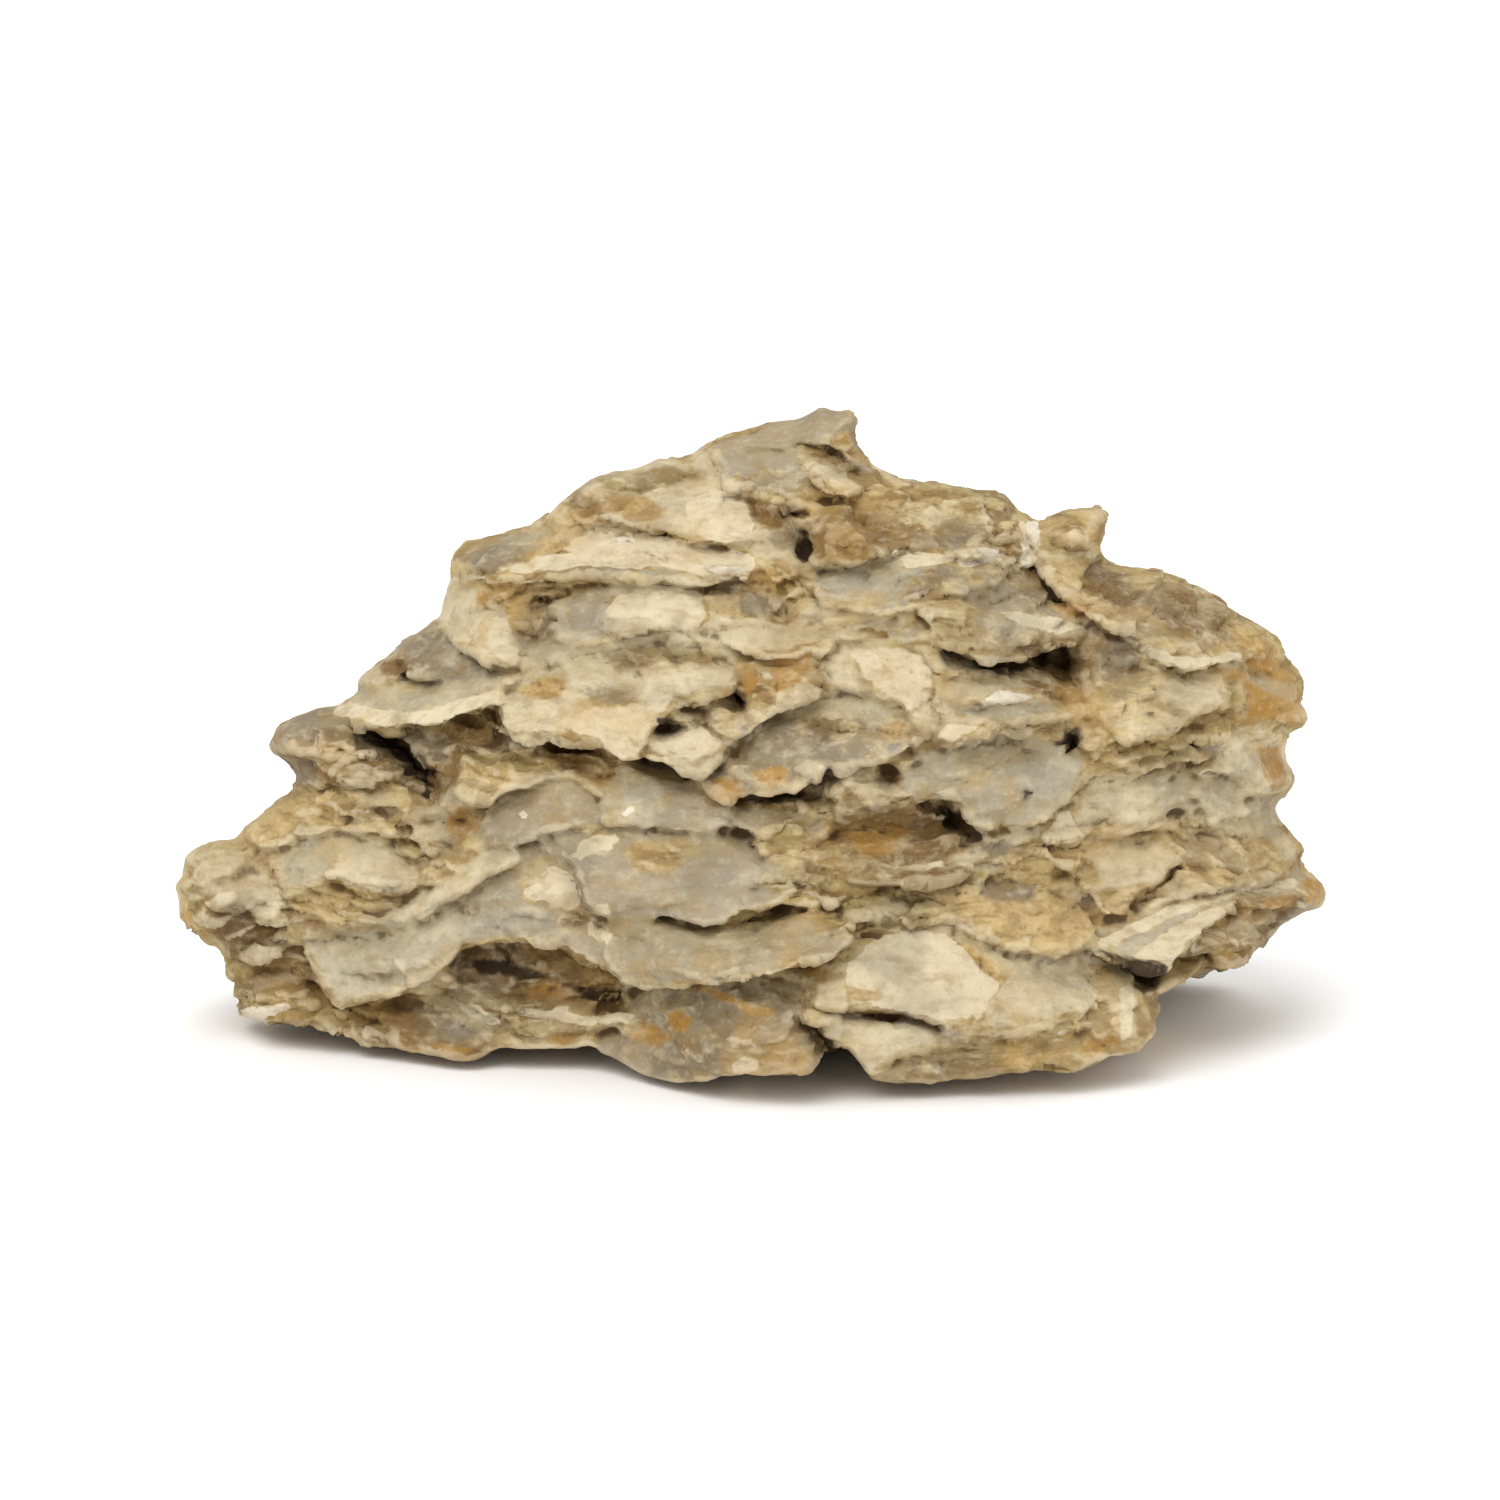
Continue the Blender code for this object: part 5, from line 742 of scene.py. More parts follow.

# Colour patches with given borders: name, finish, softness in millimetres, outline
PATCHES = (
    ("shell_cream", "pale", 0.3, ((520, 890), (535, 886), (545, 882), (550, 874), (547, 866),
     (560, 866), (576, 878), (583, 895), (579, 905), (585, 915), (597, 926), (612, 932), (606, 942),
     (592, 938), (580, 918), (566, 908), (555, 911), (545, 900), (530, 905), (522, 898))),
    ("dome_rim", "pale", 0.5, ((570, 856), (582, 842), (600, 833), (616, 832), (618, 842),
     (600, 850), (582, 860))),
    ("cream_streak", "cream", 0.4, ((405, 915), (420, 902), (450, 892), (480, 872), (515, 846),
     (530, 850), (510, 865), (480, 881), (455, 896), (425, 917))),
    ("limb_glint", "white", 0.3, ((520, 816), (527, 810), (531, 817), (524, 822))),
    ("shell_glint", "white", 0.5, ((618, 812), (634, 804), (638, 808), (622, 816))),
    ("blue_limb", "blue", 1.2, ((540, 856), (552, 844), (575, 838), (578, 850), (566, 860))),
    ("blue_left", "blue", 1.5, ((480, 905), (500, 885), (518, 885), (520, 905), (500, 922))),
    ("dome_tan", "tan", 3.0, ((628, 855), (650, 846), (680, 838), (705, 850), (680, 865),
     (655, 872), (635, 866))),
    ("lobe_tan", "ochre", 1.0, ((680, 930), (700, 922), (725, 930), (760, 936), (750, 946),
     (715, 948), (692, 944))),
    ("left_brown", "brown", 1.0, ((560, 915), (575, 908), (590, 920), (580, 930), (562, 928))),
    ("toe_left_facet", "pale", 0.5, ((880, 935), (920, 928), (950, 938), (985, 960), (1000, 985),
     (986, 1003), (983, 1022), (935, 1020), (890, 1008), (848, 1001), (845, 975), (862, 950))),
    ("toe_right_facet", "cream", 0.5, ((1002, 965), (1040, 972), (1078, 990), (1084, 1000),
     (1066, 1014), (1030, 1024), (988, 1026), (990, 1003), (1004, 986))),
    ("toe_tan", "ochre", 2.0, ((955, 942), (990, 958), (1012, 975), (1000, 985), (975, 968))),
    ("toe_left_tan", "tan", 2.5, ((845, 985), (885, 990), (882, 1000), (850, 1000))),
    ("rim_bright", "pale", 0.4, ((893, 864), (920, 857), (946, 858), (948, 866), (925, 871),
     (900, 871))),
    ("cream_triangle", "pale", 0.4, ((1042, 836), (1062, 812), (1070, 810), (1086, 836),
     (1065, 841))),
    ("belly_chip", "pale", 0.5, ((1114, 812), (1130, 800), (1142, 812), (1130, 822))),
    ("belly_cream_tab", "pale", 0.5, ((1208, 800), (1228, 808), (1236, 825), (1218, 829),
     (1210, 815))),
    ("tab_cream", "pale", 0.5, ((1192, 773), (1215, 767), (1242, 762), (1247, 772), (1220, 777),
     (1200, 781))),
    ("nose_cream", "cream", 0.5, ((234, 905), (240, 898), (266, 895), (276, 885), (284, 895),
     (278, 911), (264, 917), (245, 915))),
    ("nose_rust", "rust", 0.8, ((240, 886), (256, 874), (270, 862), (277, 880), (264, 891),
     (248, 891))),
    ("foot_white", "white", 0.5, ((243, 1008), (285, 1002), (290, 1008), (262, 1018), (246, 1018))),
    ("foot_pocket", "brown", 1.0, ((302, 982), (330, 981), (337, 996), (325, 1002), (310, 996))),
    ("boat_tone", "slate", 6.0, ((640, 1010), (720, 990), (800, 990), (830, 1050), (760, 1075),
     (660, 1070))),
    ("boat_white", "white", 2.0, ((733, 1066), (745, 1056), (761, 1060), (757, 1073), (740, 1079))),
    ("boat_orange", "rust", 0.9, ((668, 1016), (682, 1010), (697, 1020), (690, 1034), (676, 1030))),
    ("boat_brown", "brown", 4.0, ((760, 985), (795, 972), (812, 990), (806, 1012), (770, 1012))),
    ("strip_white", "pale", 1.4, ((557, 1003), (566, 1006), (566, 1021), (556, 1019))),
    ("strip_light", "pale", 0.5, ((596, 1021), (615, 1013), (634, 1016), (622, 1025), (602, 1026))),
    ("strip_rust", "rust", 1.2, ((515, 986), (545, 983), (582, 994), (572, 1004), (530, 1001))),
    ("strip_low_rust", "rust", 1.0, ((540, 1033), (560, 1030), (578, 1034), (572, 1042),
     (545, 1042))),
    ("knob_low_brown", "brown", 2.0, ((440, 1040), (470, 1038), (500, 1042), (480, 1052),
     (452, 1050))),
    ("base_white", "white", 0.3, ((1046, 1041), (1060, 1037), (1071, 1040), (1062, 1047),
     (1048, 1047))),
    ("base_soft", "slate", 18.0, ((900, 1054), (960, 1048), (1040, 1044), (1050, 1060),
     (1000, 1078), (905, 1076))),
    ("base_brown", "ochre", 3.0, ((1000, 1045), (1040, 1042), (1052, 1060), (1040, 1075),
     (1000, 1070))),
    ("base_rust", "rust", 1.5, ((1080, 1046), (1100, 1040), (1108, 1050), (1085, 1056))),
    ("ledge_white", "pale", 0.6, ((1130, 958), (1156, 930), (1200, 908), (1235, 906), (1204, 930),
     (1172, 960), (1145, 965))),
    ("ledge_cream", "cream", 1.0, ((1090, 943), (1118, 928), (1150, 928), (1135, 948),
     (1110, 950))),
    ("ledge_olive", "olive", 1.5, ((1130, 922), (1165, 912), (1205, 908), (1180, 924),
     (1140, 934))),
    ("tip_orange", "rust", 0.6, ((1305, 890), (1318, 886), (1325, 897), (1316, 905), (1304, 902))),
    ("under_rust_patch", "rust", 1.0, ((1238, 910), (1262, 905), (1285, 908), (1272, 924),
     (1250, 922))),
    ("under_brown", "brown", 1.5, ((1185, 945), (1205, 938), (1245, 942), (1240, 955),
     (1200, 957))),
    ("swoosh_white", "pale", 0.8, ((345, 716), (358, 700), (400, 695), (440, 694), (470, 700),
     (440, 711), (400, 717), (368, 723))),
    # Painted highlight on the swoosh
    ("swoosh_highlight", "white", 0.8, ((395, 704), (415, 698), (438, 700), (432, 711), (402, 713))),
    ("tongue_white", "pale", 2.5, ((560, 722), (600, 705), (648, 700), (644, 735), (636, 760),
     (612, 760), (604, 740), (575, 732))),
    ("tongue_moss", "olive", 2.0, ((590, 655), (640, 648), (700, 650), (730, 658), (680, 668),
     (620, 668))),
    ("tongue_grey", "slate", 2.5, ((590, 690), (625, 684), (640, 695), (615, 708), (592, 704))),
    ("tongue_ochre", "ochre", 2.0, ((515, 690), (540, 676), (570, 680), (565, 698), (535, 700))),
    # The next three patches paint the highlight on the shelf's upper faces
    ("shelf_white", "pale", 1.0, ((655, 546), (690, 542), (735, 552), (753, 565), (740, 575),
     (700, 561), (665, 557))),
    ("shelf_highlight_spot", "white", 0.8, ((670, 547), (690, 544), (715, 551), (700, 557), (678, 555))),
    ("shelf_white_left", "pale", 0.8, ((590, 545), (615, 535), (640, 548), (650, 559), (615, 557))),
    ("shelf_cream_ridge", "cream", 1.0, ((535, 540), (560, 528), (600, 520), (640, 528), (600, 536),
     (560, 540))),
    ("shelf_ochre", "ochre", 2.0, ((560, 562), (600, 560), (650, 574), (620, 580), (575, 574))),
    ("upper_pale", "pale", 1.5, ((685, 502), (715, 494), (745, 503), (760, 520), (745, 536),
     (705, 536), (688, 520))),
    ("upper_moss", "olive", 2.0, ((600, 480), (640, 474), (690, 462), (700, 475), (650, 490),
     (610, 492))),
    ("upper_dark", "brown", 1.2, ((566, 500), (580, 492), (596, 500), (604, 514), (582, 518))),
    ("upper_ochre", "ochre", 2.0, ((600, 495), (640, 495), (665, 510), (650, 530), (615, 515))),
    ("face_pink", "pale", 2.0, ((650, 592), (700, 592), (704, 622), (660, 628), (645, 610))),
    ("face_grey", "lilac", 2.0, ((566, 600), (590, 592), (612, 600), (605, 628), (572, 632))),
    ("block_brown", "ochre", 1.2, ((458, 584), (500, 583), (545, 584), (548, 610), (536, 632),
     (518, 640), (506, 610), (490, 594))),
    ("block_pink", "cream", 2.0, ((450, 612), (490, 610), (500, 630), (478, 640), (450, 632))),
    ("fin_grey", "slate", 2.0, ((275, 730), (300, 720), (335, 722), (340, 740), (318, 755),
     (285, 752))),
    ("wedge_grey", "slate", 2.5, ((395, 660), (425, 632), (450, 640), (480, 660), (530, 668),
     (470, 680), (405, 680))),
    ("wedge_slate", "slate", 2.0, ((420, 635), (440, 622), (450, 645), (470, 655), (440, 660),
     (418, 655))),
    ("wedge_brown", "brown", 1.5, ((382, 665), (400, 655), (415, 665), (410, 680), (388, 678))),
    # Painted highlight along the seam
    ("seam_glint", "white", 0.5, ((1019, 522), (1037, 522), (1041, 545), (1037, 564), (1028, 572),
     (1019, 550))),
    ("horn_yellow", "ochre", 1.5, ((1072, 525), (1090, 515), (1104, 522), (1095, 545),
     (1078, 540))),
    ("ledge_bright", "white", 1.0, ((965, 706), (1000, 692), (1042, 694), (1000, 715), (972, 720))),
    ("face_bright", "pale", 3.0, ((850, 650), (900, 645), (932, 662), (930, 700), (905, 715),
     (870, 690))),
    ("belly_bright", "pale", 3.0, ((1080, 775), (1140, 780), (1190, 790), (1190, 812), (1120, 822),
     (1080, 805))),
    ("ledge_corner", "pale", 0.8, ((935, 736), (945, 722), (978, 728), (950, 743))),
    ("thin_cream", "cream", 1.5, ((706, 622), (760, 627), (802, 632), (790, 649), (745, 646),
     (720, 636))),
    ("long_ledge_soft", "blue", 4.0, ((812, 568), (900, 552), (1000, 572), (960, 590), (880, 610),
     (822, 600))),
    ("roof_soft", "slate", 16.0, ((930, 606), (960, 597), (1010, 590), (1062, 612), (1070, 632),
     (1000, 640), (950, 640))),
    ("roof_slate", "slate", 1.8, ((960, 594), (1000, 584), (1042, 592), (1046, 602), (1000, 603),
     (965, 606))),
    ("roof_light", "pale", 1.0, ((1000, 613), (1040, 619), (1088, 628), (1060, 637), (1020, 626))),
    ("roof_olive", "olive", 1.8, ((950, 640), (985, 642), (1030, 640), (1045, 650), (1010, 658),
     (970, 652))),
    ("crumble_light", "white", 0.7, ((955, 558), (985, 549), (1006, 556), (985, 566), (962, 572))),
    ("crumble_light_low", "pale", 0.6, ((900, 561), (935, 563), (952, 558), (940, 568),
     (905, 570))),
    ("crumble_slate", "slate", 1.8, ((905, 543), (945, 536), (975, 536), (960, 552), (920, 553))),
    ("drape_slate", "slate", 2.2, ((905, 590), (940, 570), (955, 580), (930, 598))),
    ("drape_brown", "brown", 2.0, ((915, 610), (945, 600), (960, 615), (935, 630), (915, 625))),
    ("knob_brown", "brown", 3.0, ((812, 520), (845, 512), (880, 525), (870, 550), (835, 562),
     (812, 550))),
    ("recess_slate", "slate", 1.2, ((768, 540), (785, 520), (803, 522), (806, 555), (780, 550))),
    ("recess_rust", "rust", 1.0, ((750, 496), (776, 500), (786, 512), (768, 530), (756, 516))),
    ("peak_slate", "slate", 2.5, ((740, 478), (775, 470), (808, 478), (805, 498), (770, 494),
     (745, 490))),
    ("peak_ochre", "ochre", 1.5, ((826, 442), (845, 432), (860, 448), (872, 468), (852, 462))),
    ("shoulder_slate", "slate", 2.5, ((1165, 606), (1195, 604), (1222, 625), (1215, 642),
     (1180, 632))),
    ("shoulder_ochre", "ochre", 1.5, ((1225, 622), (1262, 640), (1284, 656), (1262, 660),
     (1236, 646))),
    ("shoulder_brown", "brown", 3.0, ((1085, 570), (1120, 575), (1150, 600), (1120, 605),
     (1090, 592))),
    ("mid_slate", "slate", 3.0, ((1095, 640), (1130, 640), (1145, 665), (1115, 685), (1098, 670))),
    ("edge_yellow", "rust", 0.6, ((1238, 692), (1262, 697), (1290, 712), (1304, 722), (1270, 714),
     (1248, 704))),
    ("edge_grey", "lilac", 0.8, ((1240, 676), (1262, 678), (1292, 692), (1290, 702), (1262, 692),
     (1244, 684))),
    ("edge_rust", "rust", 1.5, ((1258, 742), (1275, 738), (1280, 765), (1292, 782), (1270, 792),
     (1256, 770))),
    ("pebble_slate", "slate", 0.8, ((1200, 745), (1220, 738), (1232, 748), (1222, 762),
     (1203, 764))),
    ("middle_rust_patch", "rust", 1.2, ((772, 668), (795, 655), (814, 655), (808, 672), (794, 692),
     (776, 698), (770, 685))),
    ("strip_rust_high", "ochre", 1.5, ((745, 572), (770, 562), (800, 570), (795, 588), (760, 594),
     (742, 588))),
    ("strip_slate", "slate", 1.8, ((740, 600), (765, 597), (785, 604), (770, 616), (745, 613))),
    ("hollow_pink", "brown", 1.2, ((560, 748), (585, 742), (594, 762), (575, 770))),
    ("olive_patch", "olive", 1.5, ((465, 752), (500, 752), (535, 762), (520, 775), (480, 775))),
    ("rubble_slate", "slate", 1.0, ((402, 735), (430, 724), (455, 742), (450, 764), (420, 760))),
    ("fin_brown", "brown", 1.2, ((318, 742), (345, 745), (372, 758), (392, 772), (360, 774),
     (330, 765))),
    ("fin_olive", "olive", 0.8, ((345, 733), (362, 742), (395, 770), (378, 768), (352, 750))),
    ("band_brown", "tan", 1.8, ((300, 896), (335, 888), (352, 900), (340, 918), (305, 920))),
    ("band_olive", "olive", 1.5, ((365, 890), (405, 892), (418, 908), (390, 918), (368, 910))),
    ("rough_brown", "brown", 2.0, ((230, 928), (275, 925), (290, 960), (262, 972), (235, 962))),
    ("tongue_pale_top", "pale", 0.8, ((305, 936), (330, 930), (362, 927), (358, 940), (320, 948))),
    ("tongue_pale_tip", "pale", 0.8, ((340, 992), (352, 978), (372, 985), (362, 997), (346, 998))),
    ("tongue_chip", "white", 0.5, ((376, 922), (400, 918), (404, 924), (380, 928))),
    ("long_tan", "ochre", 2.5, ((375, 955), (410, 948), (430, 955), (405, 975), (375, 975))),
    ("layer_olive", "olive", 1.2, ((878, 885), (905, 882), (925, 895), (905, 918), (888, 908))),
    ("ledge_soft", "blue", 2.0, ((945, 702), (1000, 704), (1050, 702), (1066, 712), (1000, 722),
     (952, 716))),
    ("layer_slate", "slate", 1.5, ((965, 884), (1000, 878), (1035, 884), (1030, 900), (985, 900))),
    ("tan_dome", "cream", 1.5, ((828, 905), (842, 896), (862, 896), (876, 908), (870, 918),
     (838, 918))),
    ("flake_olive", "olive", 1.5, ((756, 846), (785, 826), (806, 822), (804, 850), (775, 862))),
    ("grey_band", "slate", 1.5, ((812, 802), (850, 801), (900, 804), (918, 802), (895, 812),
     (840, 814), (815, 812))),
    ("lens_slate", "slate", 1.5, ((965, 842), (1000, 840), (1015, 848), (1000, 858), (968, 856))),
    ("lens_rust", "brown", 1.0, ((976, 828), (1000, 822), (1012, 834), (990, 838))),
    ("pit_brown", "brown", 0.8, ((872, 780), (888, 765), (899, 780), (890, 796), (880, 792))),
    ("belly_slate", "slate", 2.0, ((1060, 842), (1085, 842), (1120, 832), (1110, 848),
     (1075, 852))),
    ("belly_cream", "cream", 2.0, ((1120, 835), (1150, 838), (1165, 860), (1135, 862),
     (1115, 850))),
    ("belly_cream_high", "cream", 2.0, ((1115, 785), (1150, 782), (1180, 800), (1150, 812),
     (1120, 805))),
    ("belly_brown", "brown", 1.5, ((1125, 890), (1140, 888), (1150, 905), (1130, 912))),
    ("belly_ochre", "ochre", 3.0, ((1205, 845), (1250, 842), (1290, 855), (1270, 872),
     (1215, 868))),
    ("column_pale", "pale", 2.5, ((1118, 990), (1130, 985), (1132, 1030), (1120, 1036))),
    ("column_ochre", "ochre", 1.5, ((1135, 995), (1148, 1005), (1156, 1028), (1140, 1040),
     (1136, 1020))),
    ("recess_ochre", "ochre", 1.5, ((1075, 962), (1100, 965), (1118, 975), (1095, 980))),
    # Near black patches in holes, slits and below lips: painted shade
    ("recess_dark", "dark", 1.0, ((1095, 950), (1118, 956), (1142, 964), (1165, 968), (1158, 990),
     (1138, 982), (1120, 968))),
    ("cavity_dark", "dark", 0.5, ((348, 729), (370, 730), (395, 734), (402, 745), (411, 757),
     (422, 767), (434, 770), (428, 778), (431, 795), (426, 800), (420, 794), (420, 781), (408, 777),
     (394, 770), (384, 757), (368, 746))),
    ("arch_dark", "dark", 0.9, ((1055, 736), (1065, 729), (1080, 729), (1086, 742), (1070, 750),
     (1056, 745))),
    ("slit_dark", "dark", 0.5, ((742, 806), (768, 797), (800, 790), (812, 776), (822, 774),
     (818, 786), (806, 799), (775, 808), (752, 812))),
    ("hollow_dark", "dark", 0.8, ((908, 804), (930, 801), (956, 803), (955, 818), (968, 836),
     (962, 842), (950, 834), (940, 818), (922, 811))),
    ("roof_dark", "dark", 0.8, ((952, 656), (985, 664), (1020, 664), (1045, 656), (1075, 660),
     (1078, 695), (1050, 690), (1030, 676), (985, 674))),
    ("recess_shadow", "dark", 1.2, ((500, 944), (545, 944), (592, 960), (622, 982), (600, 980),
     (565, 963), (535, 955), (503, 954))),
    ("recess_orange", "rust", 1.5, ((520, 984), (560, 978), (588, 990), (575, 1003), (535, 1000))),
    ("strip_light_one", "pale", 0.8, ((520, 1006), (560, 1012), (600, 1020), (590, 1026),
     (550, 1020), (515, 1014))),
    ("strip_light_two", "pale", 0.8, ((455, 1000), (480, 1006), (505, 1022), (490, 1024),
     (465, 1010))),
    ("strip_grey", "slate", 1.5, ((400, 1022), (440, 1015), (490, 1028), (470, 1040), (410, 1040))),
    # The two white wisps paint highlight on the shelf; the two blue ones are its grey wisps
    ("shelf_wisp_one", "white", 0.4, ((618, 541), (634, 539), (652, 552), (664, 562), (648, 558),
     (630, 549))),
    ("shelf_wisp_two", "white", 0.4, ((640, 536), (664, 541), (690, 549), (712, 553), (686, 553),
     (660, 547))),
    ("shelf_wisp_three", "blue", 0.8, ((470, 548), (510, 536), (560, 530), (540, 542), (500, 552))),
    ("shelf_wisp_four", "blue", 0.8, ((604, 566), (640, 570), (676, 566), (700, 574), (650, 580))),
    ("strip_gold", "rust", 1.2, ((620, 1028), (650, 1022), (672, 1036), (655, 1044), (632, 1040))),
    ("recess_umber", "brown", 2.0, ((462, 955), (500, 950), (560, 960), (600, 985), (560, 990),
     (500, 985))),
    ("scoop_pale", "cream", 2.5, ((412, 804), (450, 802), (458, 820), (450, 838), (428, 836),
     (414, 822))),
    ("scoop_orange", "rust", 2.0, ((450, 802), (491, 801), (489, 816), (481, 830), (464, 842),
     (447, 832))),
    ("scoop_shade", "brown", 1.2, ((476, 801), (492, 800), (490, 818), (483, 828), (477, 814))),
    ("oval_orange", "rust", 1.5, ((828, 840), (846, 823), (892, 817), (922, 822), (926, 838),
     (906, 851), (866, 856), (838, 853))),
    ("oval_umber", "brown", 1.2, ((826, 838), (846, 818), (900, 812), (925, 816), (900, 822),
     (856, 827), (836, 842))),
    ("oval_side", "brown", 1.5, ((885, 856), (925, 842), (962, 846), (945, 858), (905, 862))),
    # Painted shade in the gap at the back of the recess
    ("recess_back", "dark", 0.8, ((802, 542), (806, 534), (810, 545), (811, 561), (804, 561),
     (797, 555))),
    ("recess_brown", "brown", 1.5, ((750, 500), (795, 504), (810, 512), (800, 530), (770, 532),
     (752, 520))),
    # These four pale and white patches paint the highlight on the shelf's upper faces
    ("shelf_highlight_low", "pale", 1.0, ((470, 560), (520, 552), (590, 556), (650, 566), (620, 578),
     (560, 572), (500, 572))),
    ("shelf_highlight", "pale", 1.5, ((560, 545), (590, 528), (640, 532), (690, 545), (745, 555),
     (750, 570), (700, 574), (640, 566), (590, 560))),
    ("shelf_streak_one", "white", 0.8, ((602, 545), (622, 533), (650, 541), (664, 559),
     (632, 556))),
    ("shelf_streak_two", "white", 0.8, ((680, 560), (705, 556), (738, 566), (748, 575),
     (715, 572))),
    ("shelf_shade_left", "slate", 2.0, ((455, 560), (500, 545), (545, 545), (530, 560),
     (480, 572))),
    ("shelf_shade_low", "slate", 1.5, ((560, 572), (600, 566), (640, 574), (600, 580))),
    ("cavity_shade", "dark", 1.0, ((1035, 652), (1062, 650), (1072, 668), (1068, 690), (1052, 694),
     (1038, 678))),
    ("cavity_umber", "brown", 2.0, ((1030, 640), (1080, 640), (1098, 670), (1092, 705), (1060, 708),
     (1035, 690))),
    ("slit_rust", "rust", 0.8, ((1050, 606), (1070, 600), (1092, 606), (1088, 618), (1062, 621))),
    ("roof_moss", "olive", 1.8, ((938, 598), (965, 606), (975, 630), (960, 648), (935, 640),
     (925, 618))),
    ("shoulder_umber", "brown", 3.0, ((1150, 585), (1190, 590), (1225, 612), (1232, 640),
     (1195, 636), (1160, 612))),
    ("layer_umber", "brown", 1.8, ((850, 868), (900, 872), (960, 868), (985, 878), (960, 888),
     (900, 884), (860, 884))),
    ("layer_moss", "olive", 1.8, ((838, 885), (890, 880), (930, 898), (925, 922), (880, 928),
     (846, 912))),
    ("boat_shade", "slate", 2.5, ((690, 988), (760, 980), (800, 985), (800, 1010), (750, 1012),
     (700, 1005))),
    ("toe_low_pale", "cream", 1.0, ((845, 1010), (900, 1016), (950, 1030), (930, 1042), (880, 1040),
     (850, 1028))),
    ("right_tan", "cream", 3.0, ((1215, 800), (1262, 804), (1285, 835), (1296, 862), (1250, 868),
     (1210, 850), (1200, 820))),
    ("right_gold", "ochre", 2.0, ((1245, 735), (1280, 735), (1284, 762), (1294, 780), (1268, 795),
     (1250, 775))),
    ("edge_gold", "rust", 1.0, ((1225, 655), (1262, 650), (1284, 664), (1296, 676), (1278, 682),
     (1245, 668))),
    ("fin_shade", "olive", 1.5, ((300, 735), (345, 730), (352, 745), (380, 768), (340, 775),
     (300, 765))),
    ("foot_umber", "brown", 2.5, ((234, 940), (280, 938), (322, 972), (336, 1002), (300, 1000),
     (246, 995))),
    ("nose_umber", "brown", 1.5, ((205, 905), (240, 900), (262, 925), (250, 940), (215, 935))),
    ("strip_umber", "brown", 2.0, ((345, 1012), (400, 1005), (440, 1020), (430, 1045),
     (360, 1042))),
    ("long_recess_dark", "brown", 2.0, ((500, 950), (540, 948), (575, 955), (615, 978), (600, 988),
     (550, 984), (505, 975))),
    ("wing_dark", "olive", 0.8, ((724, 922), (740, 908), (790, 903), (785, 924), (760, 931))),
    ("pit_umber", "brown", 0.8, ((722, 694), (732, 688), (742, 698), (744, 710), (732, 712),
     (722, 704))),
    ("pit_rust", "rust", 0.8, ((718, 692), (728, 690), (736, 700), (730, 710), (720, 704))),
    ("pit_shade", "dark", 0.5, ((732, 686), (740, 694), (745, 704), (741, 713), (736, 704),
     (731, 694))),
    ("dish_umber", "brown", 0.8, ((650, 734), (656, 720), (672, 714), (686, 722), (672, 730),
     (656, 738))),
    ("dish_shade", "dark", 0.5, ((658, 718), (672, 714), (684, 722), (672, 722), (660, 726))),
    ("dish_cream", "pale", 1.5, ((670, 734), (700, 728), (726, 742), (716, 758), (690, 764),
     (666, 752))),
    ("dish_olive", "olive", 1.2, ((676, 696), (690, 700), (716, 722), (728, 736), (706, 728),
     (684, 714))),
    ("plate_shade", "slate", 11.0, ((700, 773), (735, 741), (770, 716), (800, 701), (850, 694),
     (890, 706), (910, 737), (890, 750), (850, 762), (800, 788), (735, 800))),
    ("plate_umber", "brown", 2.5, ((800, 722), (840, 716), (862, 728), (830, 738), (802, 735))),
    ("plate_rust_left", "rust", 1.2, ((708, 786), (722, 778), (738, 784), (740, 796), (722, 799))),
    ("plate_rust_right", "rust", 1.0, ((752, 776), (772, 769), (790, 768), (786, 780), (762, 787))),
    ("plate_rust_corner", "rust", 1.0, ((880, 724), (896, 720), (905, 728), (898, 736),
     (882, 734))),
    ("plate_grey", "blue", 1.5, ((800, 706), (842, 694), (880, 702), (890, 718), (850, 712),
     (812, 716))),
    ("plate_chip", "white", 0.3, ((820, 767), (838, 768), (840, 776), (823, 777))),
    ("fin_soft", "slate", 5.0, ((271, 747), (277, 730), (305, 715), (342, 706), (395, 772),
     (402, 780), (342, 783), (300, 787))),
    ("fin_umber", "brown", 1.5, ((322, 750), (352, 750), (398, 778), (380, 790), (330, 790),
     (316, 770))),
    ("swoosh_soft", "blue", 3.0, ((345, 716), (358, 696), (400, 690), (470, 692), (500, 690),
     (498, 702), (440, 715), (400, 719))),
    ("tongue_soft", "blue", 4.0, ((303, 935), (380, 923), (450, 901), (480, 906), (465, 941),
     (400, 986), (348, 998), (315, 968))),
    ("lobe_soft", "blue", 3.0, ((610, 925), (700, 925), (760, 936), (812, 908), (850, 930),
     (800, 955), (740, 972), (665, 982), (622, 972))),
    ("left_soft", "blue", 4.0, ((415, 918), (490, 884), (530, 905), (560, 912), (560, 938),
     (470, 941))),
    ("recess_soft", "brown", 3.0, ((470, 950), (555, 945), (615, 984), (600, 1000), (500, 998),
     (455, 982))),
    # Painted shade in the gaps of the recess
    ("recess_gap", "dark", 1.2, ((462, 958), (490, 958), (530, 968), (562, 972), (525, 979),
     (480, 975))),
    ("recess_gap_low", "dark", 1.0, ((578, 986), (600, 984), (618, 990), (602, 1000), (582, 999))),
    ("recess_amber", "rust", 1.0, ((515, 988), (545, 982), (575, 988), (570, 1002), (530, 1000))),
    ("plate_soft", "blue", 2.0, ((272, 858), (298, 838), (332, 836), (338, 860), (312, 882),
     (286, 888))),
    ("knob_tone", "brown", 1.5, ((425, 1048), (450, 1040), (490, 1043), (478, 1056), (445, 1062),
     (427, 1060))),
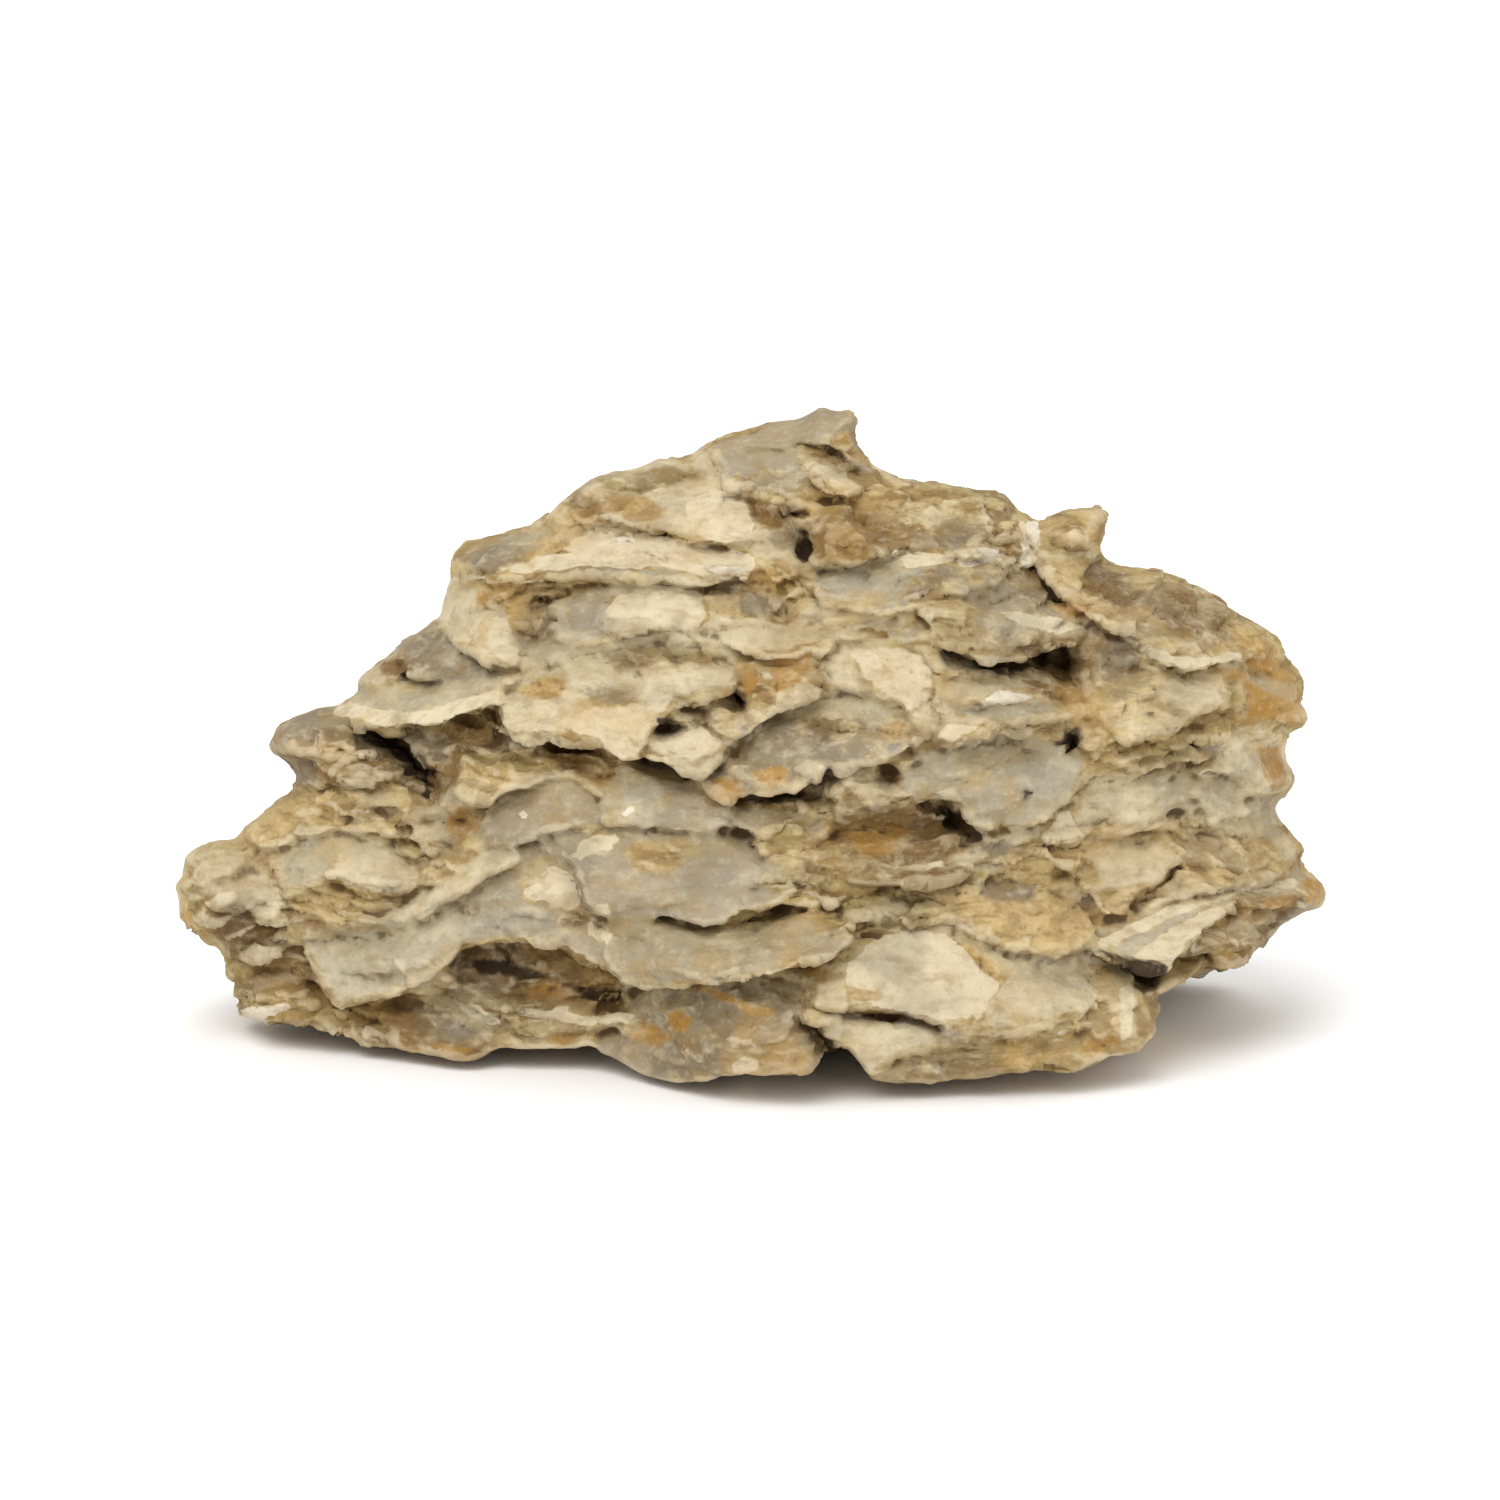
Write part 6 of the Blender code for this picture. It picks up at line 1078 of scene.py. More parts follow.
    ("knob_amber", "rust", 1.0, ((436, 1046), (456, 1042), (474, 1046), (462, 1054), (442, 1056))),
    ("oval_soft", "brown", 1.5, ((828, 844), (838, 828), (858, 818), (925, 808), (935, 818),
     (890, 824), (856, 834), (844, 850))),
    ("oval_tone", "brown", 14.0, ((828, 842), (850, 818), (925, 812), (935, 840), (880, 858),
     (838, 856))),
    ("oval_gold", "rust", 1.2, ((848, 840), (868, 829), (896, 827), (908, 836), (892, 846),
     (864, 849))),
    ("step_soft", "olive", 3.5, ((760, 880), (830, 872), (880, 880), (885, 925), (840, 928),
     (790, 905))),
    ("belly_soft", "tan", 4.0, ((1060, 842), (1180, 834), (1270, 838), (1280, 880), (1180, 892),
     (1120, 900), (1060, 880))),
    ("belly_middle", "cream", 2.0, ((1085, 848), (1120, 842), (1160, 846), (1184, 862), (1156, 884),
     (1104, 886))),
    ("belly_soft_high", "cream", 4.0, ((1085, 772), (1150, 774), (1235, 784), (1240, 812),
     (1150, 826), (1080, 820))),
    ("edge_soft", "cream", 4.0, ((1225, 735), (1262, 725), (1284, 745), (1292, 785), (1240, 800),
     (1215, 770))),
    ("nose_soft", "cream", 3.5, ((195, 868), (230, 848), (262, 850), (275, 880), (250, 900),
     (205, 895))),
    ("band_soft", "tan", 3.5, ((290, 895), (350, 890), (380, 896), (370, 918), (330, 926),
     (292, 918))),
    ("facet_soft", "cream", 3.0, ((850, 1016), (900, 1022), (930, 1036), (895, 1050), (870, 1070),
     (850, 1046))),
    ("edge_orange", "rust", 0.8, ((1262, 745), (1276, 745), (1281, 765), (1288, 782), (1272, 786),
     (1262, 768))),
    ("edge_flame", "rust", 0.4, ((1246, 694), (1262, 700), (1282, 712), (1304, 721), (1296, 727),
     (1270, 716), (1252, 706))),
    ("tip_flame", "rust", 0.5, ((1306, 888), (1320, 888), (1325, 897), (1318, 904), (1306, 900))),
    ("ledge_cool", "blue", 1.2, ((1112, 952), (1140, 925), (1200, 903), (1262, 890), (1240, 900),
     (1190, 918), (1150, 940), (1128, 958))),
    # Painted shade in the gap below the toe
    ("toe_gap_dark", "dark", 0.6, ((812, 1028), (830, 1034), (850, 1056), (864, 1077), (850, 1068),
     (828, 1046))),
)

# Lit or stained streaks: name, finish, half width in millimetres, the points that they run through
STREAKS = (
    ("shelf_lip", "pale", 1.6, ((612, 545), (660, 549), (700, 556), (745, 560))),
    ("swoosh_lip", "pale", 1.8, ((345, 716), (400, 714), (440, 711), (500, 700))),
    ("shoulder_lip", "pale", 1.2, ((1140, 655), (1180, 664), (1240, 662))),
    ("crumble_lip", "pale", 1.0, ((895, 553), (940, 560), (1000, 562))),
    ("seam_streak", "pale", 1.0, ((1022, 524), (1032, 548), (1046, 572))),
    ("long_streak", "cream", 2.0, ((400, 912), (440, 892), (480, 872), (518, 852))),
    ("boat_streak", "rust", 0.9, ((700, 988), (735, 1000), (768, 1016))),
    ("ledge_streak", "pale", 1.4, ((1100, 940), (1150, 918), (1210, 900), (1290, 886))),
    ("yellow_streak", "rust", 1.3, ((1215, 672), (1255, 690), (1295, 712))),
    ("plate_top_streak", "blue", 1.2, ((735, 744), (775, 716), (850, 694))),
    ("toe_slit_streak", "brown", 0.8, ((845, 1006), (875, 1009), (905, 1013), (930, 1021))),
)

# Finishes, each a mask painted on the skin; three to a colour attribute
FINISHES = (
    "cream", "lilac", "blue", "tan", "olive", "ochre",
    "slate", "brown", "rust", "pale", "white", "dark",
)
TONE_LAYERS = ("tone_a", "tone_b", "tone_c", "tone_d")

# How crumbly each finish is, from 0 to 1
CRUMB = {
    "cream": 0.24, "pale": 0.2, "lilac": 0.1, "blue": 0.22, "tan": 0.5, "olive": 0.85, "brown": 0.6,
    "rust": 0.28, "dark": 0.6, "ochre": 0.5, "slate": 0.45, "white": 0.26, "crumble": 1.0,
}

# Finishes of the loose tiles and blocks in turn, how far they cover, their tones and their even level
# of painted lip shade
TILE_FINISHES = ("tan", "tan", "cream", "lilac", "olive", "tan", "lilac", "cream", "crumble", "blue")
TILE_COVER = 0.8
TILE_TONES = 1000
TILE_LIP_SHADE = 0.4

# Step from one flake's tone to the next, a share that doesn't repeat
TONE_STEP = 0.618

# Where the front's finishes end behind the ridge, in millimetres, and how the border wanders
FRONT_SPAN = (9.0, 1.0)
BORDER_WANDER = 7.0
BORDER_WANDER_SIZE = 14.0

# How sharply each finish ends: where its mask starts to show, where it is full, how far it covers
BORDERS = {
    "cream": (0.34, 0.6, 0.85), "lilac": (0.3, 0.62, 0.88), "blue": (0.25, 0.8, 0.85),
    "tan": (0.25, 0.8, 0.75), "olive": (0.2, 0.85, 0.85), "ochre": (0.2, 1.0, 0.75),
    "slate": (0.2, 0.85, 0.75), "brown": (0.2, 0.9, 0.88), "rust": (0.2, 0.95, 0.85),
    "pale": (0.4, 0.58, 0.8), "white": (0.4, 0.6, 0.75), "dark": (0.2, 0.9, 0.95),
}
CRISP_FINISHES = ("cream", "pale", "white")

# How far noise shakes the borders, and the share of it that the crisp finishes take
SHAKE = 1.5
CRISP_SHARE = 0.35

# Colours in sRGB, 0 to 255
COLOURS = {
    "cream": (209, 195, 163),
    "lilac": (161, 149, 129),
    "blue": (160, 155, 138),
    "tan": (199, 174, 122),
    "olive": (153, 136, 88),
    "ochre": (190, 154, 90),
    "slate": (122, 113, 98),
    "brown": (106, 77, 36),
    "rust": (165, 119, 42),
    "pale": (219, 204, 173),
    "white": (232, 224, 206),
    # dark: near black for the painted shade in holes, slits and below lips
    "dark": (44, 28, 10),
    "clay": (205, 185, 140),
    "clay_dark": (146, 120, 74),
    # crease: grime and painted shade in creases and hollows, and freckles
    "crease": (80, 54, 22),
    # edge: powdery pale wear and painted highlight on convex edges
    "edge": (214, 199, 168),
}
WHITE = (1.0, 1.0, 1.0, 1.0)

# Noises of the clay: name, whether it is squashed along the layers, size in millimetres, detail,
# roughness
NOISES = (
    ("ragged", False, 3.2, 3.0, 0.6),
    ("broad", True, 15.0, 4.0, 0.6),
    ("medium", True, 5.0, 5.0, 0.68),
    ("fine", False, 1.3, 4.0, 0.65),
    ("speck", False, 0.8, 2.0, 0.5),
    ("stain", True, 22.0, 5.0, 0.62),
    ("shade", True, 8.0, 3.0, 0.5),
    ("warm", False, 19.0, 2.0, 0.5),
    ("grain", False, 2.4, 3.0, 0.6),
)
SQUASH = (1.0, 1.0, 2.0)

# Masks that the skin carries besides the finishes: attribute, the names of its three channels
MASK_LAYERS = (
    ("relief", ("edge", "crease", "crumb")),
    # wash: each flake's tone, the painted shade below the lips, and the broad hollows
    ("facet_tones", ("large_tone", "middle_tone", "lamina")),
    ("wash", ("piece_tone", "dirt", "hollow")),
)

# Tints of the clay: field, where it starts, where it is full, the most that it covers, colour
BROAD_TINTS = (
    ("broad", 0.53, 0.7, 0.4, "ochre"),
    ("broad", 0.46, 0.32, 0.4, "lilac"),
    ("stain", 0.55, 0.75, 0.4, "ochre"),
    ("piece_tone", 0.45, 0.0, 0.3, "clay_dark"),
    ("piece_tone", 0.6, 1.0, 0.3, "cream"),
)
CLOUD_TINTS = (
    ("shade", 0.5, 0.3, 0.4, "clay_dark"),
    ("shade", 0.56, 0.74, 0.25, "pale"),
    ("warm", 0.55, 0.7, 0.4, "ochre"),
    ("warm", 0.45, 0.3, 0.4, "slate"),
    ("grain", 0.5, 0.3, 0.3, "clay_dark"),
    ("grain", 0.52, 0.7, 0.22, "pale"),
)
# Darkening in creases and broad hollows: partly grime, partly painted shade
CREASE_TINTS = (
    ("filth", 0.42, 1.1, 0.7, "crease"),
    ("hollow", 0.15, 1.0, 0.6, "crease"),
)

# Tints that are full in crumbly places alone: field, start, full, most, colour, then the crumb at
# which the tint is least and full, and its least share
FACET_TINTS = (
    ("facet", 0.52, 0.1, 0.6, "clay_dark", 0.0, 0.8, 0.25),
    ("facet", 0.6, 0.95, 0.5, "cream", 0.0, 0.6, 0.3),
    ("lamina", 0.35, 0.0, 0.6, "brown", 0.15, 0.7, 0.0),
)
MOTTLE_TINTS = (("mottle", 0.25, 0.15, 0.45, "clay_dark", 0.2, 0.7, 0.12),)
FRECKLE_TINTS = (("speck", 0.67, 0.75, 0.35, "crease", 0.2, 0.6, 0.0),)

# Fine dark lines along the layers
LINE_INPUTS = {
    "Scale": 95.0, "Distortion": 9.0, "Detail": 3.0, "Detail Scale": 0.6, "Detail Roughness": 0.6,
}

# Sheen and grain of the clay
CLAY_ROUGHNESS = (0.62, 0.93)
CLAY_SPECULAR = 0.3
BUMP_STRENGTH = 0.6
BUMP_DISTANCE = 0.0008

# Floor, surround and camera
FLOOR_HALF_WIDTH = 6.0
FLOOR_ROUGHNESS = 0.9
FLOOR_SPECULAR = 0.1
SURROUND_STRENGTH = 0.81
SENSOR_WIDTH = 36.0
CLIP_START = 0.05
CLIP_END = 30.0

# Lamps: name, the way that each shines from, softness in degrees, strength
LAMPS = (
    ("key", (-0.34, -0.78, 1.2), 46.0, 1.46),
    ("fill", (0.8, -0.9, 0.4), 60.0, 0.32),
    ("back", (0.2, 0.9, 1.0), 50.0, 0.4),
)


def front_view(points):
    """Photo pixels as millimetres right of the middle and up from the foot."""
    places = np.array(points, dtype=float)
    right = (places[:, 0] - MIDDLE_PIXEL) * PIXEL
    up = (LOWEST_PIXEL - places[:, 1]) * PIXEL - FOOT_DROP
    return np.column_stack((right, up))


def closed_outline():
    """The whole outline of the front view, from the foot's left end over the rim and back."""
    return front_view(RIM + FOOT + RIM[:1])


def smooth(low, high, value):
    """A soft step from 0 at low to 1 at high."""
    share = np.clip((value - low) / (high - low), 0.0, 1.0)
    return share * share * (3.0 - 2.0 * share)


def blend(values, near, cover, new):
    """Moves the values at some places toward new ones, as far as these cover."""
    values[near] = values[near] * (1.0 - cover) + new * cover


def lattice_noise(points, size, seed):
    """Smooth noise between -1 and 1, from random values on a lattice of the given size."""
    values = np.random.default_rng(seed).uniform(-1.0, 1.0, (NOISE_CELLS,) * 3)
    scaled = points / size
    cell = np.floor(scaled).astype(int)
    part = scaled - cell
    part = part * part * (3.0 - 2.0 * part)
    total = np.zeros(len(points))
    for step in CORNERS:
        corner = np.abs(1 - np.array(step) - part).prod(axis=1)
        total += corner * values[tuple(((cell + step) % NOISE_CELLS).T)]
    return total


def flat_places(right, up):
    """Places of the front view as points in space, for noise."""
    return np.column_stack((right, up, np.zeros(len(right))))


def distance_to_line(right, up, line):
    """Distance from each place to an open line of points."""
    nearest = np.full(len(right), FAR_AWAY)
    for (x1, y1), (x2, y2) in zip(line[:-1], line[1:]):
        along_x, along_y = x2 - x1, y2 - y1
        length_squared = max(along_x ** 2 + along_y ** 2, 1e-9)
        share = np.clip(((right - x1) * along_x + (up - y1) * along_y) / length_squared, 0.0, 1.0)
        gap = np.hypot(right - x1 - share * along_x, up - y1 - share * along_y)
        nearest = np.minimum(nearest, gap)
    return nearest


def inside_outline(right, up, outline):
    """True for the places that lie within a closed outline."""
    inside = np.zeros(len(right), dtype=bool)
    for (x1, y1), (x2, y2) in zip(outline, np.roll(outline, -1, axis=0)):
        if y1 == y2:
            continue
        crosses = ((y1 > up) != (y2 > up)) & (right < (x2 - x1) * (up - y1) / (y2 - y1) + x1)
        inside ^= crosses
    return inside


def depth_inside(right, up, outline):
    """Distance to the outline, positive inside it and negative outside."""
    closed = np.vstack((outline, outline[:1]))
    gap = distance_to_line(right, up, closed)
    return np.where(inside_outline(right, up, outline), gap, -gap)


def share_of_drop(right, up, outline):
    """0 at the outline's upper edge and 1 at its lower edge, column by column."""
    highest = np.full(len(right), -FAR_AWAY)
    lowest = np.full(len(right), FAR_AWAY)
    for (x1, y1), (x2, y2) in zip(outline, np.roll(outline, -1, axis=0)):
        if x1 == x2:
            continue
        spans = (right >= min(x1, x2)) & (right <= max(x1, x2))
        edge = y1 + (y2 - y1) * (right - x1) / (x2 - x1)
        highest = np.where(spans, np.maximum(highest, edge), highest)
        lowest = np.where(spans, np.minimum(lowest, edge), lowest)
    return np.clip((highest - up) / np.maximum(highest - lowest, 1.0), 0.0, 1.0)


def near_outline(right, up, outline, margin):
    """Which places lie in the outline's box, widened by a margin."""
    low, high = outline.min(axis=0) - margin, outline.max(axis=0) + margin
    return np.nonzero((right > low[0]) & (right < high[0]) & (up > low[1]) & (up < high[1]))[0]


def rough_places(right, up):
    """Places shifted by noise, which makes every outline drawn through them ragged."""
    flat = flat_places(right, up)
    for size, right_reach, up_reach, right_seed, up_seed in RAGGED_WAVES:
        right = right + right_reach * lattice_noise(flat, size, SEED + right_seed)
        up = up + up_reach * lattice_noise(flat, size, SEED + up_seed)
    return right, up


def nearest_tile(right, up, seed):
    """The tile that each place belongs to, its height over the tile's middle, and the tiles' rises."""
    rng = np.random.default_rng(seed)
    spots = np.column_stack([rng.uniform(*span, TILE_COUNT) for span in TILE_FIELD])
    nearest = np.full(len(right), FAR_AWAY)
    tile = np.zeros(len(right), dtype=int)
    height = np.zeros(len(right))
    for number, (spot_right, spot_up) in enumerate(spots):
        across = (right - spot_right) / TILE_SIZE[0]
        above = (up - spot_up) / TILE_SIZE[1]
        gap = across ** 2 + above ** 2
        closer = gap < nearest
        nearest[closer] = gap[closer]
        tile[closer] = number
        height[closer] = above[closer]
    return tile, height, rng.uniform(*TILE_RISE, TILE_COUNT)


def tile_relief(right, up, seed, height):
    """Random tiles whose lower edges stand proud, as layered flakes do."""
    tile, above, rises = nearest_tile(right, up, seed)
    return height * rises[tile] * np.clip(TILE_MIDDLE - TILE_FALL * above, 0.0, 1.0)


def signed_gap(right, up, line):
    """Distance to an open line, positive on the left of its way, and the share of the way along it."""
    nearest = np.full(len(right), FAR_AWAY)
    side = np.ones(len(right))
    way = np.zeros(len(right))
    steps = np.hypot(*np.diff(line, axis=0).T)
    walked = 0.0
    for (x1, y1), (x2, y2), step in zip(line[:-1], line[1:], steps):
        along_x, along_y = x2 - x1, y2 - y1
        share = np.clip(((right - x1) * along_x + (up - y1) * along_y) / step ** 2, 0.0, 1.0)
        off_x, off_y = right - x1 - share * along_x, up - y1 - share * along_y
        gap = np.hypot(off_x, off_y)
        closer = gap < nearest
        nearest[closer] = gap[closer]
        side[closer] = np.sign(along_x * off_y - along_y * off_x)[closer]
        way[closer] = walked + share[closer] * step
        walked += step
    return nearest * side, way / walked


def ledge_relief(right, up, line, height, reach):
    """A step along a line: proud on one side, a little sunken on the other, dying out all round."""
    gap, way = signed_gap(right, up, line)
    taper = smooth(0.0, LEDGE_TAPER, way) * smooth(1.0, 1.0 - LEDGE_TAPER, way)
    proud = np.where(gap > 0.0, 1.0 - smooth(0.0, reach, gap), 0.0)
    sunken = np.where(gap > 0.0, 0.0, 1.0 - smooth(0.0, 0.5 * reach, -gap))
    return height * taper * (proud - LEDGE_SINK * sunken)


def random_chips(right, up):
    """Many short steps scattered over the front, lying roughly along the layers."""
    rng = np.random.default_rng(SEED + 60)
    relief = np.zeros(len(right))
    for _ in range(CHIP_COUNT):
        middle = rng.uniform(*CHIP_FIELD)
        angle = rng.normal(np.radians(CHIP_SLANT), np.radians(CHIP_SLANT_SPREAD))
        length = rng.uniform(*CHIP_LENGTH)
        bow = rng.uniform(-CHIP_BOW, CHIP_BOW) * length
        height = rng.uniform(*CHIP_HEIGHT_SHARE) * CHIP_HEIGHT
        along = np.array((np.cos(angle), np.sin(angle)))
        beside = np.array((-along[1], along[0]))
        line = np.array([middle + shift * length * along + (0.25 - shift ** 2) * 4.0 * bow * beside
                         for shift in CHIP_STATIONS])
        reach = height * CHIP_REACH
        near = near_outline(right, up, line, reach)
        relief[near] += ledge_relief(right[near], up[near], line, height, reach)
    return relief


def swell_share(right, up, middle, half_width, half_height, turn):
    """How far each place lies from the middle of a turned ellipse, 1 on its rim."""
    centre = front_view((middle,))[0]
    away_right, away_up = right - centre[0], up - centre[1]
    angle = np.radians(-turn)
    along = (away_right * np.cos(angle) + away_up * np.sin(angle)) / (half_width * PIXEL)
    beside = (away_up * np.cos(angle) - away_right * np.sin(angle)) / (half_height * PIXEL)
    return np.hypot(along, beside)


def raise_flakes(plain_right, plain_up, right, up, relief):
    """Lays the flakes over the relief in order, and gives how crumbly each place is."""
    crumb = np.ones(len(right))
    for _, finish, top_raise, low_raise, crown, pixels in FLAKES:
        outline = front_view(pixels)
        near = near_outline(right, up, outline, NEAR_MARGIN)
        share = 0.3 + 0.7 * CRUMB[finish]
        near_right = plain_right[near] + share * (right[near] - plain_right[near])
        near_up = plain_up[near] + share * (up[near] - plain_up[near])
        depth = depth_inside(near_right, near_up, outline)
        drop = share_of_drop(near_right, near_up, outline)
        raised = top_raise + (low_raise - top_raise) * drop ** DROP_POWER
        raised = raised + crown * smooth(0.0, CROWN_REACH, depth)
        cover = smooth(-EDGE_SOFTNESS, EDGE_SOFTNESS, depth)
        blend(relief, near, cover, FLAKE_SHARE * raised)
        blend(crumb, near, cover, CRUMB[finish])
    return crumb


def cut_openings(right, up, relief):
    """Cuts the hollows, the pits and the slits into the relief."""
    for _, depth_mm, wall, pixels in HOLLOWS:
        outline = front_view(pixels)
        near = near_outline(right, up, outline, NEAR_MARGIN)
        inside = depth_inside(right[near], up[near], outline)
        relief[near] -= depth_mm * smooth(-HOLLOW_LIP, wall, inside)
    for _, middle, half_width, half_height, depth_mm in PITS:
        away = swell_share(right, up, middle, half_width, half_height, 0)
        relief -= depth_mm * smooth(*PIT_SPAN, away)
    for _, half_width, depth_mm, pixels in SLITS:
        line = front_view(pixels)
        near = near_outline(right, up, line, half_width + NEAR_MARGIN)
        gap = distance_to_line(right[near], up[near], line)
        relief[near] -= depth_mm * smooth(half_width + SLIT_LIP, half_width * SLIT_FLOOR, gap)


def front_relief(plain_right, plain_up):
    """How far the front stands out from the blown-up slab, in millimetres."""
    right, up = rough_places(plain_right, plain_up)
    relief = tile_relief(right, up, SEED + 4, FRONT_TILE_RAISE)
    crumb = raise_flakes(plain_right, plain_up, right, up, relief)
    relief += smooth(*CHIP_CRUMB, crumb) * random_chips(right, up)
    for _, height, reach, pixels in LEDGES:
        line = front_view(pixels)
        near = near_outline(right, up, line, reach)
        relief[near] += ledge_relief(right[near], up[near], line, height, reach)
    for _, middle, half_width, half_height, turn, height in SWELLS:
        away = swell_share(right, up, middle, half_width, half_height, turn)
        relief += height * smooth(*SWELL_SPAN, away)
    cut_openings(right, up, relief)
    return relief


def make_slab():
    """A flat slab with the outline of the front view, in the X-Z plane."""
    outline = front_view(RIM + FOOT)
    count = len(outline)
    near = [(right, -SLAB_HALF_THICKNESS, up) for right, up in outline]
    far = [(right, SLAB_HALF_THICKNESS, up) for right, up in outline]
    faces = [tuple(range(count)), tuple(reversed(range(count, 2 * count)))]
    for step in range(count):
        after = (step + 1) % count
        faces.append((after, step, step + count, after + count))
    mesh = bpy.data.meshes.new("stone_skin")
    mesh.from_pydata(near + far, [], faces)
    slab = bpy.data.objects.new("stone_skin", mesh)
    bpy.context.collection.objects.link(slab)
    return slab


def apply_modifiers(thing):
    """Swaps an object's mesh for the one that its modifiers make."""
    shown = thing.evaluated_get(bpy.context.evaluated_depsgraph_get())
    old_mesh = thing.data
    thing.data = bpy.data.meshes.new_from_object(shown)
    thing.modifiers.clear()
    bpy.data.meshes.remove(old_mesh)


def remesh(thing, spacing):
    """Wraps the object in an even skin of small faces."""
    modifier = thing.modifiers.new("even_skin", "REMESH")
    modifier.mode = "VOXEL"
    modifier.voxel_size = spacing
    apply_modifiers(thing)


def joined_vertices(unseen):
    """Takes one vertex and all that edges join to it out of a set, and gives them as a list."""
    waiting = [unseen.pop()]
    body = []
    while waiting:
        vertex = waiting.pop()
        body.append(vertex)
        for edge in vertex.link_edges:
            other = edge.other_vert(vertex)
            if other in unseen:
                unseen.remove(other)
                waiting.append(other)
    return body


def keep_largest_body(thing):
    """Drops the crumbs that a remesh leaves loose beside the stone."""
    shape = bmesh.new()
    shape.from_mesh(thing.data)
    unseen = set(shape.verts)
    bodies = []
    while unseen:
        bodies.append(joined_vertices(unseen))
    bodies.sort(key=len)
    for crumbs in bodies[:-1]:
        bmesh.ops.delete(shape, geom=crumbs, context="VERTS")
    shape.to_mesh(thing.data)
    shape.free()


def limit_triangles(thing, behind):
    """Collapses the skin to the face budget, flat stretches and the back first."""
    group = thing.vertex_groups.new(name="behind")
    for share in (0.5, 1.0):
        chosen = np.nonzero((behind >= 0.5) == (share == 1.0))[0]
        group.add(chosen.tolist(), share, "REPLACE")
    thing.data.calc_loop_triangles()
    modifier = thing.modifiers.new("fewer_faces", "DECIMATE")
    modifier.vertex_group = "behind"
    modifier.vertex_group_factor = BACK_COARSENESS
    modifier.ratio = min(1.0, MAX_TRIANGLES / len(thing.data.loop_triangles))
    modifier.use_collapse_triangulate = True
    apply_modifiers(thing)


def read_vertices(thing, field):
    """One field of all vertices, three numbers a row."""
    values = np.empty(len(thing.data.vertices) * 3)
    thing.data.vertices.foreach_get(field, values)
    return values.reshape(-1, 3)


def write_points(thing, points):
    """Moves all vertices to the given places."""
    thing.data.vertices.foreach_set("co", points.ravel())
    thing.data.update()


def ridge_depth(right, up):
    """Depth of the rim behind the picture plane: it leans back as it rises, and wanders."""
    setback = RIDGE_SETBACK * np.clip(up / RIDGE_HEIGHT, 0.0, 1.0)
    height = (up - setback * np.sin(VIEW_TILT)) / np.cos(VIEW_TILT)
    swing = RIDGE_SWING * lattice_noise(flat_places(right, up), RIDGE_SWING_SIZE, SEED + 5)
    return setback * np.cos(VIEW_TILT) - height * np.sin(VIEW_TILT) + swing


def to_world(right, up, depth):
    """A place of the front view at a depth, carried out along its line of sight."""
    spread = 1.0 + depth / VIEW_DISTANCE
    right = right * spread
    up = MIDDLE_UP + (up - MIDDLE_UP) * spread
    back = up * np.sin(VIEW_TILT) + depth * np.cos(VIEW_TILT)
    height = up * np.cos(VIEW_TILT) - depth * np.sin(VIEW_TILT)
    return np.column_stack((right, back, height))


def to_front_view(points):
    """The front view's right, up and depth of places in space."""
    up = points[:, 1] * np.sin(VIEW_TILT) + points[:, 2] * np.cos(VIEW_TILT)
    depth = points[:, 1] * np.cos(VIEW_TILT) - points[:, 2] * np.sin(VIEW_TILT)
    spread = 1.0 + depth / VIEW_DISTANCE
    return points[:, 0] / spread, MIDDLE_UP + (up - MIDDLE_UP) / spread, depth


def blow_up(points):
    """Gives the slab its real depth, its relief and its foot."""
    right, across, up = points[:, 0], points[:, 1] / SLAB_HALF_THICKNESS, points[:, 2]
    rim_gap = distance_to_line(right, up, front_view(RIM))
    fullness = np.minimum(rim_gap / FULL_DEPTH_REACH, FULLNESS_LIMIT) ** DEPTH_POWER
    fade = smooth(0.0, RIM_FADE, rim_gap)
    relief = front_relief(right, up) * fade
    back_relief = tile_relief(right, up, SEED + 9, BACK_TILE_RAISE) * fade
    flat = flat_places(right, up)
    swell = 1.0 + DEPTH_SWING * lattice_noise(flat, FRONT_SWING_SIZE, SEED + 6)
    back_swell = 1.0 + DEPTH_SWING * lattice_noise(flat, BACK_SWING_SIZE, SEED + 7)
    front = RIM_HALF_THICKNESS + FRONT_DEPTH * fullness * swell + relief
    back = RIM_HALF_THICKNESS + BACK_DEPTH * fullness * back_swell + back_relief
    behind_rim = np.where(across < 0.0, across * front, across * back)
    depth = ridge_depth(right, up) + behind_rim
    behind_front = behind_rim + front
    right, up = cut_side_ledges(right, up, depth, rim_gap, behind_rim, behind_front)
    toward_front = smooth(0.0, 1.0, -across)
    up = up - DOWNWARD_SHEAR * relief * toward_front
    return raise_foot(to_world(right, up, depth))


def raise_foot(points):
    """Rounds the underside up from the resting spot to the stone's lower edge."""
    reach = np.hypot(points[:, 0] / RESTING_SPOT[0], points[:, 1] / RESTING_SPOT[1])
    flat = points * (1.0, 1.0, 0.0)
    bumps = 1.0 + FOOT_SWING * lattice_noise(flat, FOOT_SWING_SIZE, SEED + 8)
    lift = FOOT_LIFT * smooth(*FOOT_RISE, reach) * bumps
    points[:, 2] = np.maximum(points[:, 2], lift)
    return points


